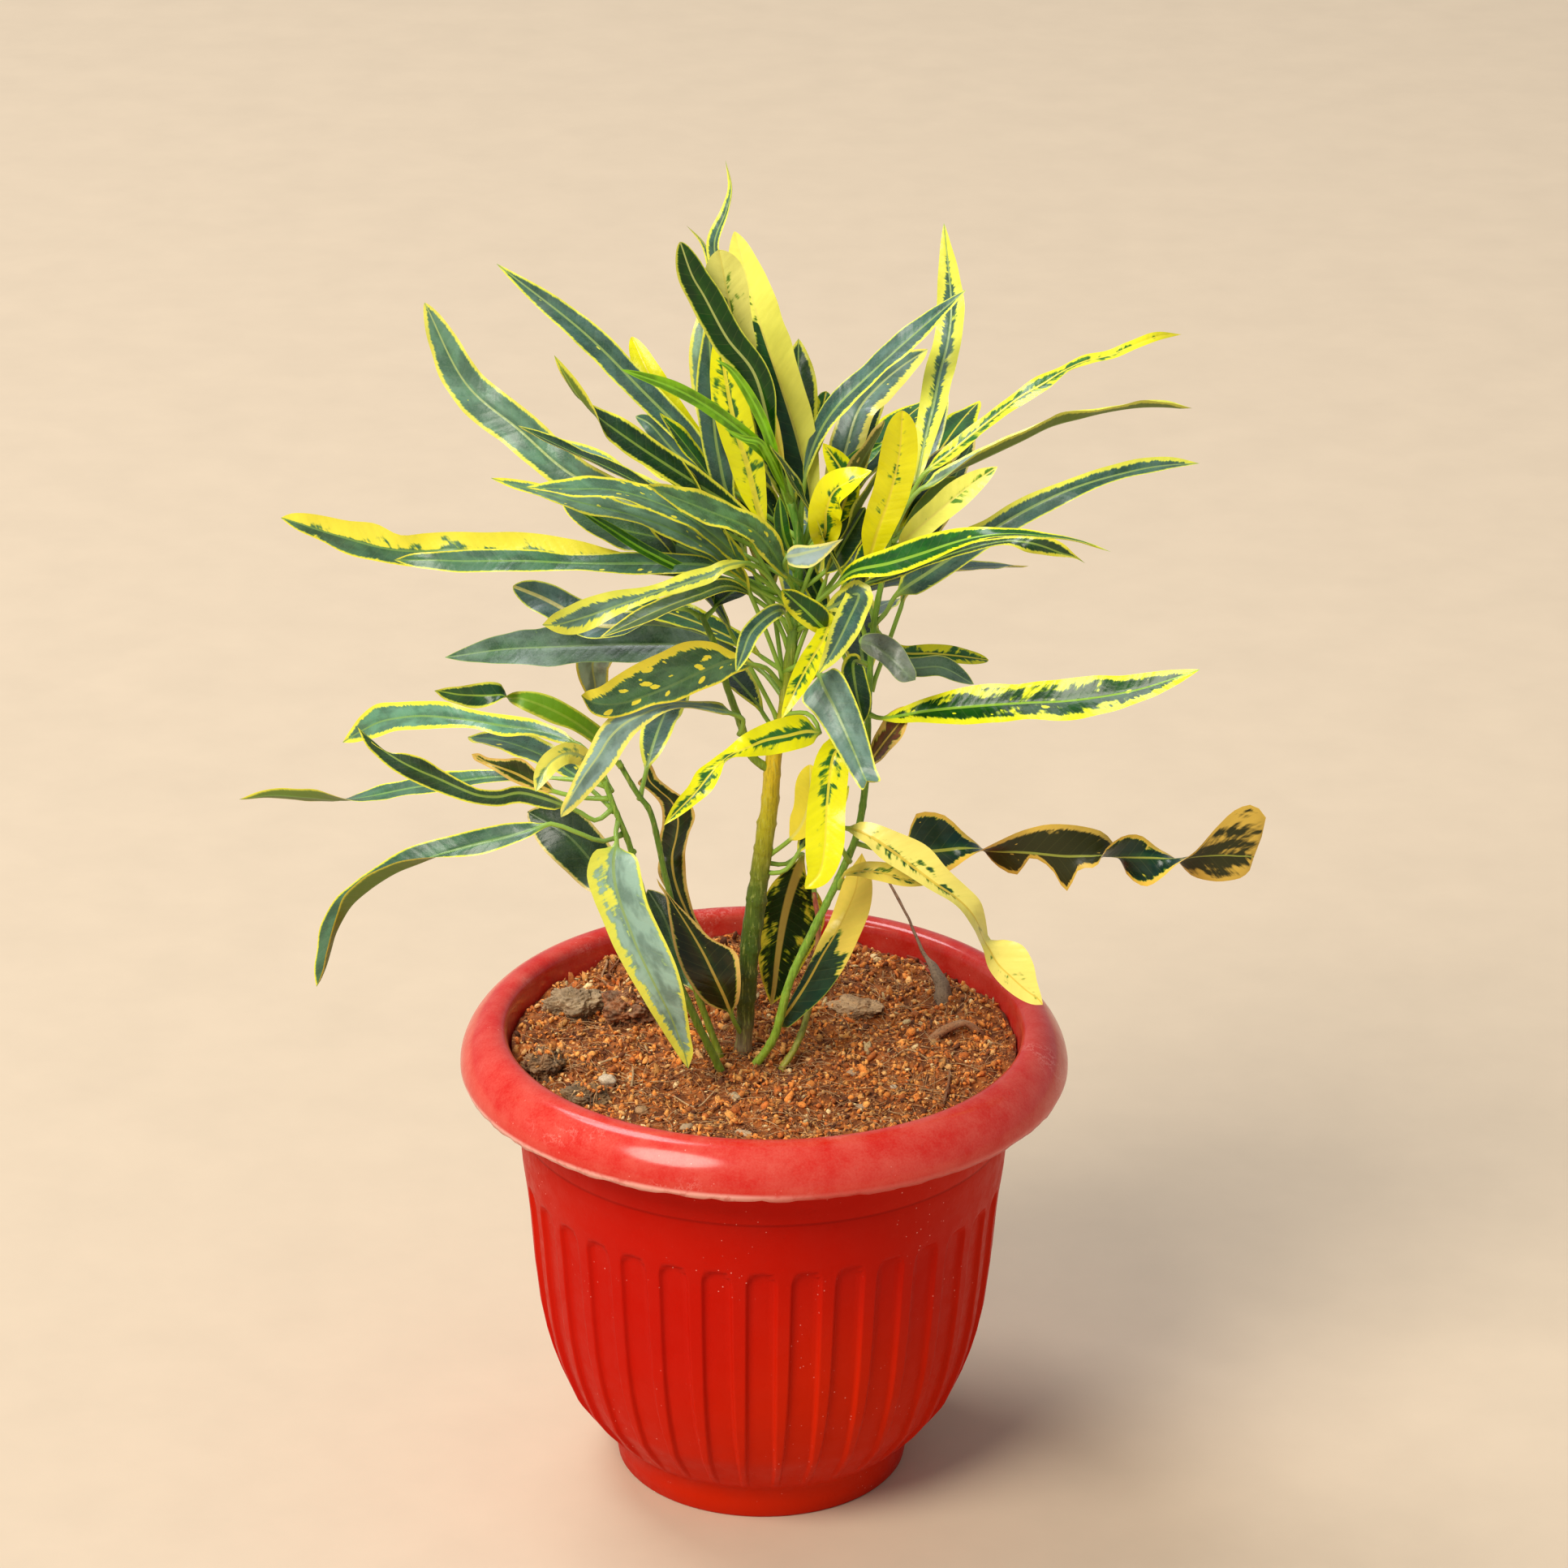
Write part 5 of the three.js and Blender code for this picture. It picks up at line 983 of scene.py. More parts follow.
# Each leaf: its full width in mm, and its midrib from the stem as photo places. Where the photograph
# shows both edges, sides has five numbers for each point of the blade before the tip: how far the
# left edge lies to the right of the midrib and below it in photo pixels, the same for the right edge,
# and how many millimetres nearer the left edge lies, and the right one farther away.
# Where a leaf is given a pale blue-grey body, as notchedGrey and frontLeftBroad are, that body is in part a
# painted sheen, the sky's gloss on the leaf.
leaves = dict(
    highLeft=dict(wide=11.5, stalk=32, fold=8, wave=0.8, blunt=0, turn=[10, -10], margin=0.7, spots=0.25,
        path=[(982, 680, 2), (905, 605, -6), (862, 553, -8), (795, 485, -12), (722, 412, -16),
        (612, 325, -22)]),
    farLeftHigh=dict(look="pale", wide=17, stalk=38, wave=1.2, blunt=0.6, turn=[-10, 0, 5],
        margin=(1.4, 1.2), spots=0.3, path=[(980, 715, 2), (860, 655, -13), (780, 622, -21),
        (700, 582, -28), (640, 530, -33), (575, 474, -38), (523, 373, -42)]),
    edgeOnLeft=dict(look="dark", wide=13, stalk=34, fold=10, wave=0.5, blunt=0.3, turn=[-72], margin=0.6,
        path=[(981, 700, 4), (850, 630, 0), (760, 581, -5), (700, 554, -8), (638, 524, -11)]),
    greyBehindLeft=dict(wide=11, stalk=34, fold=8, wave=0.5, turn=[-62], margin=1.6, body=(120, 156, 136),
        path=[(980, 690, 0), (850, 622, -7), (780, 590, -14), (740, 565, -18), (690, 540, -21)]),
    curledTipLeft=dict(look="dark", wide=12.5, stalk=22, fold=12, wave=0.6, blunt=0, turn=[-15, -15, -15,
        -15, -15, -20, -120, -165], margin=1, spots=0.1, path=[(983, 690, 6), (945, 650, 8), (900, 622, 10),
        (847, 589, 12), (780, 545, 14), (735, 511, 14), (711, 483, 14), (697, 461, 13), (683, 438, 12)]),
    topDark=dict(look="glossy", wide=13, stalk=30, wave=0.5, blunt=0.9, turn=[10, 0], margin=(0.8, 0.3),
        dustAndSheen=0, path=[(980, 640, 5), (955, 560, 9), (929, 460, 12), (896, 417, 13), (867, 364, 14),
        (853, 340, 14.5), (838, 298, 15)]),
    paleTip=dict(look="cream", wide=17, stalk=62, fold=4, wave=0.4, blunt=1, turn=[-6],
        trim=(255, 252, 132), gold=[[0.95, 0.95, 0.9, 0.62, 0.85, 1.1]], path=[(980, 650, 2), (950, 560, 2),
        (926, 480, 3), (908, 425, 5), (898, 372, 7), (886, 308, 9)]),
    bigYellow=dict(look="cream", wide=20, stalk=16, fold=8, wave=0.6, blunt=0.4, turn=[10],
        body=(16, 72, 34), gold=[[0, 0, 0, 0.3, 0.9, 1.2], [0.95, 1, 1.05, 1.1, 1.1, 1.2]],
        path=[(990, 682, 0), (1000, 625, -4), (985, 550, -8), (962, 475, -11), (935, 395, -14),
        (905, 285, -20)]),
    topTwist=dict(wide=8, stalk=30, fold=15, blunt=0, turn=[0, 0, 20, 40, 60], margin=1,
        path=[(980, 640, 0), (932, 500, -23), (891, 350, -31), (880, 300, -31), (895, 258, -31),
        (900, 232, -31), (894, 198, -31)]),
    topCurl=dict(wide=8, stalk=30, fold=15, wave=0.2, blunt=0, turn=[0, 0, 30, 70], margin=0.8,
        path=[(981, 652, 0), (920, 480, -30), (880, 335, -38), (866, 300, -37), (846, 278, -35)]),
    paleBehind=dict(look="pale", wide=12, stalk=34, wave=0.6, turn=[20], margin=1.2, body=(140, 176, 140),
        path=[(982, 675, 0), (895, 560, -24), (873, 500, -29), (866, 430, -31), (870, 365, -33)]),
    uprightGrey=dict(wide=13, stalk=30, fold=5, wave=0.4, blunt=0.1, margin=0.7, spots=0.3,
        path=[(983, 690, 4), (905, 625, 2), (885, 560, 2), (878, 500, 1), (876, 450, 0), (872, 395, -1)]),
    uprightYellow=dict(look="yellow", wide=15, stalk=16, wave=0.6, turn=[10], ribWide=1.4, gold=[[0.6, 0.6,
        0.55, 0.62, 0.85]], path=[(983, 680, 6), (945, 650, 7), (920, 570, 6), (907, 530, 5), (894, 465, 4),
        (886, 405, 2)]),
    yellowTipBehind=dict(look="yellow", wide=11, stalk=36, fold=5, wave=0.4, blunt=0.8, gold=[[1]],
        path=[(983, 680, -1), (880, 575, -26), (805, 470, -33), (778, 415, -35)]),
    youngGreen=dict(look="young", wide=6, stalk=10, fold=10, blunt=0.3, turn=[-15], path=[(978, 620, 6),
        (950, 568, 16), (930, 546, 19), (905, 525, 21), (870, 500, 23), (830, 478, 25), (765, 455, 27)]),
    fanUpper=dict(look="teal", wide=17, stalk=22, wave=0.8, turn=[-50, -56, -58], margin=1.4, spots=0.6,
        body=(96, 138, 104), path=[(983, 745, 6), (925, 700, 14), (880, 660, 19), (840, 632, 22),
        (760, 604, 24), (700, 602, 25), (648, 600, 26)]),
    fanLower=dict(look="teal", wide=15, stalk=22, wave=0.8, blunt=0.1, turn=[-55], margin=1.4, spots=0.5,
        body=(126, 166, 130), path=[(982, 750, 6), (920, 715, 10), (875, 677, 13), (800, 641, 15),
        (700, 615, 16), (605, 589, 17)]),
    fanFront=dict(look="teal", wide=15, stalk=14, fold=8, wave=0.8, blunt=0.1, turn=[-40], margin=1.3,
        spots=0.6, body=(100, 146, 84), path=[(985, 735, 8), (965, 700, 20), (930, 655, 27), (870, 628, 32),
        (820, 608, 35), (798, 597, 36)]),
    broadDarkLeft=dict(look="plum", wide=21, stalk=28, wave=0.8, blunt=0.3, turn=[-40], margin=0.6,
        path=[(982, 740, 3), (875, 690, -2), (820, 665, -6), (760, 650, -10), (693, 620, -14)]),
    youngLeftA=dict(look="young", wide=5, stalk=20, fold=10, wave=0.2, blunt=0.1, turn=[-20],
        body=(58, 116, 20), path=[(982, 735, 6), (870, 712, 8), (795, 678, 9), (750, 650, 8),
        (705, 622, 7)]),
    longLeftYellow=dict(look="teal", fold=16, margin=(0.6, 0.8), gold=[[0.15], [0.7, 0.75, 0.7, 0.85]],
        path=[(981, 775, 4), (935, 728, 0), (900, 712, -3), (832, 705, -5), (787, 696, -7), (753, 693, -8),
        (707, 687, -9), (651, 681, -10), (594, 679, -11), (557, 677, -11), (523, 679, -12), (489, 678, -12),
        (457, 672, -13), (425, 663, -14), (398, 655, -15), (371, 646, -15), (355, 641, -16),
        (346, 638, -16)], sides=[(1, 4, -1, -4, 2), (0, 5, -4, -12, 3), (0, 11, -5, -12, 4),
        (0, 12, 0, -16, 4), (0, 14, 0, -22, 4), (0, 13, 0, -25, 4), (0, 14, 0, -23, 3), (0, 16, 0, -22, 3),
        (0, 20, 0, -22, 2), (0, 18, 4, -19, 1), (0, 18, 5, -27, 1), (0, 19, 5, -21, 0), (0, 13, 5, -19, 0),
        (0, 10, 4, -14, 0), (0, 5, 2, -8, 0)]),
    longLeftGrey=dict(look="teal", fold=10, margin=0.5, spots=0.3, path=[(980, 780, 5), (935, 722, 7),
        (895, 703, 8), (878, 697, 8), (832, 694, 8), (787, 694, 7), (741, 694, 7), (696, 693, 6),
        (651, 691, 6), (594, 691, 5), (568, 691, 5), (534, 690, 5), (507, 690, 4), (485, 690, 4)],
        sides=[(1, 4, -1, -4, 2), (0, 7, 0, -8, 3), (0, 13, 0, -13, 4), (0, 14, 0, -14, 4),
        (0, 11, 0, -12, 4), (0, 10, 0, -11, 4), (0, 13, 0, -14, 4), (0, 14, 0, -15, 4), (0, 14, 0, -13, 4),
        (0, 12, 0, -10, 2), (0, 8, 0, -8, 1)]),
    variegatedLeft=dict(fold=10, margin=3, body=(110, 142, 122), gold=[[0.25]], path=[(983, 760, 6),
        (945, 706, 17), (924, 693, 20), (892, 698, 24), (878, 707, 25), (843, 719, 28), (809, 729, 30),
        (778, 740, 32), (753, 749, 33), (728, 758, 33), (705, 765, 34), (685, 770, 35), (668, 770, 35)],
        sides=[(-1, 4, 1, -3, 1), (2, 7, -2, -8, 3), (2, 9, -4, -10, 4), (4, 8, -3, -12, 4),
        (4, 8, -4, -9, 4), (4, 8, -5, -14, 4), (2, 12, -7, -19, 3), (2, 17, -9, -20, 2),
        (2, 17, -9, -16, 1), (2, 10, -6, -12, 0)]),
    behindVariegated=dict(look="olive", wide=12, stalk=20, fold=8, wave=0.4, blunt=0, turn=[-55],
        margin=0.6, path=[(981, 770, 5), (900, 722, 10), (860, 733, 12), (810, 752, 13), (738, 786, 14)]),
    wideTipLeft=dict(wide=17, stalk=10, fold=5, wave=0.6, blunt=0.8, turn=[-60, -60, -50, -30, -25],
        margin=0.5, rib=(226, 210, 110), ribWide=1.8, path=[(864, 757, 8), (845, 748, 5), (810, 754, 0),
        (770, 770, -6), (730, 769, -10), (701, 754, -13), (669, 737, -16), (632, 722, -17)]),
    underCrown=dict(look="dark", wide=13, stalk=6, fold=5, wave=0.4, blunt=0.4, turn=[50],
        path=[(866, 760, 8), (886, 742, 4), (905, 728, -1), (940, 712, -8)]),
    greyWideLeft=dict(look="dustySheen", wide=19.5, stalk=18, fold=5, wave=0.6, blunt=0, turn=[-32],
        path=[(967, 860, 5), (930, 818, -4), (860, 797, -9), (780, 794, -14), (680, 797, -20),
        (620, 800, -24), (548, 810, -28)]),
    spottedLeft=dict(look="plum", fold=14, margin=(0.8, 3.4), spots=0.8, body=(76, 112, 64),
        rib=(96, 124, 60), path=[(968, 852, 5), (945, 824, 13), (930, 820, 16), (905, 813, 19),
        (882, 820, 21), (855, 832, 23), (827, 845, 25), (800, 856, 26), (773, 865, 27), (748, 868, 29),
        (730, 865, 29), (716, 857, 30)], sides=[(-1, 4, 1, -5, 0), (1, 17, -2, -10, 2), (4, 22, -5, -29, 2),
        (6, 20, -12, -41, 2), (7, 19, -13, -41, 2), (5, 13, -16, -38, 2), (0, 16, -16, -31, 2),
        (0, 17, -11, -21, 2), (-2, 13, -6, -14, 2)]),
    droopBehindLeft=dict(look="pale", wide=15, stalk=30, fold=5, wave=0.4, blunt=0.6, margin=0.8,
        body=(160, 196, 176), path=[(969, 850, 4), (880, 790, -26), (800, 778, -36), (750, 790, -40),
        (731, 816, -41), (733, 842, -42), (737, 870, -42)]),
    archFolded=dict(look="blue", fold=22, margin=1.6, body=(146, 172, 160), path=[(918, 905, 11),
        (918, 885, 14), (905, 878, 16), (880, 872, 20), (850, 868, 23), (820, 869, 26), (795, 878, 30),
        (770, 891, 33), (752, 908, 36), (738, 930, 39), (720, 955, 42), (705, 980, 45), (695, 998, 46),
        (691, 1007, 47)], sides=[(1, 6, -1, -7, 4), (0, 6, 0, -7, 5), (0, 5, 0, -5, 5), (2, 8, -2, -6, 5),
        (5, 12, -7, -9, 4), (14, 12, -13, -11, 3), (18, 14, -14, -10, 2), (19, 13, -14, -4, 1),
        (18, 10, -11, 0, 0), (10, 10, -7, 0, 0), (5, 5, -4, -2, 0)]),
    smallDarkCentre=dict(wide=7.5, stalk=20, fold=8, turn=[-10, 10], margin=0.6, path=[(981, 780, 5),
        (962, 752, 24), (945, 760, 28), (925, 780, 31), (915, 805, 33), (907, 828, 34)]),
    whiteGlossy=dict(look="white", fold=20, margin=1, path=[(984, 720, 6), (966, 706, 15), (967, 687, 24),
        (981, 684, 26), (996, 680, 28), (1012, 676, 29), (1026, 670, 30), (1039, 664, 31)],
        sides=[(0, -5, -1, 6, 0), (-3, -12, 0, 15, -2), (0, -8, 3, 19, -2), (0, -6, 4, 11, -1),
        (0, -3, 3, 4, 0)]),
    smallUpright=dict(look="bright", wide=6, fold=8, wave=0.2, blunt=0.1, path=[(984, 700, 6),
        (966, 660, 14), (960, 612, 16)]),
    upperRightGrey=dict(wide=12.5, stalk=24, wave=0.6, blunt=0.1, turn=[42], margin=(0.3, 1.2),
        path=[(983, 670, 2), (989, 598, -3), (1007, 538, -6), (1029, 503, -7), (1059, 473, -8),
        (1089, 445, -9), (1119, 418, -10), (1190, 357, -12)]),
    upperRightVariegated=dict(look="blue", wide=16, stalk=24, wave=0.6, turn=[20], margin=(1, 2.8),
        spots=0.3, path=[(984, 680, 0), (1020, 610, -14), (1037, 570, -18), (1058, 505, -25),
        (1080, 478, -28), (1110, 452, -31), (1143, 430, -34)]),
    curledCentre=dict(look="yellow", wide=15, stalk=14, fold=16, wave=1, blunt=0.4, turn=[0, -10, 10, 60],
        gold=[[0.75, 0.7, 0.65, 0.8]], path=[(985, 700, 5), (1015, 662, 16), (1018, 630, 21),
        (1028, 605, 23), (1048, 592, 23), (1074, 580, 21)]),
    curledFlap=dict(look="yellow", wide=11, stalk=20, fold=10, wave=0.8, blunt=0.1, turn=[-20, 10],
        gold=[[0.4, 0.45, 0.5]], path=[(984, 690, 4), (1030, 640, 8), (1044, 604, 9), (1036, 578, 9),
        (1014, 546, 8)]),
    brightGreenSmall=dict(look="bright", wide=8, stalk=24, fold=8, turn=[10], path=[(984, 690, 2),
        (1030, 610, -6), (1052, 572, -8), (1088, 546, -9)]),
    darkInnerRight=dict(look="dark", wide=12, stalk=14, wave=0.5, blunt=0.3, turn=[10], margin=0.4,
        path=[(984, 730, 5), (1020, 700, 8), (1045, 660, 9), (1066, 625, 8)]),
    frontRightGreen=dict(look="bright", fold=8, margin=(1.2, 1.4), spots=0.3, dustAndSheen=0.15, gold=[[0.06]],
        path=[(983, 765, 6), (1012, 736, 21), (1028, 722, 26), (1050, 704, 31), (1095, 694, 36),
        (1135, 682, 38), (1170, 670, 40), (1205, 661, 42), (1245, 657, 43), (1290, 660, 43),
        (1330, 666, 43), (1369, 680, 42)], sides=[(-2, -6, 2, 6, -1), (0, -12, 0, 9, -3),
        (0, -19, 3, 15, -3), (0, -22, 5, 13, -3), (-2, -17, 5, 8, -4), (-2, -12, 3, 5, -4),
        (0, -7, 0, 4, -5), (0, -3, 0, 2, -4), (0, -2, 0, 2, -3)]),
    underRight=dict(look="dark", fold=8, margin=1.2, path=[(983, 770, 6), (1020, 745, 15), (1059, 722, 23),
        (1095, 710, 26), (1140, 694, 29), (1179, 680, 31), (1212, 671, 33), (1242, 666, 33),
        (1266, 668, 34), (1287, 674, 34), (1308, 682, 35), (1326, 687, 35), (1337, 694, 35)],
        sides=[(-3, -6, 1, 4, -2), (-3, -6, 3, 4, -4), (-3, -8, 3, 4, -4), (-3, -8, 3, 4, -4),
        (-3, -6, 3, 5, -4), (0, -5, 2, 6, -3), (3, -8, -2, 12, -2), (3, -13, -1, 10, 0), (2, -12, -3, 4, 0),
        (-2, -4, -2, 1, 0)]),
    frontVariegated=dict(wide=12, stalk=22, fold=8, wave=0.8, blunt=0, turn=[0, 10], margin=1.8,
        gold=[[0.3]], path=[(983, 775, 6), (1030, 745, 22), (1058, 733, 30), (1045, 765, 35),
        (1025, 805, 38), (1008, 830, 39)]),
    yellowBlotched=dict(look="yellow", wide=9, stalk=12, fold=8, wave=0.5, blunt=0.1, gold=[[0.6, 0.65,
        0.65]], path=[(981, 780, 6), (1020, 765, 20), (1016, 785, 25), (1000, 812, 29), (985, 840, 32),
        (963, 885, 35)]),
    smallGreenCentre=dict(look="bright", fold=14, margin=(1.8, 0.7), body=(4, 78, 0), gold=[[0.35], [0.15]],
        path=[(979, 830, 5), (1015, 800, 17), (1019, 785, 20), (1019, 779, 21), (1009, 769, 23),
        (996, 756, 24), (984, 745, 24), (973, 735, 25), (966, 729, 25), (963, 727, 25)],
        sides=[(-3, 5, 3, -8, 0), (-7, 9, 13, -14, 0), (-9, 13, 13, -14, 0), (-9, 13, 9, -12, 0),
        (-6, 12, 6, -8, 0), (-3, 6, 3, -3, 0)]),
    notchedGrey=dict(fold=14, margin=0.7, body=(112, 146, 132), path=[(976, 850, 5), (1000, 826, 22),
        (1008, 830, 24), (1014, 845, 27), (1028, 872, 30), (1042, 903, 34), (1055, 933, 36),
        (1063, 953, 37), (1067, 961, 38), (1068, 962, 38)], sides=[(10, -8, -8, 8, 0),
        (20, -19, -26, 17, 0), (22, -19, -25, 8, 0), (21, -17, -22, 3, 0), (17, -15, -18, 2, 0),
        (16, -8, -13, 4, 0), (18, 2, -5, 12, 0)]),
    droopLeft=dict(look="yellow", fold=14, margin=(1.2, 1.4), gold=[[0.6, 0.62, 0.6, 0.55, 0.5, 0.6]],
        path=[(972, 880, 5), (1000, 880, 18), (1012, 901, 24), (994, 901, 26), (968, 907, 29),
        (943, 912, 31), (921, 921, 34), (901, 929, 35), (887, 940, 37), (873, 956, 39), (859, 974, 41),
        (842, 992, 42), (828, 1006, 43), (818, 1017, 44)], sides=[(3, 7, -6, -11, 2), (5, 17, -6, -20, 3),
        (9, 18, -8, -22, 3), (9, 18, -7, -18, 3), (3, 11, -6, -15, 4), (3, 4, -5, -7, 5),
        (7, 0, -11, -4, 4), (14, 1, -14, -7, 2), (18, 0, -11, -5, 1), (14, 0, -8, -7, 0),
        (9, 0, -4, -4, 0)]),
    brownOlive=dict(look="brown", fold=24, margin=(1, 1.8), spots=0.3, dustAndSheen=0, body=(54, 50, 18),
        path=[(915, 1282, 15), (905, 1262, 22), (901, 1251, 24), (893, 1230, 26), (880, 1202, 26),
        (868, 1177, 24), (854, 1152, 22), (840, 1129, 20), (826, 1107, 18), (814, 1090, 17),
        (809, 1082, 16)], sides=[(-5, -4, 6, -4, 0), (-23, 6, 19, -6, 0), (-32, 7, 32, -6, 1),
        (-33, 4, 39, -3, 2), (-26, 2, 22, 4, 1), (-16, 0, 14, 4, 1), (-6, -3, 8, 7, 0), (-2, 1, 3, 3, 0)]),
    twistedDark=dict(look="brown", fold=24, margin=(1.2, 1.4), path=[(920, 1225, 14), (895, 1190, 5),
        (873, 1177, 1), (851, 1132, -2), (837, 1101, -3), (830, 1076, -4), (828, 1054, -4), (833, 1031, -4),
        (835, 1009, -4), (828, 989, -4), (812, 974, -4), (800, 961, -4), (798, 949, -4), (799, 935, -4)],
        sides=[(-8, 8, 9, -6, 0), (-14, 0, 9, 4, 2), (-14, 0, 12, 0, 2), (-19, 0, 15, -3, 3),
        (-16, 1, 17, -6, -2), (-21, 3, 16, -3, -3), (-19, 8, 21, -3, -3), (-14, 3, 21, -1, -2),
        (-14, 0, 14, -3, 0), (-14, 4, 10, -3, 2), (-5, 7, 7, -2, 2)]),
    broadBehindTrunk=dict(look="dark", fold=14, wave=0.5, margin=0.8, rib=(222, 200, 96), ribWide=2.2,
        gold=[[0.35]], path=[(940, 1062, 9), (965, 1068, 8), (982, 1058, 2), (989, 1055, -3),
        (981, 1079, -6), (973, 1104, -9), (966, 1132, -12), (961, 1160, -14), (957, 1188, -15),
        (954, 1216, -16), (950, 1239, -17)], sides=[(2, 1, -2, 1, 0), (14, 3, -21, 1, 0),
        (37, 0, -31, 0, 0), (50, 3, -33, 0, 0), (41, 6, -28, 3, 0), (30, 6, -21, 6, 0),
        (17, 3, -12, 3, 0)]),
    yellowBehind=dict(look="cream", wide=13, stalk=16, wave=0.4, blunt=0.6, turn=[15], trim=(255, 236, 60),
        gold=[[0.95, 1]], path=[(941, 1060, 9), (984, 1022, 14), (997, 985, 12), (998, 942, 8)]),
    scarLeaf=dict(look="dark", wide=10, stalk=20, wave=0.4, blunt=0.1, turn=[20], margin=1,
        path=[(939, 1074, 9), (966, 1072, 13), (992, 1036, 12), (1022, 1000, 9), (1046, 968, 6)]),
    tallYellow=dict(on="right_stem", wide=12.5, stalk=14, fold=10, wave=0.6, blunt=0, turn=[15],
        margin=(3.2, 3.4), gold=[[0.45]], path=[(1103, 640, 12), (1126, 600, 2), (1140, 540, -8),
        (1150, 500, -13), (1158, 460, -18), (1168, 420, -22), (1172, 380, -25), (1163, 275, -32)]),
    frontPaddle=dict(on="right_stem", look="yellow", wide=15, stalk=10, wave=0.6, blunt=1, gold=[[1, 1,
        0.95, 0.85, 0.82, 0.85, 1.1]], path=[(1092, 700, 12), (1072, 700, 17), (1078, 665, 24),
        (1096, 612, 30), (1108, 560, 34), (1112, 506, 36)]),
    rightYellowNarrow=dict(on="right_stem", look="yellow", fold=8, trim=(232, 226, 40), gold=[[0.5, 0.55,
        0.5, 0.55, 0.7, 1]], path=[(1102, 645, 12), (1120, 612, 10), (1137, 584, 9), (1167, 560, 7),
        (1200, 533, 3), (1230, 509, 0), (1257, 488, -2), (1284, 473, -4), (1311, 456, -7), (1338, 444, -9),
        (1368, 437, -11), (1395, 426, -13), (1425, 415, -15), (1456, 412, -18)], sides=[(-3, -4, 3, 3, -1),
        (-6, -6, 6, 6, -4), (-6, -7, 8, 3, -4), (-8, -5, 8, 5, -4), (-7, -4, 7, 8, -4), (-6, -9, 7, 6, -4),
        (-6, -4, 5, 3, -4), (-6, -6, 3, 5, -4), (-6, -4, 4, 4, -3), (-5, -5, 5, 4, -2),
        (-3, -6, 1, 5, -1)]),
    rightDarkNarrow=dict(on="right_stem", margin=1.2, body=(120, 146, 110), path=[(1099, 660, 12),
        (1118, 622, 18), (1134, 604, 19), (1155, 592, 19), (1176, 579, 19), (1200, 568, 18),
        (1230, 554, 17), (1260, 540, 15), (1290, 525, 13), (1308, 519, 11), (1329, 514, 9), (1353, 508, 7),
        (1380, 503, 4), (1407, 500, 1), (1437, 500, -2), (1469, 503, -5)], sides=[(-2, -6, 2, 4, 0),
        (-3, -10, 5, 0, -3), (0, -11, 6, -5, -4), (0, -13, 6, -10, -4), (-3, -10, 0, -10, -4),
        (-2, -9, 0, -9, -4), (-2, -8, 0, -7, -4), (-3, -11, -2, -10, -4), (-1, -8, 0, -8, -4),
        (-1, -4, 0, -4, -4), (-2, -4, 0, -3, -3), (0, -7, 1, -6, -3), (-1, -6, 0, -5, -3)]),
    longRightGrey=dict(on="right_stem", fold=8, margin=(1.6, 0.4), path=[(1081, 770, 12), (1090, 757, 14),
        (1102, 736, 15), (1114, 725, 16), (1140, 708, 17), (1167, 690, 18), (1194, 672, 18),
        (1221, 654, 17), (1251, 636, 16), (1281, 620, 14), (1311, 606, 13), (1344, 594, 11), (1380, 584, 8),
        (1416, 576, 6), (1449, 572, 4), (1478, 571, 2)], sides=[(0, -6, 1, 5, 0), (-8, -13, 10, 11, -2),
        (-9, -18, 10, 14, -2), (-9, -19, 12, 13, -2), (-9, -19, 12, 12, -2), (-7, -14, 12, 12, -2),
        (-9, -14, 12, 11, -2), (-9, -13, 12, 11, -2), (-7, -11, 11, 10, -2), (-8, -11, 9, 7, -2),
        (-6, -12, 6, 5, -2), (-6, -12, 6, 6, -2), (-3, -9, 3, 4, -2)]),
    rightYellowMid=dict(on="right_stem", look="cream", wide=11.5, wave=0.4, blunt=0.1, turn=[15],
        gold=[[1.1, 1.05, 0.95, 0.6, 0.65]], path=[(1095, 680, 12), (1118, 662, 22), (1150, 635, 24),
        (1190, 602, 23), (1229, 575, 22)]),
    oliveUnderRight=dict(on="right_stem", look="olive", wide=8, blunt=0.3, turn=[145],
        path=[(1098, 668, 12), (1125, 640, 2), (1150, 612, -4), (1178, 588, -9)]),
    darkInner=dict(on="right_stem", look="dark", wide=11, stalk=6, fold=5, turn=[10], margin=(0.3, 1.2),
        path=[(1073, 820, 13), (1052, 816, 20), (1054, 845, 22), (1064, 890, 23)]),
    greySatin=dict(on="right_stem", look="satin", fold=14, path=[(1078, 785, 13), (1066, 782, 21),
        (1058, 790, 24), (1071, 793, 26), (1087, 803, 28), (1101, 814, 30), (1112, 825, 31),
        (1121, 833, 32), (1128, 838, 32)], sides=[(1, -6, -1, 6, 0), (5, -13, -3, 13, -2),
        (7, -20, -4, 12, -2), (10, -18, -7, 11, -2), (11, -9, -8, 12, -2), (8, -4, -9, 8, -2)]),
    yellowDarkBack=dict(on="right_stem", look="yellow", wide=9, fold=5, wave=0.5, blunt=0.8, turn=[40],
        gold=[[0.45, 0.5]], path=[(1077, 770, 13), (1110, 803, 2), (1150, 805, -2), (1190, 809, -4),
        (1218, 813, -5)]),
    greyGreenSmall=dict(on="right_stem", look="dustySheen", wide=13, fold=5, wave=0.5, turn=[50], margin=0.3,
        path=[(1074, 800, 13), (1120, 822, 13), (1160, 822, 13), (1200, 843, 14)]),
    longRightVariegated=dict(on="right_stem", look="bright", wide=19, stalk=6, fold=8, wave=0.8, blunt=0,
        turn=[30], margin=(1.8, 2.8), spots=0.45, dustAndSheen=0, body=(4, 72, 0), gold=[[0.38]],
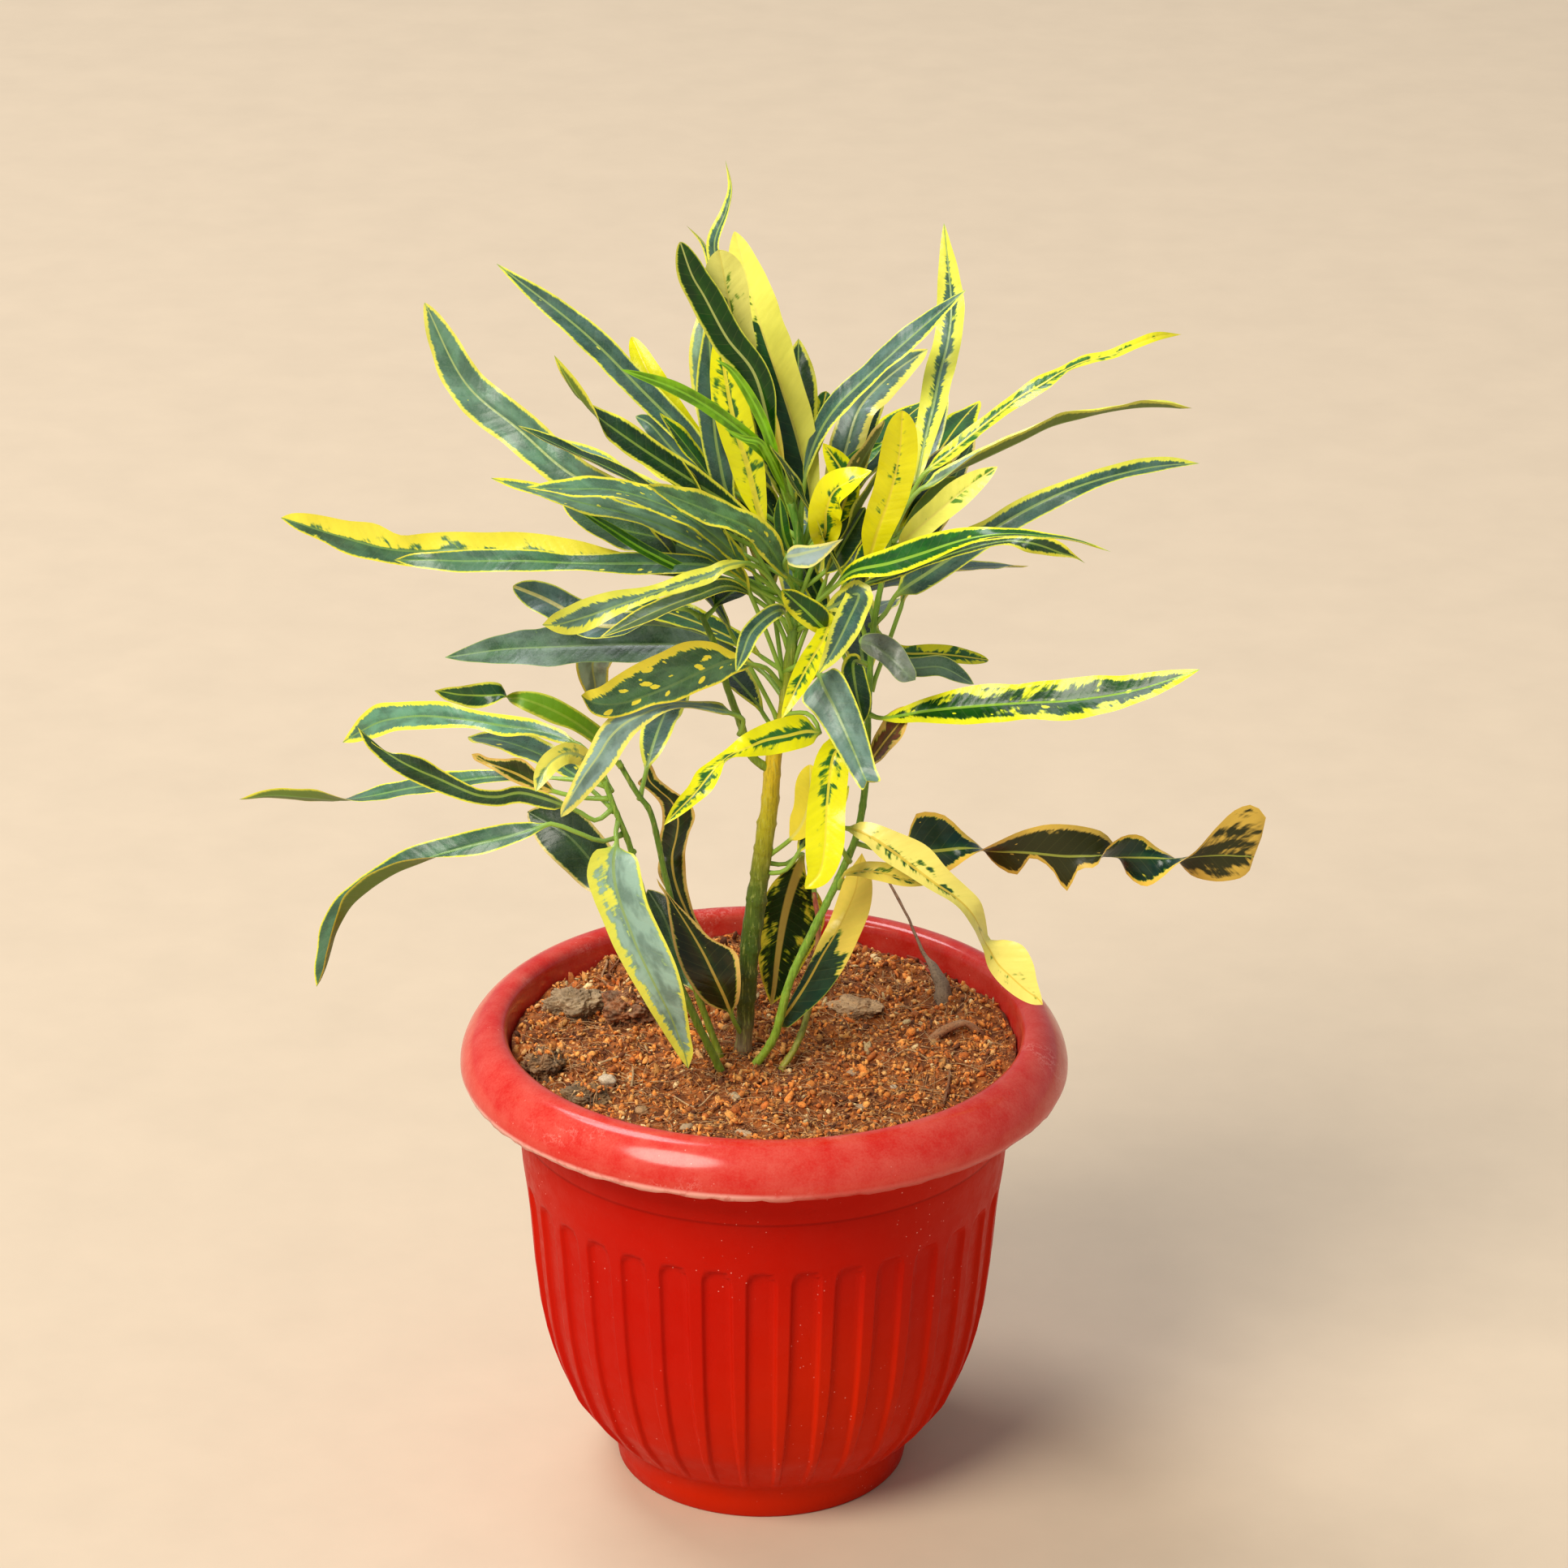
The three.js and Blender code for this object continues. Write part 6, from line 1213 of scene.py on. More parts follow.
        path=[(1071, 878, 14), (1090, 884, 22), (1140, 876, 27), (1200, 870, 31), (1260, 866, 34),
        (1320, 863, 36), (1400, 850, 37), (1478, 825, 37)]),
    brownUnder=dict(on="right_stem", look="brown", wide=16, stalk=4, fold=8, wave=0.6, blunt=0, turn=[50],
        margin=1.4, body=(120, 58, 34), gold=[[0.3, 0.4]], path=[(1069, 950, 15), (1073, 938, 18),
        (1088, 916, 20), (1106, 893, 21), (1122, 870, 21)]),
    centreYellow=dict(on="right_stem", look="yellow", wide=16, stalk=10, fold=8, wave=0.8, blunt=0.4,
        gold=[[0.5, 0.65, 0.7, 0.85, 0.95, 1]], path=[(1066, 950, 16), (1048, 920, 24), (1030, 926, 27),
        (1019, 990, 33), (1016, 1045, 37), (1009, 1076, 38), (992, 1095, 38)]),
    rightDroop=dict(on="right_stem", look="ochre", fold=14, trim=(255, 238, 120), gold=[[0.74, 0.74, 0.8,
        0.9, 0.85, 0.9], [0.6, 0.62, 0.72, 0.85, 0.8, 0.9]], path=[(1042, 1062, 22), (1032, 1038, 27),
        (1034, 1020, 30), (1040, 1019, 31), (1068, 1028, 36), (1100, 1049, 39), (1129, 1071, 41),
        (1153, 1089, 42), (1177, 1105, 42), (1196, 1123, 42), (1207, 1141, 41), (1211, 1155, 41),
        (1219, 1169, 41), (1229, 1187, 41), (1247, 1205, 42), (1265, 1221, 43), (1279, 1231, 44),
        (1285, 1238, 44)], sides=[(-1, -6, 0, 6, -2), (4, -15, -5, 9, -3), (8, -23, -13, 10, -3),
        (14, -28, -10, 8, -3), (14, -19, -8, 7, -3), (14, -13, -6, 6, -4), (12, -12, -7, 4, -5),
        (7, -6, -7, 3, -6), (8, 2, -5, 2, -6), (21, -11, -8, 0, -4), (31, -22, -12, 4, -2),
        (26, -18, -15, 7, 0), (13, -12, -9, 10, 0), (4, -4, -6, 7, 0)]),
    lowYellowDark=dict(on="right_stem", look="ochre", wide=11, stalk=6, fold=8, wave=0.6, blunt=0.1,
        turn=[60, 40], gold=[[0.8, 0.7, 0.75]], path=[(1029, 1092, 24), (1042, 1076, 28), (1080, 1074, 31),
        (1110, 1082, 32), (1142, 1090, 32)]),
    longTwisted=dict(on="right_stem", look="umber", fold=14, wave=0.15, margin=2, spots=0.25, dustAndSheen=0,
        trim=(250, 206, 84), back=(44, 46, 8), gold=[[0.1, 0.1, 0.1, 0.1, 0.3, 0.55]],
        path=[(1053, 1040, 21), (1075, 1046, 20), (1100, 1050, 19), (1118, 1051, 18), (1135, 1050, 18),
        (1160, 1048, 18), (1185, 1045, 18), (1208, 1045, 18), (1232, 1047, 18), (1251, 1048, 18),
        (1270, 1050, 18), (1290, 1052, 18), (1310, 1054, 18), (1330, 1055, 18), (1348, 1056, 18),
        (1368, 1057, 18), (1385, 1057, 18), (1405, 1057, 18), (1428, 1057, 18), (1448, 1057, 18),
        (1470, 1054, 18), (1495, 1053, 18), (1512, 1053, 18), (1526, 1054, 18), (1536, 1054, 18),
        (1542, 1055, 18), (1545, 1056, 18)], sides=[(1, -4, 1, 4, 0), (-1, -19, 2, 21, 0),
        (-7, -47, 5, 34, 0), (0, -45, 8, 26, -1), (3, -19, 7, 13, -5), (-2, -4, 0, 3, -8),
        (-4, 20, -4, -10, -6), (2, 30, 1, -22, -3), (0, 7, 1, -30, 0), (4, 17, 0, -36, 0),
        (4, 44, 5, -38, 1), (0, 16, 8, -36, 4), (2, 12, 12, -30, 6), (-6, -11, 9, -9, 9),
        (-3, -26, 3, 20, 6), (-1, -28, 5, 35, 0), (-1, -12, 2, 26, -5), (-1, 0, 1, 9, -8),
        (-2, 25, 4, -7, -6), (0, 33, 5, -35, -2), (2, 32, 10, -55, 0), (4, 27, 17, -62, 0),
        (4, 18, 24, -46, 0), (1, 7, 11, -19, 0)]),
    greenToYellow=dict(on="right_stem", look="ochre", fold=16, dustAndSheen=0, gold=[[0, 0, 0.05, 0.45, 1.1, 1.2,
        1.2]], path=[(950, 1284, 27), (956, 1268, 26), (977, 1238, 25), (996, 1208, 23), (1013, 1177, 22),
        (1030, 1149, 21), (1044, 1121, 19), (1054, 1096, 18), (1058, 1073, 17), (1062, 1051, 16)],
        sides=[(-4, 3, 4, 7, 0), (-6, -1, 11, 14, 0), (-12, 5, 24, 14, 0), (-15, 8, 28, 14, 0),
        (-21, 11, 28, 7, 0), (-21, 11, 27, 3, 0), (-21, 8, 21, 0, 0), (-17, 9, 14, 0, 0)]),
    archingLeft=dict(on="left_shoot", look="teal", margin=(0.6, 0.5), path=[(770, 1026, 34),
        (745, 1036, 39), (710, 1024, 43), (679, 1014, 44), (655, 1022, 45), (625, 1031, 45),
        (595, 1038, 45), (565, 1046, 44), (538, 1054, 43), (514, 1063, 42), (490, 1072, 41),
        (469, 1084, 40), (451, 1097, 39), (434, 1112, 38), (422, 1130, 36), (412, 1151, 35),
        (406, 1172, 34), (400, 1193, 33), (390, 1216, 32)], sides=[(-1, 5, 1, -3, 1), (-3, 10, 0, -10, 3),
        (-3, 13, 0, -17, 3), (-3, 15, 0, -18, 3), (-3, 10, 0, -19, 3), (-3, 3, -3, -20, 4),
        (-3, -5, -6, -21, 4), (-3, -10, -9, -15, 4), (-9, -10, -12, -12, 4), (-9, -10, -15, -11, 4),
        (-10, -8, -16, -10, 4), (-8, -4, -19, -6, 4), (-4, -1, -19, -3, 4), (-3, 0, -17, 3, 4),
        (-2, 0, -13, 3, 2)]),
    broadDarkLow=dict(on="left_shoot", look="charcoal", wide=22, fold=5, wave=0.8, blunt=0.3, margin=1,
        path=[(778, 1052, 34), (762, 1082, 26), (740, 1072, 22), (700, 1030, 20), (650, 1000, 16)]),
    frontLeftBroad=dict(on="left_shoot", fold=14, margin=(1.2, 2.8), body=(160, 194, 172), gold=[[0.3, 0.25,
        0.2, 0.2, 0.25, 0.8], [0.5, 0.6, 0.5, 0.42, 0.35, 0.9]], path=[(763, 1008, 33), (759, 1024, 39),
        (760, 1037, 43), (756, 1059, 47), (757, 1084, 50), (764, 1112, 52), (774, 1140, 53),
        (785, 1168, 54), (798, 1196, 54), (812, 1224, 53), (826, 1252, 51), (837, 1280, 49),
        (844, 1300, 48), (848, 1317, 47)], sides=[(5, 0, -7, -1, 0), (28, -4, -24, -10, 0),
        (34, -1, -34, -8, 0), (34, 0, -34, -8, 0), (36, -1, -32, -7, 0), (38, -2, -30, -4, 0),
        (36, -4, -27, -1, 0), (30, -4, -23, 2, 0), (21, -2, -19, 3, 0), (14, -2, -13, 2, 0),
        (10, -3, -9, 0, 0)]),
    darkLeftLow=dict(on="left_shoot", look="dark", fold=14, margin=0.6, dustAndSheen=0.5, path=[(757, 997, 33),
        (735, 1012, 37), (712, 1000, 38), (700, 995, 39), (670, 984, 39), (640, 977, 38), (613, 982, 37),
        (589, 980, 37), (565, 971, 36), (541, 960, 35), (517, 950, 35), (493, 938, 34), (472, 924, 33),
        (456, 910, 33), (440, 895, 32)], sides=[(0, 6, 0, -7, 0), (0, 12, 0, -8, 0), (0, 13, -3, -9, 0),
        (0, 12, 0, -9, 0), (-6, 10, 3, -8, 0), (-9, 11, 5, -8, 0), (-12, 12, 5, -11, 0),
        (-15, 10, 7, -15, 0), (-13, 8, 7, -10, 0), (-10, 6, 6, 3, 0), (-6, 7, 3, 6, 0)]),
    farLeftThin=dict(on="left_shoot", look="teal", wide=11.5, stalk=18, fold=8, wave=0.6, blunt=0,
        turn=[-45, -45, -45, -45, -50, -100, -135, -130], margin=0.5, path=[(746, 965, 31), (700, 958, 27),
        (655, 957, 23), (610, 957, 19), (560, 963, 15), (510, 970, 11), (430, 984, 5), (380, 981, 1),
        (330, 979, -3), (295, 985, -6)]),
    lowerLeftPale=dict(on="left_shoot", look="teal", fold=10, margin=1.6, body=(98, 150, 116),
        path=[(750, 975, 32), (735, 940, 20), (718, 922, 14), (712, 917, 12), (685, 906, 7), (655, 899, 3),
        (619, 894, -2), (583, 888, -7), (550, 884, -10), (517, 882, -13), (487, 885, -15), (466, 890, -17),
        (448, 899, -18), (434, 907, -19), (422, 915, -20)], sides=[(0, 5, 0, -5, 1), (0, 9, 3, -9, 4),
        (-3, 7, 3, -13, 4), (0, 13, 3, -13, 4), (0, 10, 0, -14, 4), (-3, 13, 0, -19, 4),
        (-3, 17, 0, -18, 4), (0, 16, 0, -20, 4), (0, 18, -3, -22, 4), (2, 13, -3, -17, 2),
        (2, 8, -2, -9, 1)]),
    smallVariegatedLow=dict(on="left_shoot", look="pale", wide=9, wave=0.5, margin=0.8, gold=[[0.6, 0.65]],
        path=[(747, 966, 31), (722, 935, 38), (700, 928, 41), (680, 938, 43), (668, 955, 44),
        (660, 975, 45)]),
    peachCurl=dict(on="left_shoot", look="brown", fold=14, margin=1.2, body=(70, 70, 30), gold=[[0.2]],
        path=[(752, 985, 32), (720, 984, 31), (682, 976, 29), (658, 965, 28), (637, 954, 27),
        (616, 946, 27), (598, 939, 26), (588, 933, 26), (581, 929, 26)], sides=[(-2, 4, 2, -5, 0),
        (-6, 7, 4, -15, 0), (-7, 8, 6, -19, 0), (-6, 4, 6, -11, 0), (-3, 3, 3, -6, 0), (-4, 3, 2, -5, 0)]),
    oliveArch=dict(on="left_twig", look="lime", fold=10, margin=0.8, path=[(764, 941, 8), (752, 930, 11),
        (735, 911, 14), (712, 893, 17), (690, 880, 18), (668, 870, 18), (650, 864, 18), (635, 859, 17),
        (626, 857, 17), (617, 856, 17), (603, 857, 17), (585, 857, 16), (565, 856, 16), (548, 853, 15),
        (535, 851, 15)], sides=[(5, -5, -5, 4, 0), (10, -11, -8, 3, -2), (13, -9, -9, 6, -3),
        (15, -9, -10, 11, -3), (12, -12, -8, 12, -3), (8, -12, -7, 10, -3), (3, -7, -4, 8, 0),
        (1, -1, 0, 3, 5), (-4, 9, 1, -13, 3), (-1, 13, 1, -17, 2), (-2, 16, 2, -15, 1), (-2, 12, 2, -11, 0),
        (-1, 9, 2, -6, 0)]),
    darkBehindFront=dict(on="left_twig", look="charcoal", wide=15, stalk=6, fold=5, wave=0.5, blunt=0.3,
        margin=0.4, path=[(860, 1222, 18), (848, 1210, 10), (832, 1168, 4), (818, 1130, 1),
        (798, 1096, -2)]),
    paleYoung=dict(on="low_shoot", look="cream", wide=9, stalk=5, fold=8, wave=0.4, trim=(255, 250, 150),
        gold=[[1]], path=[(1004, 1108, -2), (1003, 1085, -4), (1009, 1050, -7), (1013, 1012, -11)]),
    youngCurl=dict(look="young", wide=4.5, fold=10, wave=0.2, path=[(977, 620, 6), (957, 575, 12),
        (950, 545, 14), (925, 490, 15), (900, 455, 16), (882, 443, 16)]),
    youngTendril=dict(look="young", wide=3.4, fold=10, wave=0.2, path=[(978, 625, 6), (957, 585, 16),
        (945, 560, 20), (935, 545, 21), (915, 540, 21), (893, 528, 21)]),
    budLeft=dict(wide=8, stalk=30, blunt=0.6, path=[(982, 660, 1), (880, 590, -8), (835, 560, -12),
        (800, 522, -14), (783, 513, -15)]),
    limeUnder=dict(look="lime", wide=6.5, stalk=26, turn=[-110], path=[(983, 690, 3), (880, 628, 1),
        (825, 590, -2), (770, 550, -5)]),
    pinkSliver=dict(look="ochre", wide=10, stalk=24, turn=[55], gold=[[0.9]], path=[(981, 650, 2),
        (962, 560, -2), (946, 500, -4), (930, 435, -5)]),
    squareTip=dict(look="yellow", wide=8, stalk=30, fold=4, blunt=1, gold=[[0.6, 0.5]], path=[(983, 650, 0),
        (998, 560, -22), (1010, 520, -27), (1018, 482, -30)]),
    smallTipBack=dict(on="right_stem", wide=6, stalk=18, wave=0.2, turn=[20], margin=0.8,
        path=[(1104, 635, 12), (1140, 572, -16), (1155, 530, -22), (1168, 487, -26)]))

# Leaves on the far side and deep in the crown: the photo place they grow from, their bearing from
# straight back to the right, rise and droop in degrees, length, width and stalk in mm, and look.
farLeaves = {
    "main_stem": [
        ((960, 905, 5), -28, 22, 40, 118, 19, 14, "dark"),
        ((967, 878, 5), 24, 22, 36, 122, 20, 14, "grey"),
        ((971, 828, 4), -48, 16, 30, 112, 18, 14, "yellow"),
        ((976, 792, 4), 4, 20, 34, 134, 21, 14, "teal"),
        ((980, 760, 4), 60, 14, 26, 112, 18, 14, "grey"),
        ((982, 728, 4), -34, 26, 30, 130, 20, 14, "dark"),
        ((984, 695, 4), 28, 32, 30, 124, 19, 14, "yellow"),
        ((983, 662, 4), -8, 44, 28, 116, 18, 14, "teal"),
        ((962, 890, 5), -75, 64, 16, 118, 17, 42, "dark"),
        ((966, 872, 5), 70, 66, 18, 120, 17, 44, "bright"),
        ((968, 855, 4), -20, 68, 14, 126, 18, 40, "charcoal"),
        ((970, 842, 4), -110, 72, 12, 112, 15, 44, "dark"),
        ((972, 828, 4), 100, 74, 14, 112, 15, 42, "glossy"),
        ((974, 812, 4), 30, 62, 18, 124, 18, 38, "dark"),
        ((976, 800, 4), -50, 58, 18, 124, 18, 40, "glossy"),
        ((978, 784, 4), 80, 60, 20, 112, 16, 36, "charcoal"),
        ((980, 768, 4), -86, 66, 16, 104, 15, 36, "bright"),
        ((981, 750, 4), 0, 66, 16, 112, 17, 34, "dark"),
        ((982, 738, 4), 120, 70, 10, 92, 13, 36, "charcoal"),
        ((983, 720, 4), -30, 72, 14, 104, 15, 32, "glossy")],
    "right_stem": [
        ((1071, 880, 14), -60, 66, 16, 112, 16, 36, "dark"),
        ((1074, 850, 13), 40, 64, 18, 112, 16, 36, "charcoal"),
        ((1078, 800, 13), -100, 70, 12, 100, 14, 32, "glossy"),
        ((1070, 870, 14), -4, 20, 34, 116, 19, 14, "dark"),
        ((1078, 762, 13), -14, 22, 34, 118, 18, 14, "grey"),
        ((1092, 690, 12), 22, 34, 32, 112, 17, 14, "yellow")],
    "left_shoot": [
        ((757, 996, 33), -42, 20, 38, 96, 17, 14, "teal")],
    "left_twig": [
        ((788, 982, 9), 10, 30, 44, 92, 16, 14, "grey")]}
farFields = ("start", "bearing", "rise", "droop", "long", "wide", "stalk", "look")
farShape = dict(facesUp=True, turn=[0, 12], wave=0.8, margin=1.4, spots=0.5)
for stemName, rows in farLeaves.items():
    for row in rows:
        leaves[f"far{len(leaves)}"] = dict(on=stemName, **farShape, **dict(zip(farFields, row)))


def leafPlaces(leaf):
    # the midrib's photo places, opened out in depth towards the tip
    path = np.array(leaf["path"], float)
    path[:, 2] += leafShape["depthSpread"] * (path[:, 2] - path[0, 2]) * np.linspace(0, 1, len(path))
    return path


def givenEdges(leaf, index):
    # both edges at the wanted places along the blade, counted in its midrib points
    sides = np.vstack([np.array(leaf["sides"], float), np.zeros(5)])
    places = leafPlaces(leaf)[-len(sides):]
    edges = []
    for columns, nearer in (([0, 1], 1), ([2, 3], -1)):
        moved = places + np.column_stack([sides[:, columns], nearer * sides[:, 4]])
        line = curveSteps(fromPhoto(moved))[0]
        edges.append(readLine(line, np.arange(len(line)) / stepsPerPoint, index))
    return edges


def farMidrib(leaf, steps=6):
    # leaves the stem at its rise and bends down by its droop, keeping its bearing
    slope = np.radians(leaf["rise"] - leaf["droop"] * (np.arange(steps) + 0.5) / steps)
    bearing = math.radians(leaf["bearing"])
    level = np.cos(slope) * leaf["long"] / steps
    moves = np.stack([
        level * math.sin(bearing), level * math.cos(bearing), np.sin(slope) * leaf["long"] / steps], 1)
    start = fromPhoto([leaf["start"]])
    return np.vstack([start, start + np.cumsum(moves, axis=0)])


def bladeOutline(share, blunt):
    # quick rise, long sides that widen a little, then a tip that blunt rounds off
    base = np.sin(np.pi / 2 * np.minimum(1, share / 0.36)) ** 0.95
    past = np.maximum(0, (share - 0.56) / 0.44)
    sides = 0.9 + 0.1 * smoothStep(0.3, 0.7, share)
    return base * sides * np.maximum(1 - past ** (2.1 + 2.2 * blunt), 0) ** (0.9 - 0.3 * blunt)


stemLines = {
    name: np.vstack([smoothLine(fromPhoto(stem["path"]), np.linspace(0, 1, 500))[0] for stem in branches])
    for name, branches in stems.items()}
ringShare = np.array([-1, -0.88, -0.68, -0.45, -0.24, -0.09, 0, 0.09, 0.24, 0.45, 0.68, 0.88, 1])
ringAcross = np.concatenate([ringShare, ringShare[-2:0:-1]])
ringUnder = np.concatenate([[0.5], np.zeros(11), [0.5], np.ones(11)])
leafRows = leafShape["stalkRows"] + leafShape["bladeRows"] + 1
halfRing = len(ringAcross) // 2


def makeLeaf(leaf, number):
    # A closed shell along the midrib curve. Across it, height = half * sin(fold) * |u|^1.5 plus edge
    # waves; the underside is lower by thick * (1 - u^4) and a rounded rib; the stalk is round.
    points = farMidrib(leaf) if "bearing" in leaf else fromPhoto(leafPlaces(leaf))
    line = stemLines[leaf["on"]]
    points[0] = line[np.argmin(np.linalg.norm(line - points[0], axis=1))]
    reached = curveSteps(points)[1]
    length = reached[-1]
    isGiven = "sides" in leaf
    bladeStart = len(points) - len(leaf["sides"]) - 1 if isGiven else 0
    stalk = reached[stepsPerPoint * bladeStart] if isGiven else leaf["stalk"]
    stalkShare = stalk / length
    tau = np.linspace(0, 1, leafShape["bladeRows"] + 1)[:-1]
    bladeSteps = 1 - (1 - tau) ** (1.15 if isGiven else 1.45)
    shares = np.concatenate([
        np.linspace(0, stalkShare, leafShape["stalkRows"], endpoint=False),
        stalkShare + (1 - stalkShare) * bladeSteps, [1 - 0.0004]])
    place, along, _ = smoothLine(points, shares)
    blade = np.clip((shares - stalkShare) / (1 - stalkShare), 0, 1)
    travel = blade * length * (1 - stalkShare)
    u = ringAcross[None, :]
    if isGiven:
        index = np.interp(shares * length, reached[::stepsPerPoint], np.arange(len(points))) - bladeStart
        left, right = givenEdges(leaf, np.maximum(index, 0))
        toEdge = np.where(u[..., None] < 0, (left - place)[:, None], (right - place)[:, None])
        half = np.maximum(np.linalg.norm(toEdge, axis=-1), leafShape["leastHalf"])
        side = right - left
        side = unit(side - along * np.sum(side * along, axis=1, keepdims=True))
        normal = np.cross(side, along)
        outline = np.minimum(1, half / 4)
    else:
        facing = [[0, 0, 1.0]] + 0 * place if "facesUp" in leaf else eye - place
        flatSide = unit(np.cross(along, facing))
        flatNormal = np.cross(flatSide, along)
        turn = np.radians(listValue(leaf["turn"], shares))[:, None]
        side = flatSide * np.cos(turn) + flatNormal * np.sin(turn)
        normal = flatNormal * np.cos(turn) - flatSide * np.sin(turn)
        outline = bladeOutline(blade, leaf["blunt"])[:, None]
        uneven = np.stack(np.broadcast_arrays(travel[:, None] / 9, 2 * np.sign(u), number), -1)
        wavering = softNoise(uneven, 51) - 0.5
        half = leaf["wide"] / 2 * outline * (1 + 2 * leafShape["uneven"] * wavering)
        half = np.maximum(half, leafShape["leastHalf"])
        toEdge = side[:, None] * (half * np.sign(u))[..., None]
    fold = np.radians(leaf["fold"]) * np.minimum(1, outline * 2)
    edgeShare = np.abs(u) ** 1.5
    longWave = np.sin(number * 2.4 + blade * length / leafShape["longWave"])[:, None]
    shortWave = np.sin(2 * np.pi * travel / leafShape["shortWave"] + number)[:, None]
    ripple = leaf["wave"] * outline * longWave * np.sign(u) * edgeShare
    fineWave = 0.4 * leaf["wave"] * outline * np.abs(u) ** 2 * shortWave * np.where(u > 0, 1, 0.7)
    under = (ringUnder > 0.9)[None, :]
    offMiddle = half * u
    plump = np.minimum(1, half / 2)
    ribSize = leafShape["ribHeight"] * (1 - 0.75 * blade[:, None])
    drop = plump * (leafShape["thick"] * (1 - u ** 4) + ribSize * np.exp(-(offMiddle / 0.9) ** 2)) * under
    groove = plump * leafShape["ribGroove"] * np.exp(-(offMiddle / 0.6) ** 2) * ~under
    bow = edgeShare - np.abs(u) if isGiven else edgeShare
    bladeHeight = half * np.sin(fold) * bow + ripple + fineWave - drop - groove
    narrowed = np.abs(u) * (1 if isGiven else np.cos(fold))

    flare = 1 + 0.5 * np.exp(-shares * length / 2.5)[:, None]
    radius = leafShape["stalkRadius"] * flare
    stalkAcross = radius * np.sin(np.pi / 2 * u)
    stalkHeight = radius * (np.cos(np.pi / 2 * u) * np.where(under, -1, 1) - 1)
    share = smoothStep(0.0, 0.07, blade)[:, None]
    height = stalkHeight + (bladeHeight - stalkHeight) * share
    rings = (place[:, None] + side[:, None] * (stalkAcross * (1 - share))[..., None]
        + toEdge * (narrowed * share)[..., None] + normal[:, None] * height[..., None])
    ends = np.stack([rings[0].mean(axis=0) - along[0] * 0.2, rings[-1].mean(axis=0) + along[-1] * 0.1])
    quads, fans = ringFaces(len(rings), len(ringAcross))

    def packed(*channels):
        grid = np.stack([channel + 0 * height for channel in channels], -1).reshape(-1, len(channels))
        return np.vstack([grid, grid[:1], grid[-1:]])

    leftGold, rightGold = [listValue(leaf["gold"][k], blade)[:, None] for k in (0, -1)]
    gold = leftGold + (rightGold - leftGold) * smoothStep(-0.12, 0.12, u)
    margin = np.where(u < 0, *np.broadcast_to(leaf["margin"], 2))
    edge = half * (1 - np.abs(u))
    ribWide = leaf["ribWide"] * (1 - 0.6 * blade[:, None])
    values = dict(
        place=packed(travel[:, None], offMiddle, number, edge),
        marks=packed(gold, margin, ribWide, leaf["spots"]),
        state=packed(ringUnder, 1 - share, leaf["dustAndSheen"], blade[:, None]))
    for label in ("body", "trim", "back", "rib"):
        values[label] = packed(*tint(*leaf[label]), 1)
    return dict(points=np.vstack([rings.reshape(-1, 3), ends]), quads=quads, triangles=fans, values=values)


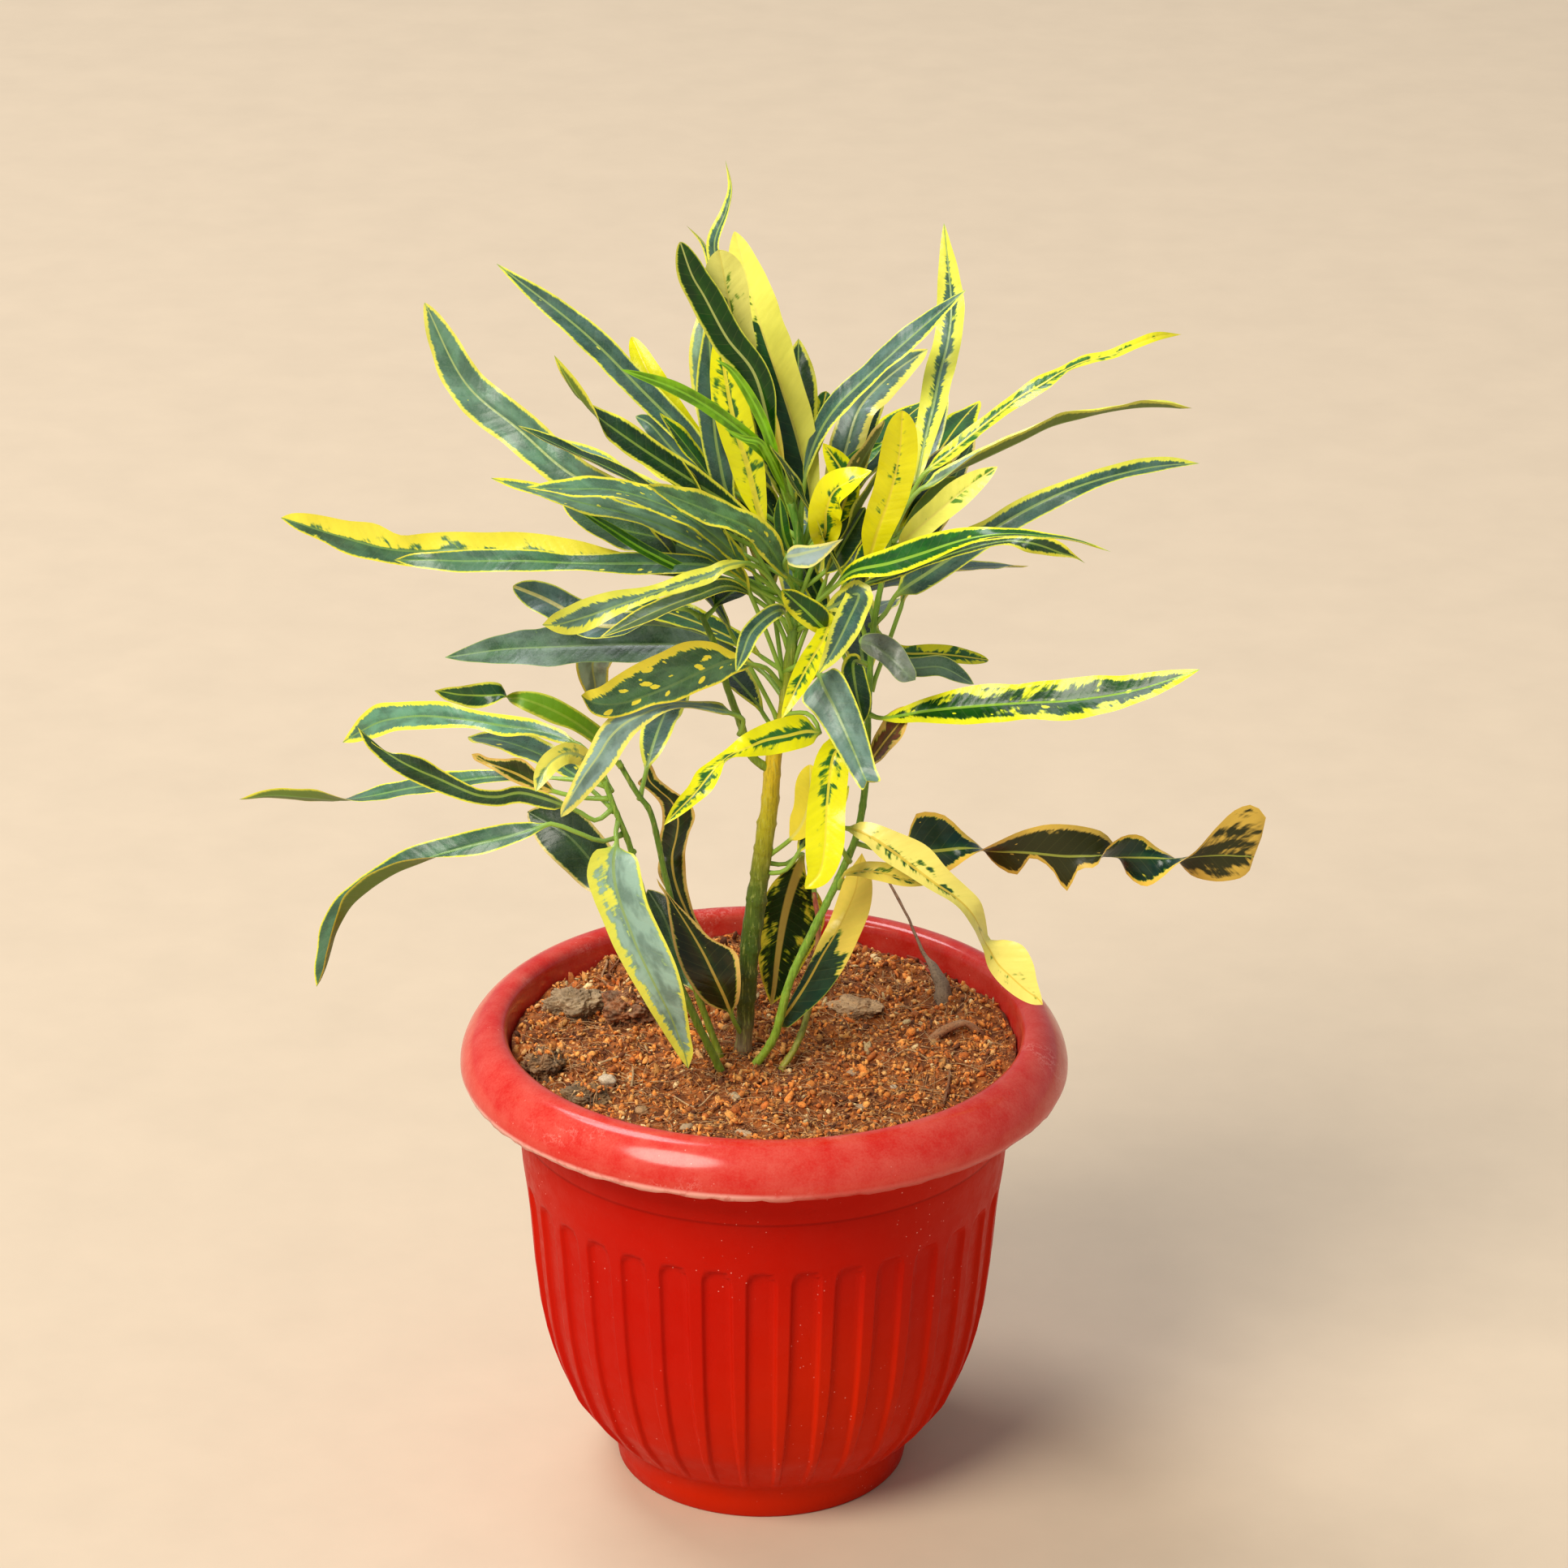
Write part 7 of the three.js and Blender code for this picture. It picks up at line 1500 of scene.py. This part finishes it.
def leafMaterial():
    # Green body with yellow along the side veins, in blotches, spots and a ragged margin; darker noise
    # patches of painted shade; a pale midrib, fine side veins in colour and relief, an olive underside
    # and grey-green dusting that is in part a painted sky sheen.
    material, tree, shader = newMaterial("crotonLeaf")
    _, travel, across, number, edge = readValues(tree, "place")
    _, gold, margin, ribWide, spots = readValues(tree, "marks")
    _, under, stalk, dustAndSheen, _ = readValues(tree, "state")
    body, trim, back, rib = [readValues(tree, name)[0] for name in ("body", "trim", "back", "rib")]
    away = maths("ABSOLUTE", across)
    slanted = travel - away * 0.75
    seed = number * 7.3

    streaks = noise(vector(slanted * 0.42, across * 0.13, seed), 1, 3, 0.6)
    blotches = noise(vector(travel * 0.1, across * 0.22, seed), 1, 2, 0.5)
    mixed = streaks * 0.9 + blotches * 1.1
    outward = away / (away + edge + 0.01)
    golden = between(mixed + (outward * 0.45 - 0.75) + gold, 0.84, 1.12)
    teeth = noise(vector(slanted * 1.3, across * 0.12, seed), 1, 2, 0.5)
    bordered = between(margin * (streaks + teeth) - edge, -0.6, 0.4)
    bent = slanted * 0.2 + streaks * 0.9
    spotCells = cells(vector(bent, across * 0.3, seed), 1)
    chosenSize = (spots - split(spotCells["Color"])[0]) * 0.55
    spotted = between(chosenSize - spotCells["Distance"], -0.03, 0.03)
    yellow = maths("MAXIMUM", maths("MAXIMUM", golden, bordered), spotted)

    nearRib = between(away, 0.5, 3.5, 0.7, 0)
    colour = blend(nearRib * streaks, body, blend(0.5, body, (70, 128, 30)))
    # darker deep-green noise patches: painted shade, for the uneven sheen over the face
    colour = blend(between(blotches, 0.36, 0.62, 0, 0.8), colour, blend(0.6, colour, (2, 36, 14)))
    warm = blend(between(streaks, 0.3, 0.7), blend(0.12, trim, (170, 180, 30)), trim)
    colour = blend(between(yellow, 0, 0.5), colour, blend(0.5, body, (150, 190, 30)))
    colour = blend(between(yellow, 0.25, 1), colour, warm)
    ribbed = between(away / ribWide, 0.75, 1.15, 1, 0)
    colour = blend(ribbed * 0.85, colour, rib)

    veinPhase = maths("FRACT", slanted / 4.8)
    veinRidge = maths("ABSOLUTE", veinPhase - 0.5) * 2
    veins = between(veinRidge, 0.86, 0.99)
    colour = blend(veins * 0.04, colour, (206, 216, 120))
    backColour = blend(yellow * 0.75, back, trim)
    backColour = blend(veins * 0.03, backColour, (190, 186, 110))
    backColour = blend(ribbed * 0.7, backColour, rib)
    isUnder = between(under, 0.46, 0.54)
    colour = blend(isUnder, colour, backColour)
    colour = blend(stalk, colour, leafShape["stalkColour"])

    # dusting on the face, in part real and in part a painted sky sheen; less on the back and on the yellow
    topDustAndSheen = dustAndSheen * 0.42 * (1 - isUnder * 0.6) * (1 - yellow * 0.75)
    feed(shader, withDustAndSheen(colour, 0.25 + isUnder * 0.2, topDustAndSheen, 0.06, (150, 172, 158)))
    feed(shader, {"Specular IOR Level": 0.36})
    sunkVeins = between(veinRidge, 0.3, 1) * -0.2
    addBump(shader, sunkVeins + noise(objectPlace(tree), 0.5, 3, 0.6) * 0.5, 0.2)
    return material


def bakeMap(count):
    # each leaf has its own column of the map: its face in the lower half, its back in the upper
    around = np.arange(len(ringAcross))
    row, column = np.meshgrid(np.arange(leafRows - 1), around, indexing="ij")

    def spot(step, ring, isBack):
        across = (ring - halfRing * isBack) / halfRing
        return np.stack([across * 0.9 + 0.05, (step / leafRows * 0.9 + 0.05 + isBack) / 2], -1)

    low, ring = row.ravel(), column.ravel()
    isBack = ring >= halfRing
    faces = [np.stack([
        spot(low, ring, isBack), spot(low, ring + 1, isBack),
        spot(low + 1, ring + 1, isBack), spot(low + 1, ring, isBack)], 1)]
    isBack = around >= halfRing
    for step, height in ((0, 0.03), (leafRows - 1, 0.93)):
        first, second = spot(step, around, isBack), spot(step, around + 1, isBack)
        tip = np.stack([(first + second)[:, 0] / 2, (height + isBack) / 2], 1)
        faces.append(np.stack([tip, first, second] if step else [tip, second, first], 1))
    quads, fans = faces[0], np.concatenate(faces[1:])
    moves = [np.array([number / count, 0]) for number in range(count)]
    return np.concatenate([
        (corners * [1 / count, 1] + move).reshape(-1, 2) for corners in (quads, fans) for move in moves])


def growLeaves():
    # the leaves of a stem are shared evenly among as few pieces as hold them
    finish = leafMaterial()
    byStem = {}
    for number, leaf in enumerate(leaves.values()):
        leaf = {**usualLeaf, **leaf}
        leaf = {**dict(zip(lookFields, looks[leaf["look"]])), **leaf}
        byStem.setdefault(leaf["on"], []).append(makeLeaf(leaf, number))
    isEdge = np.tile(np.arange(len(ringAcross)) % halfRing == 0, leafRows)
    sharp = np.concatenate([isEdge, [True, True]])
    for name, grown in byStem.items():
        perPiece = math.ceil(len(grown) / math.ceil(len(grown) / leafShape["mostInPiece"]))
        for start in range(0, len(grown), perPiece):
            chosen = grown[start:start + perPiece]
            part = joinParts(chosen)
            part["bakeMap"] = bakeMap(len(chosen))
            pieceName = f"leaves_{name}_{start // perPiece + 1}"
            makePiece(pieceName, part, finish, [name], np.tile(sharp, len(chosen)))


growLeaves()
print("the leaves are grown")
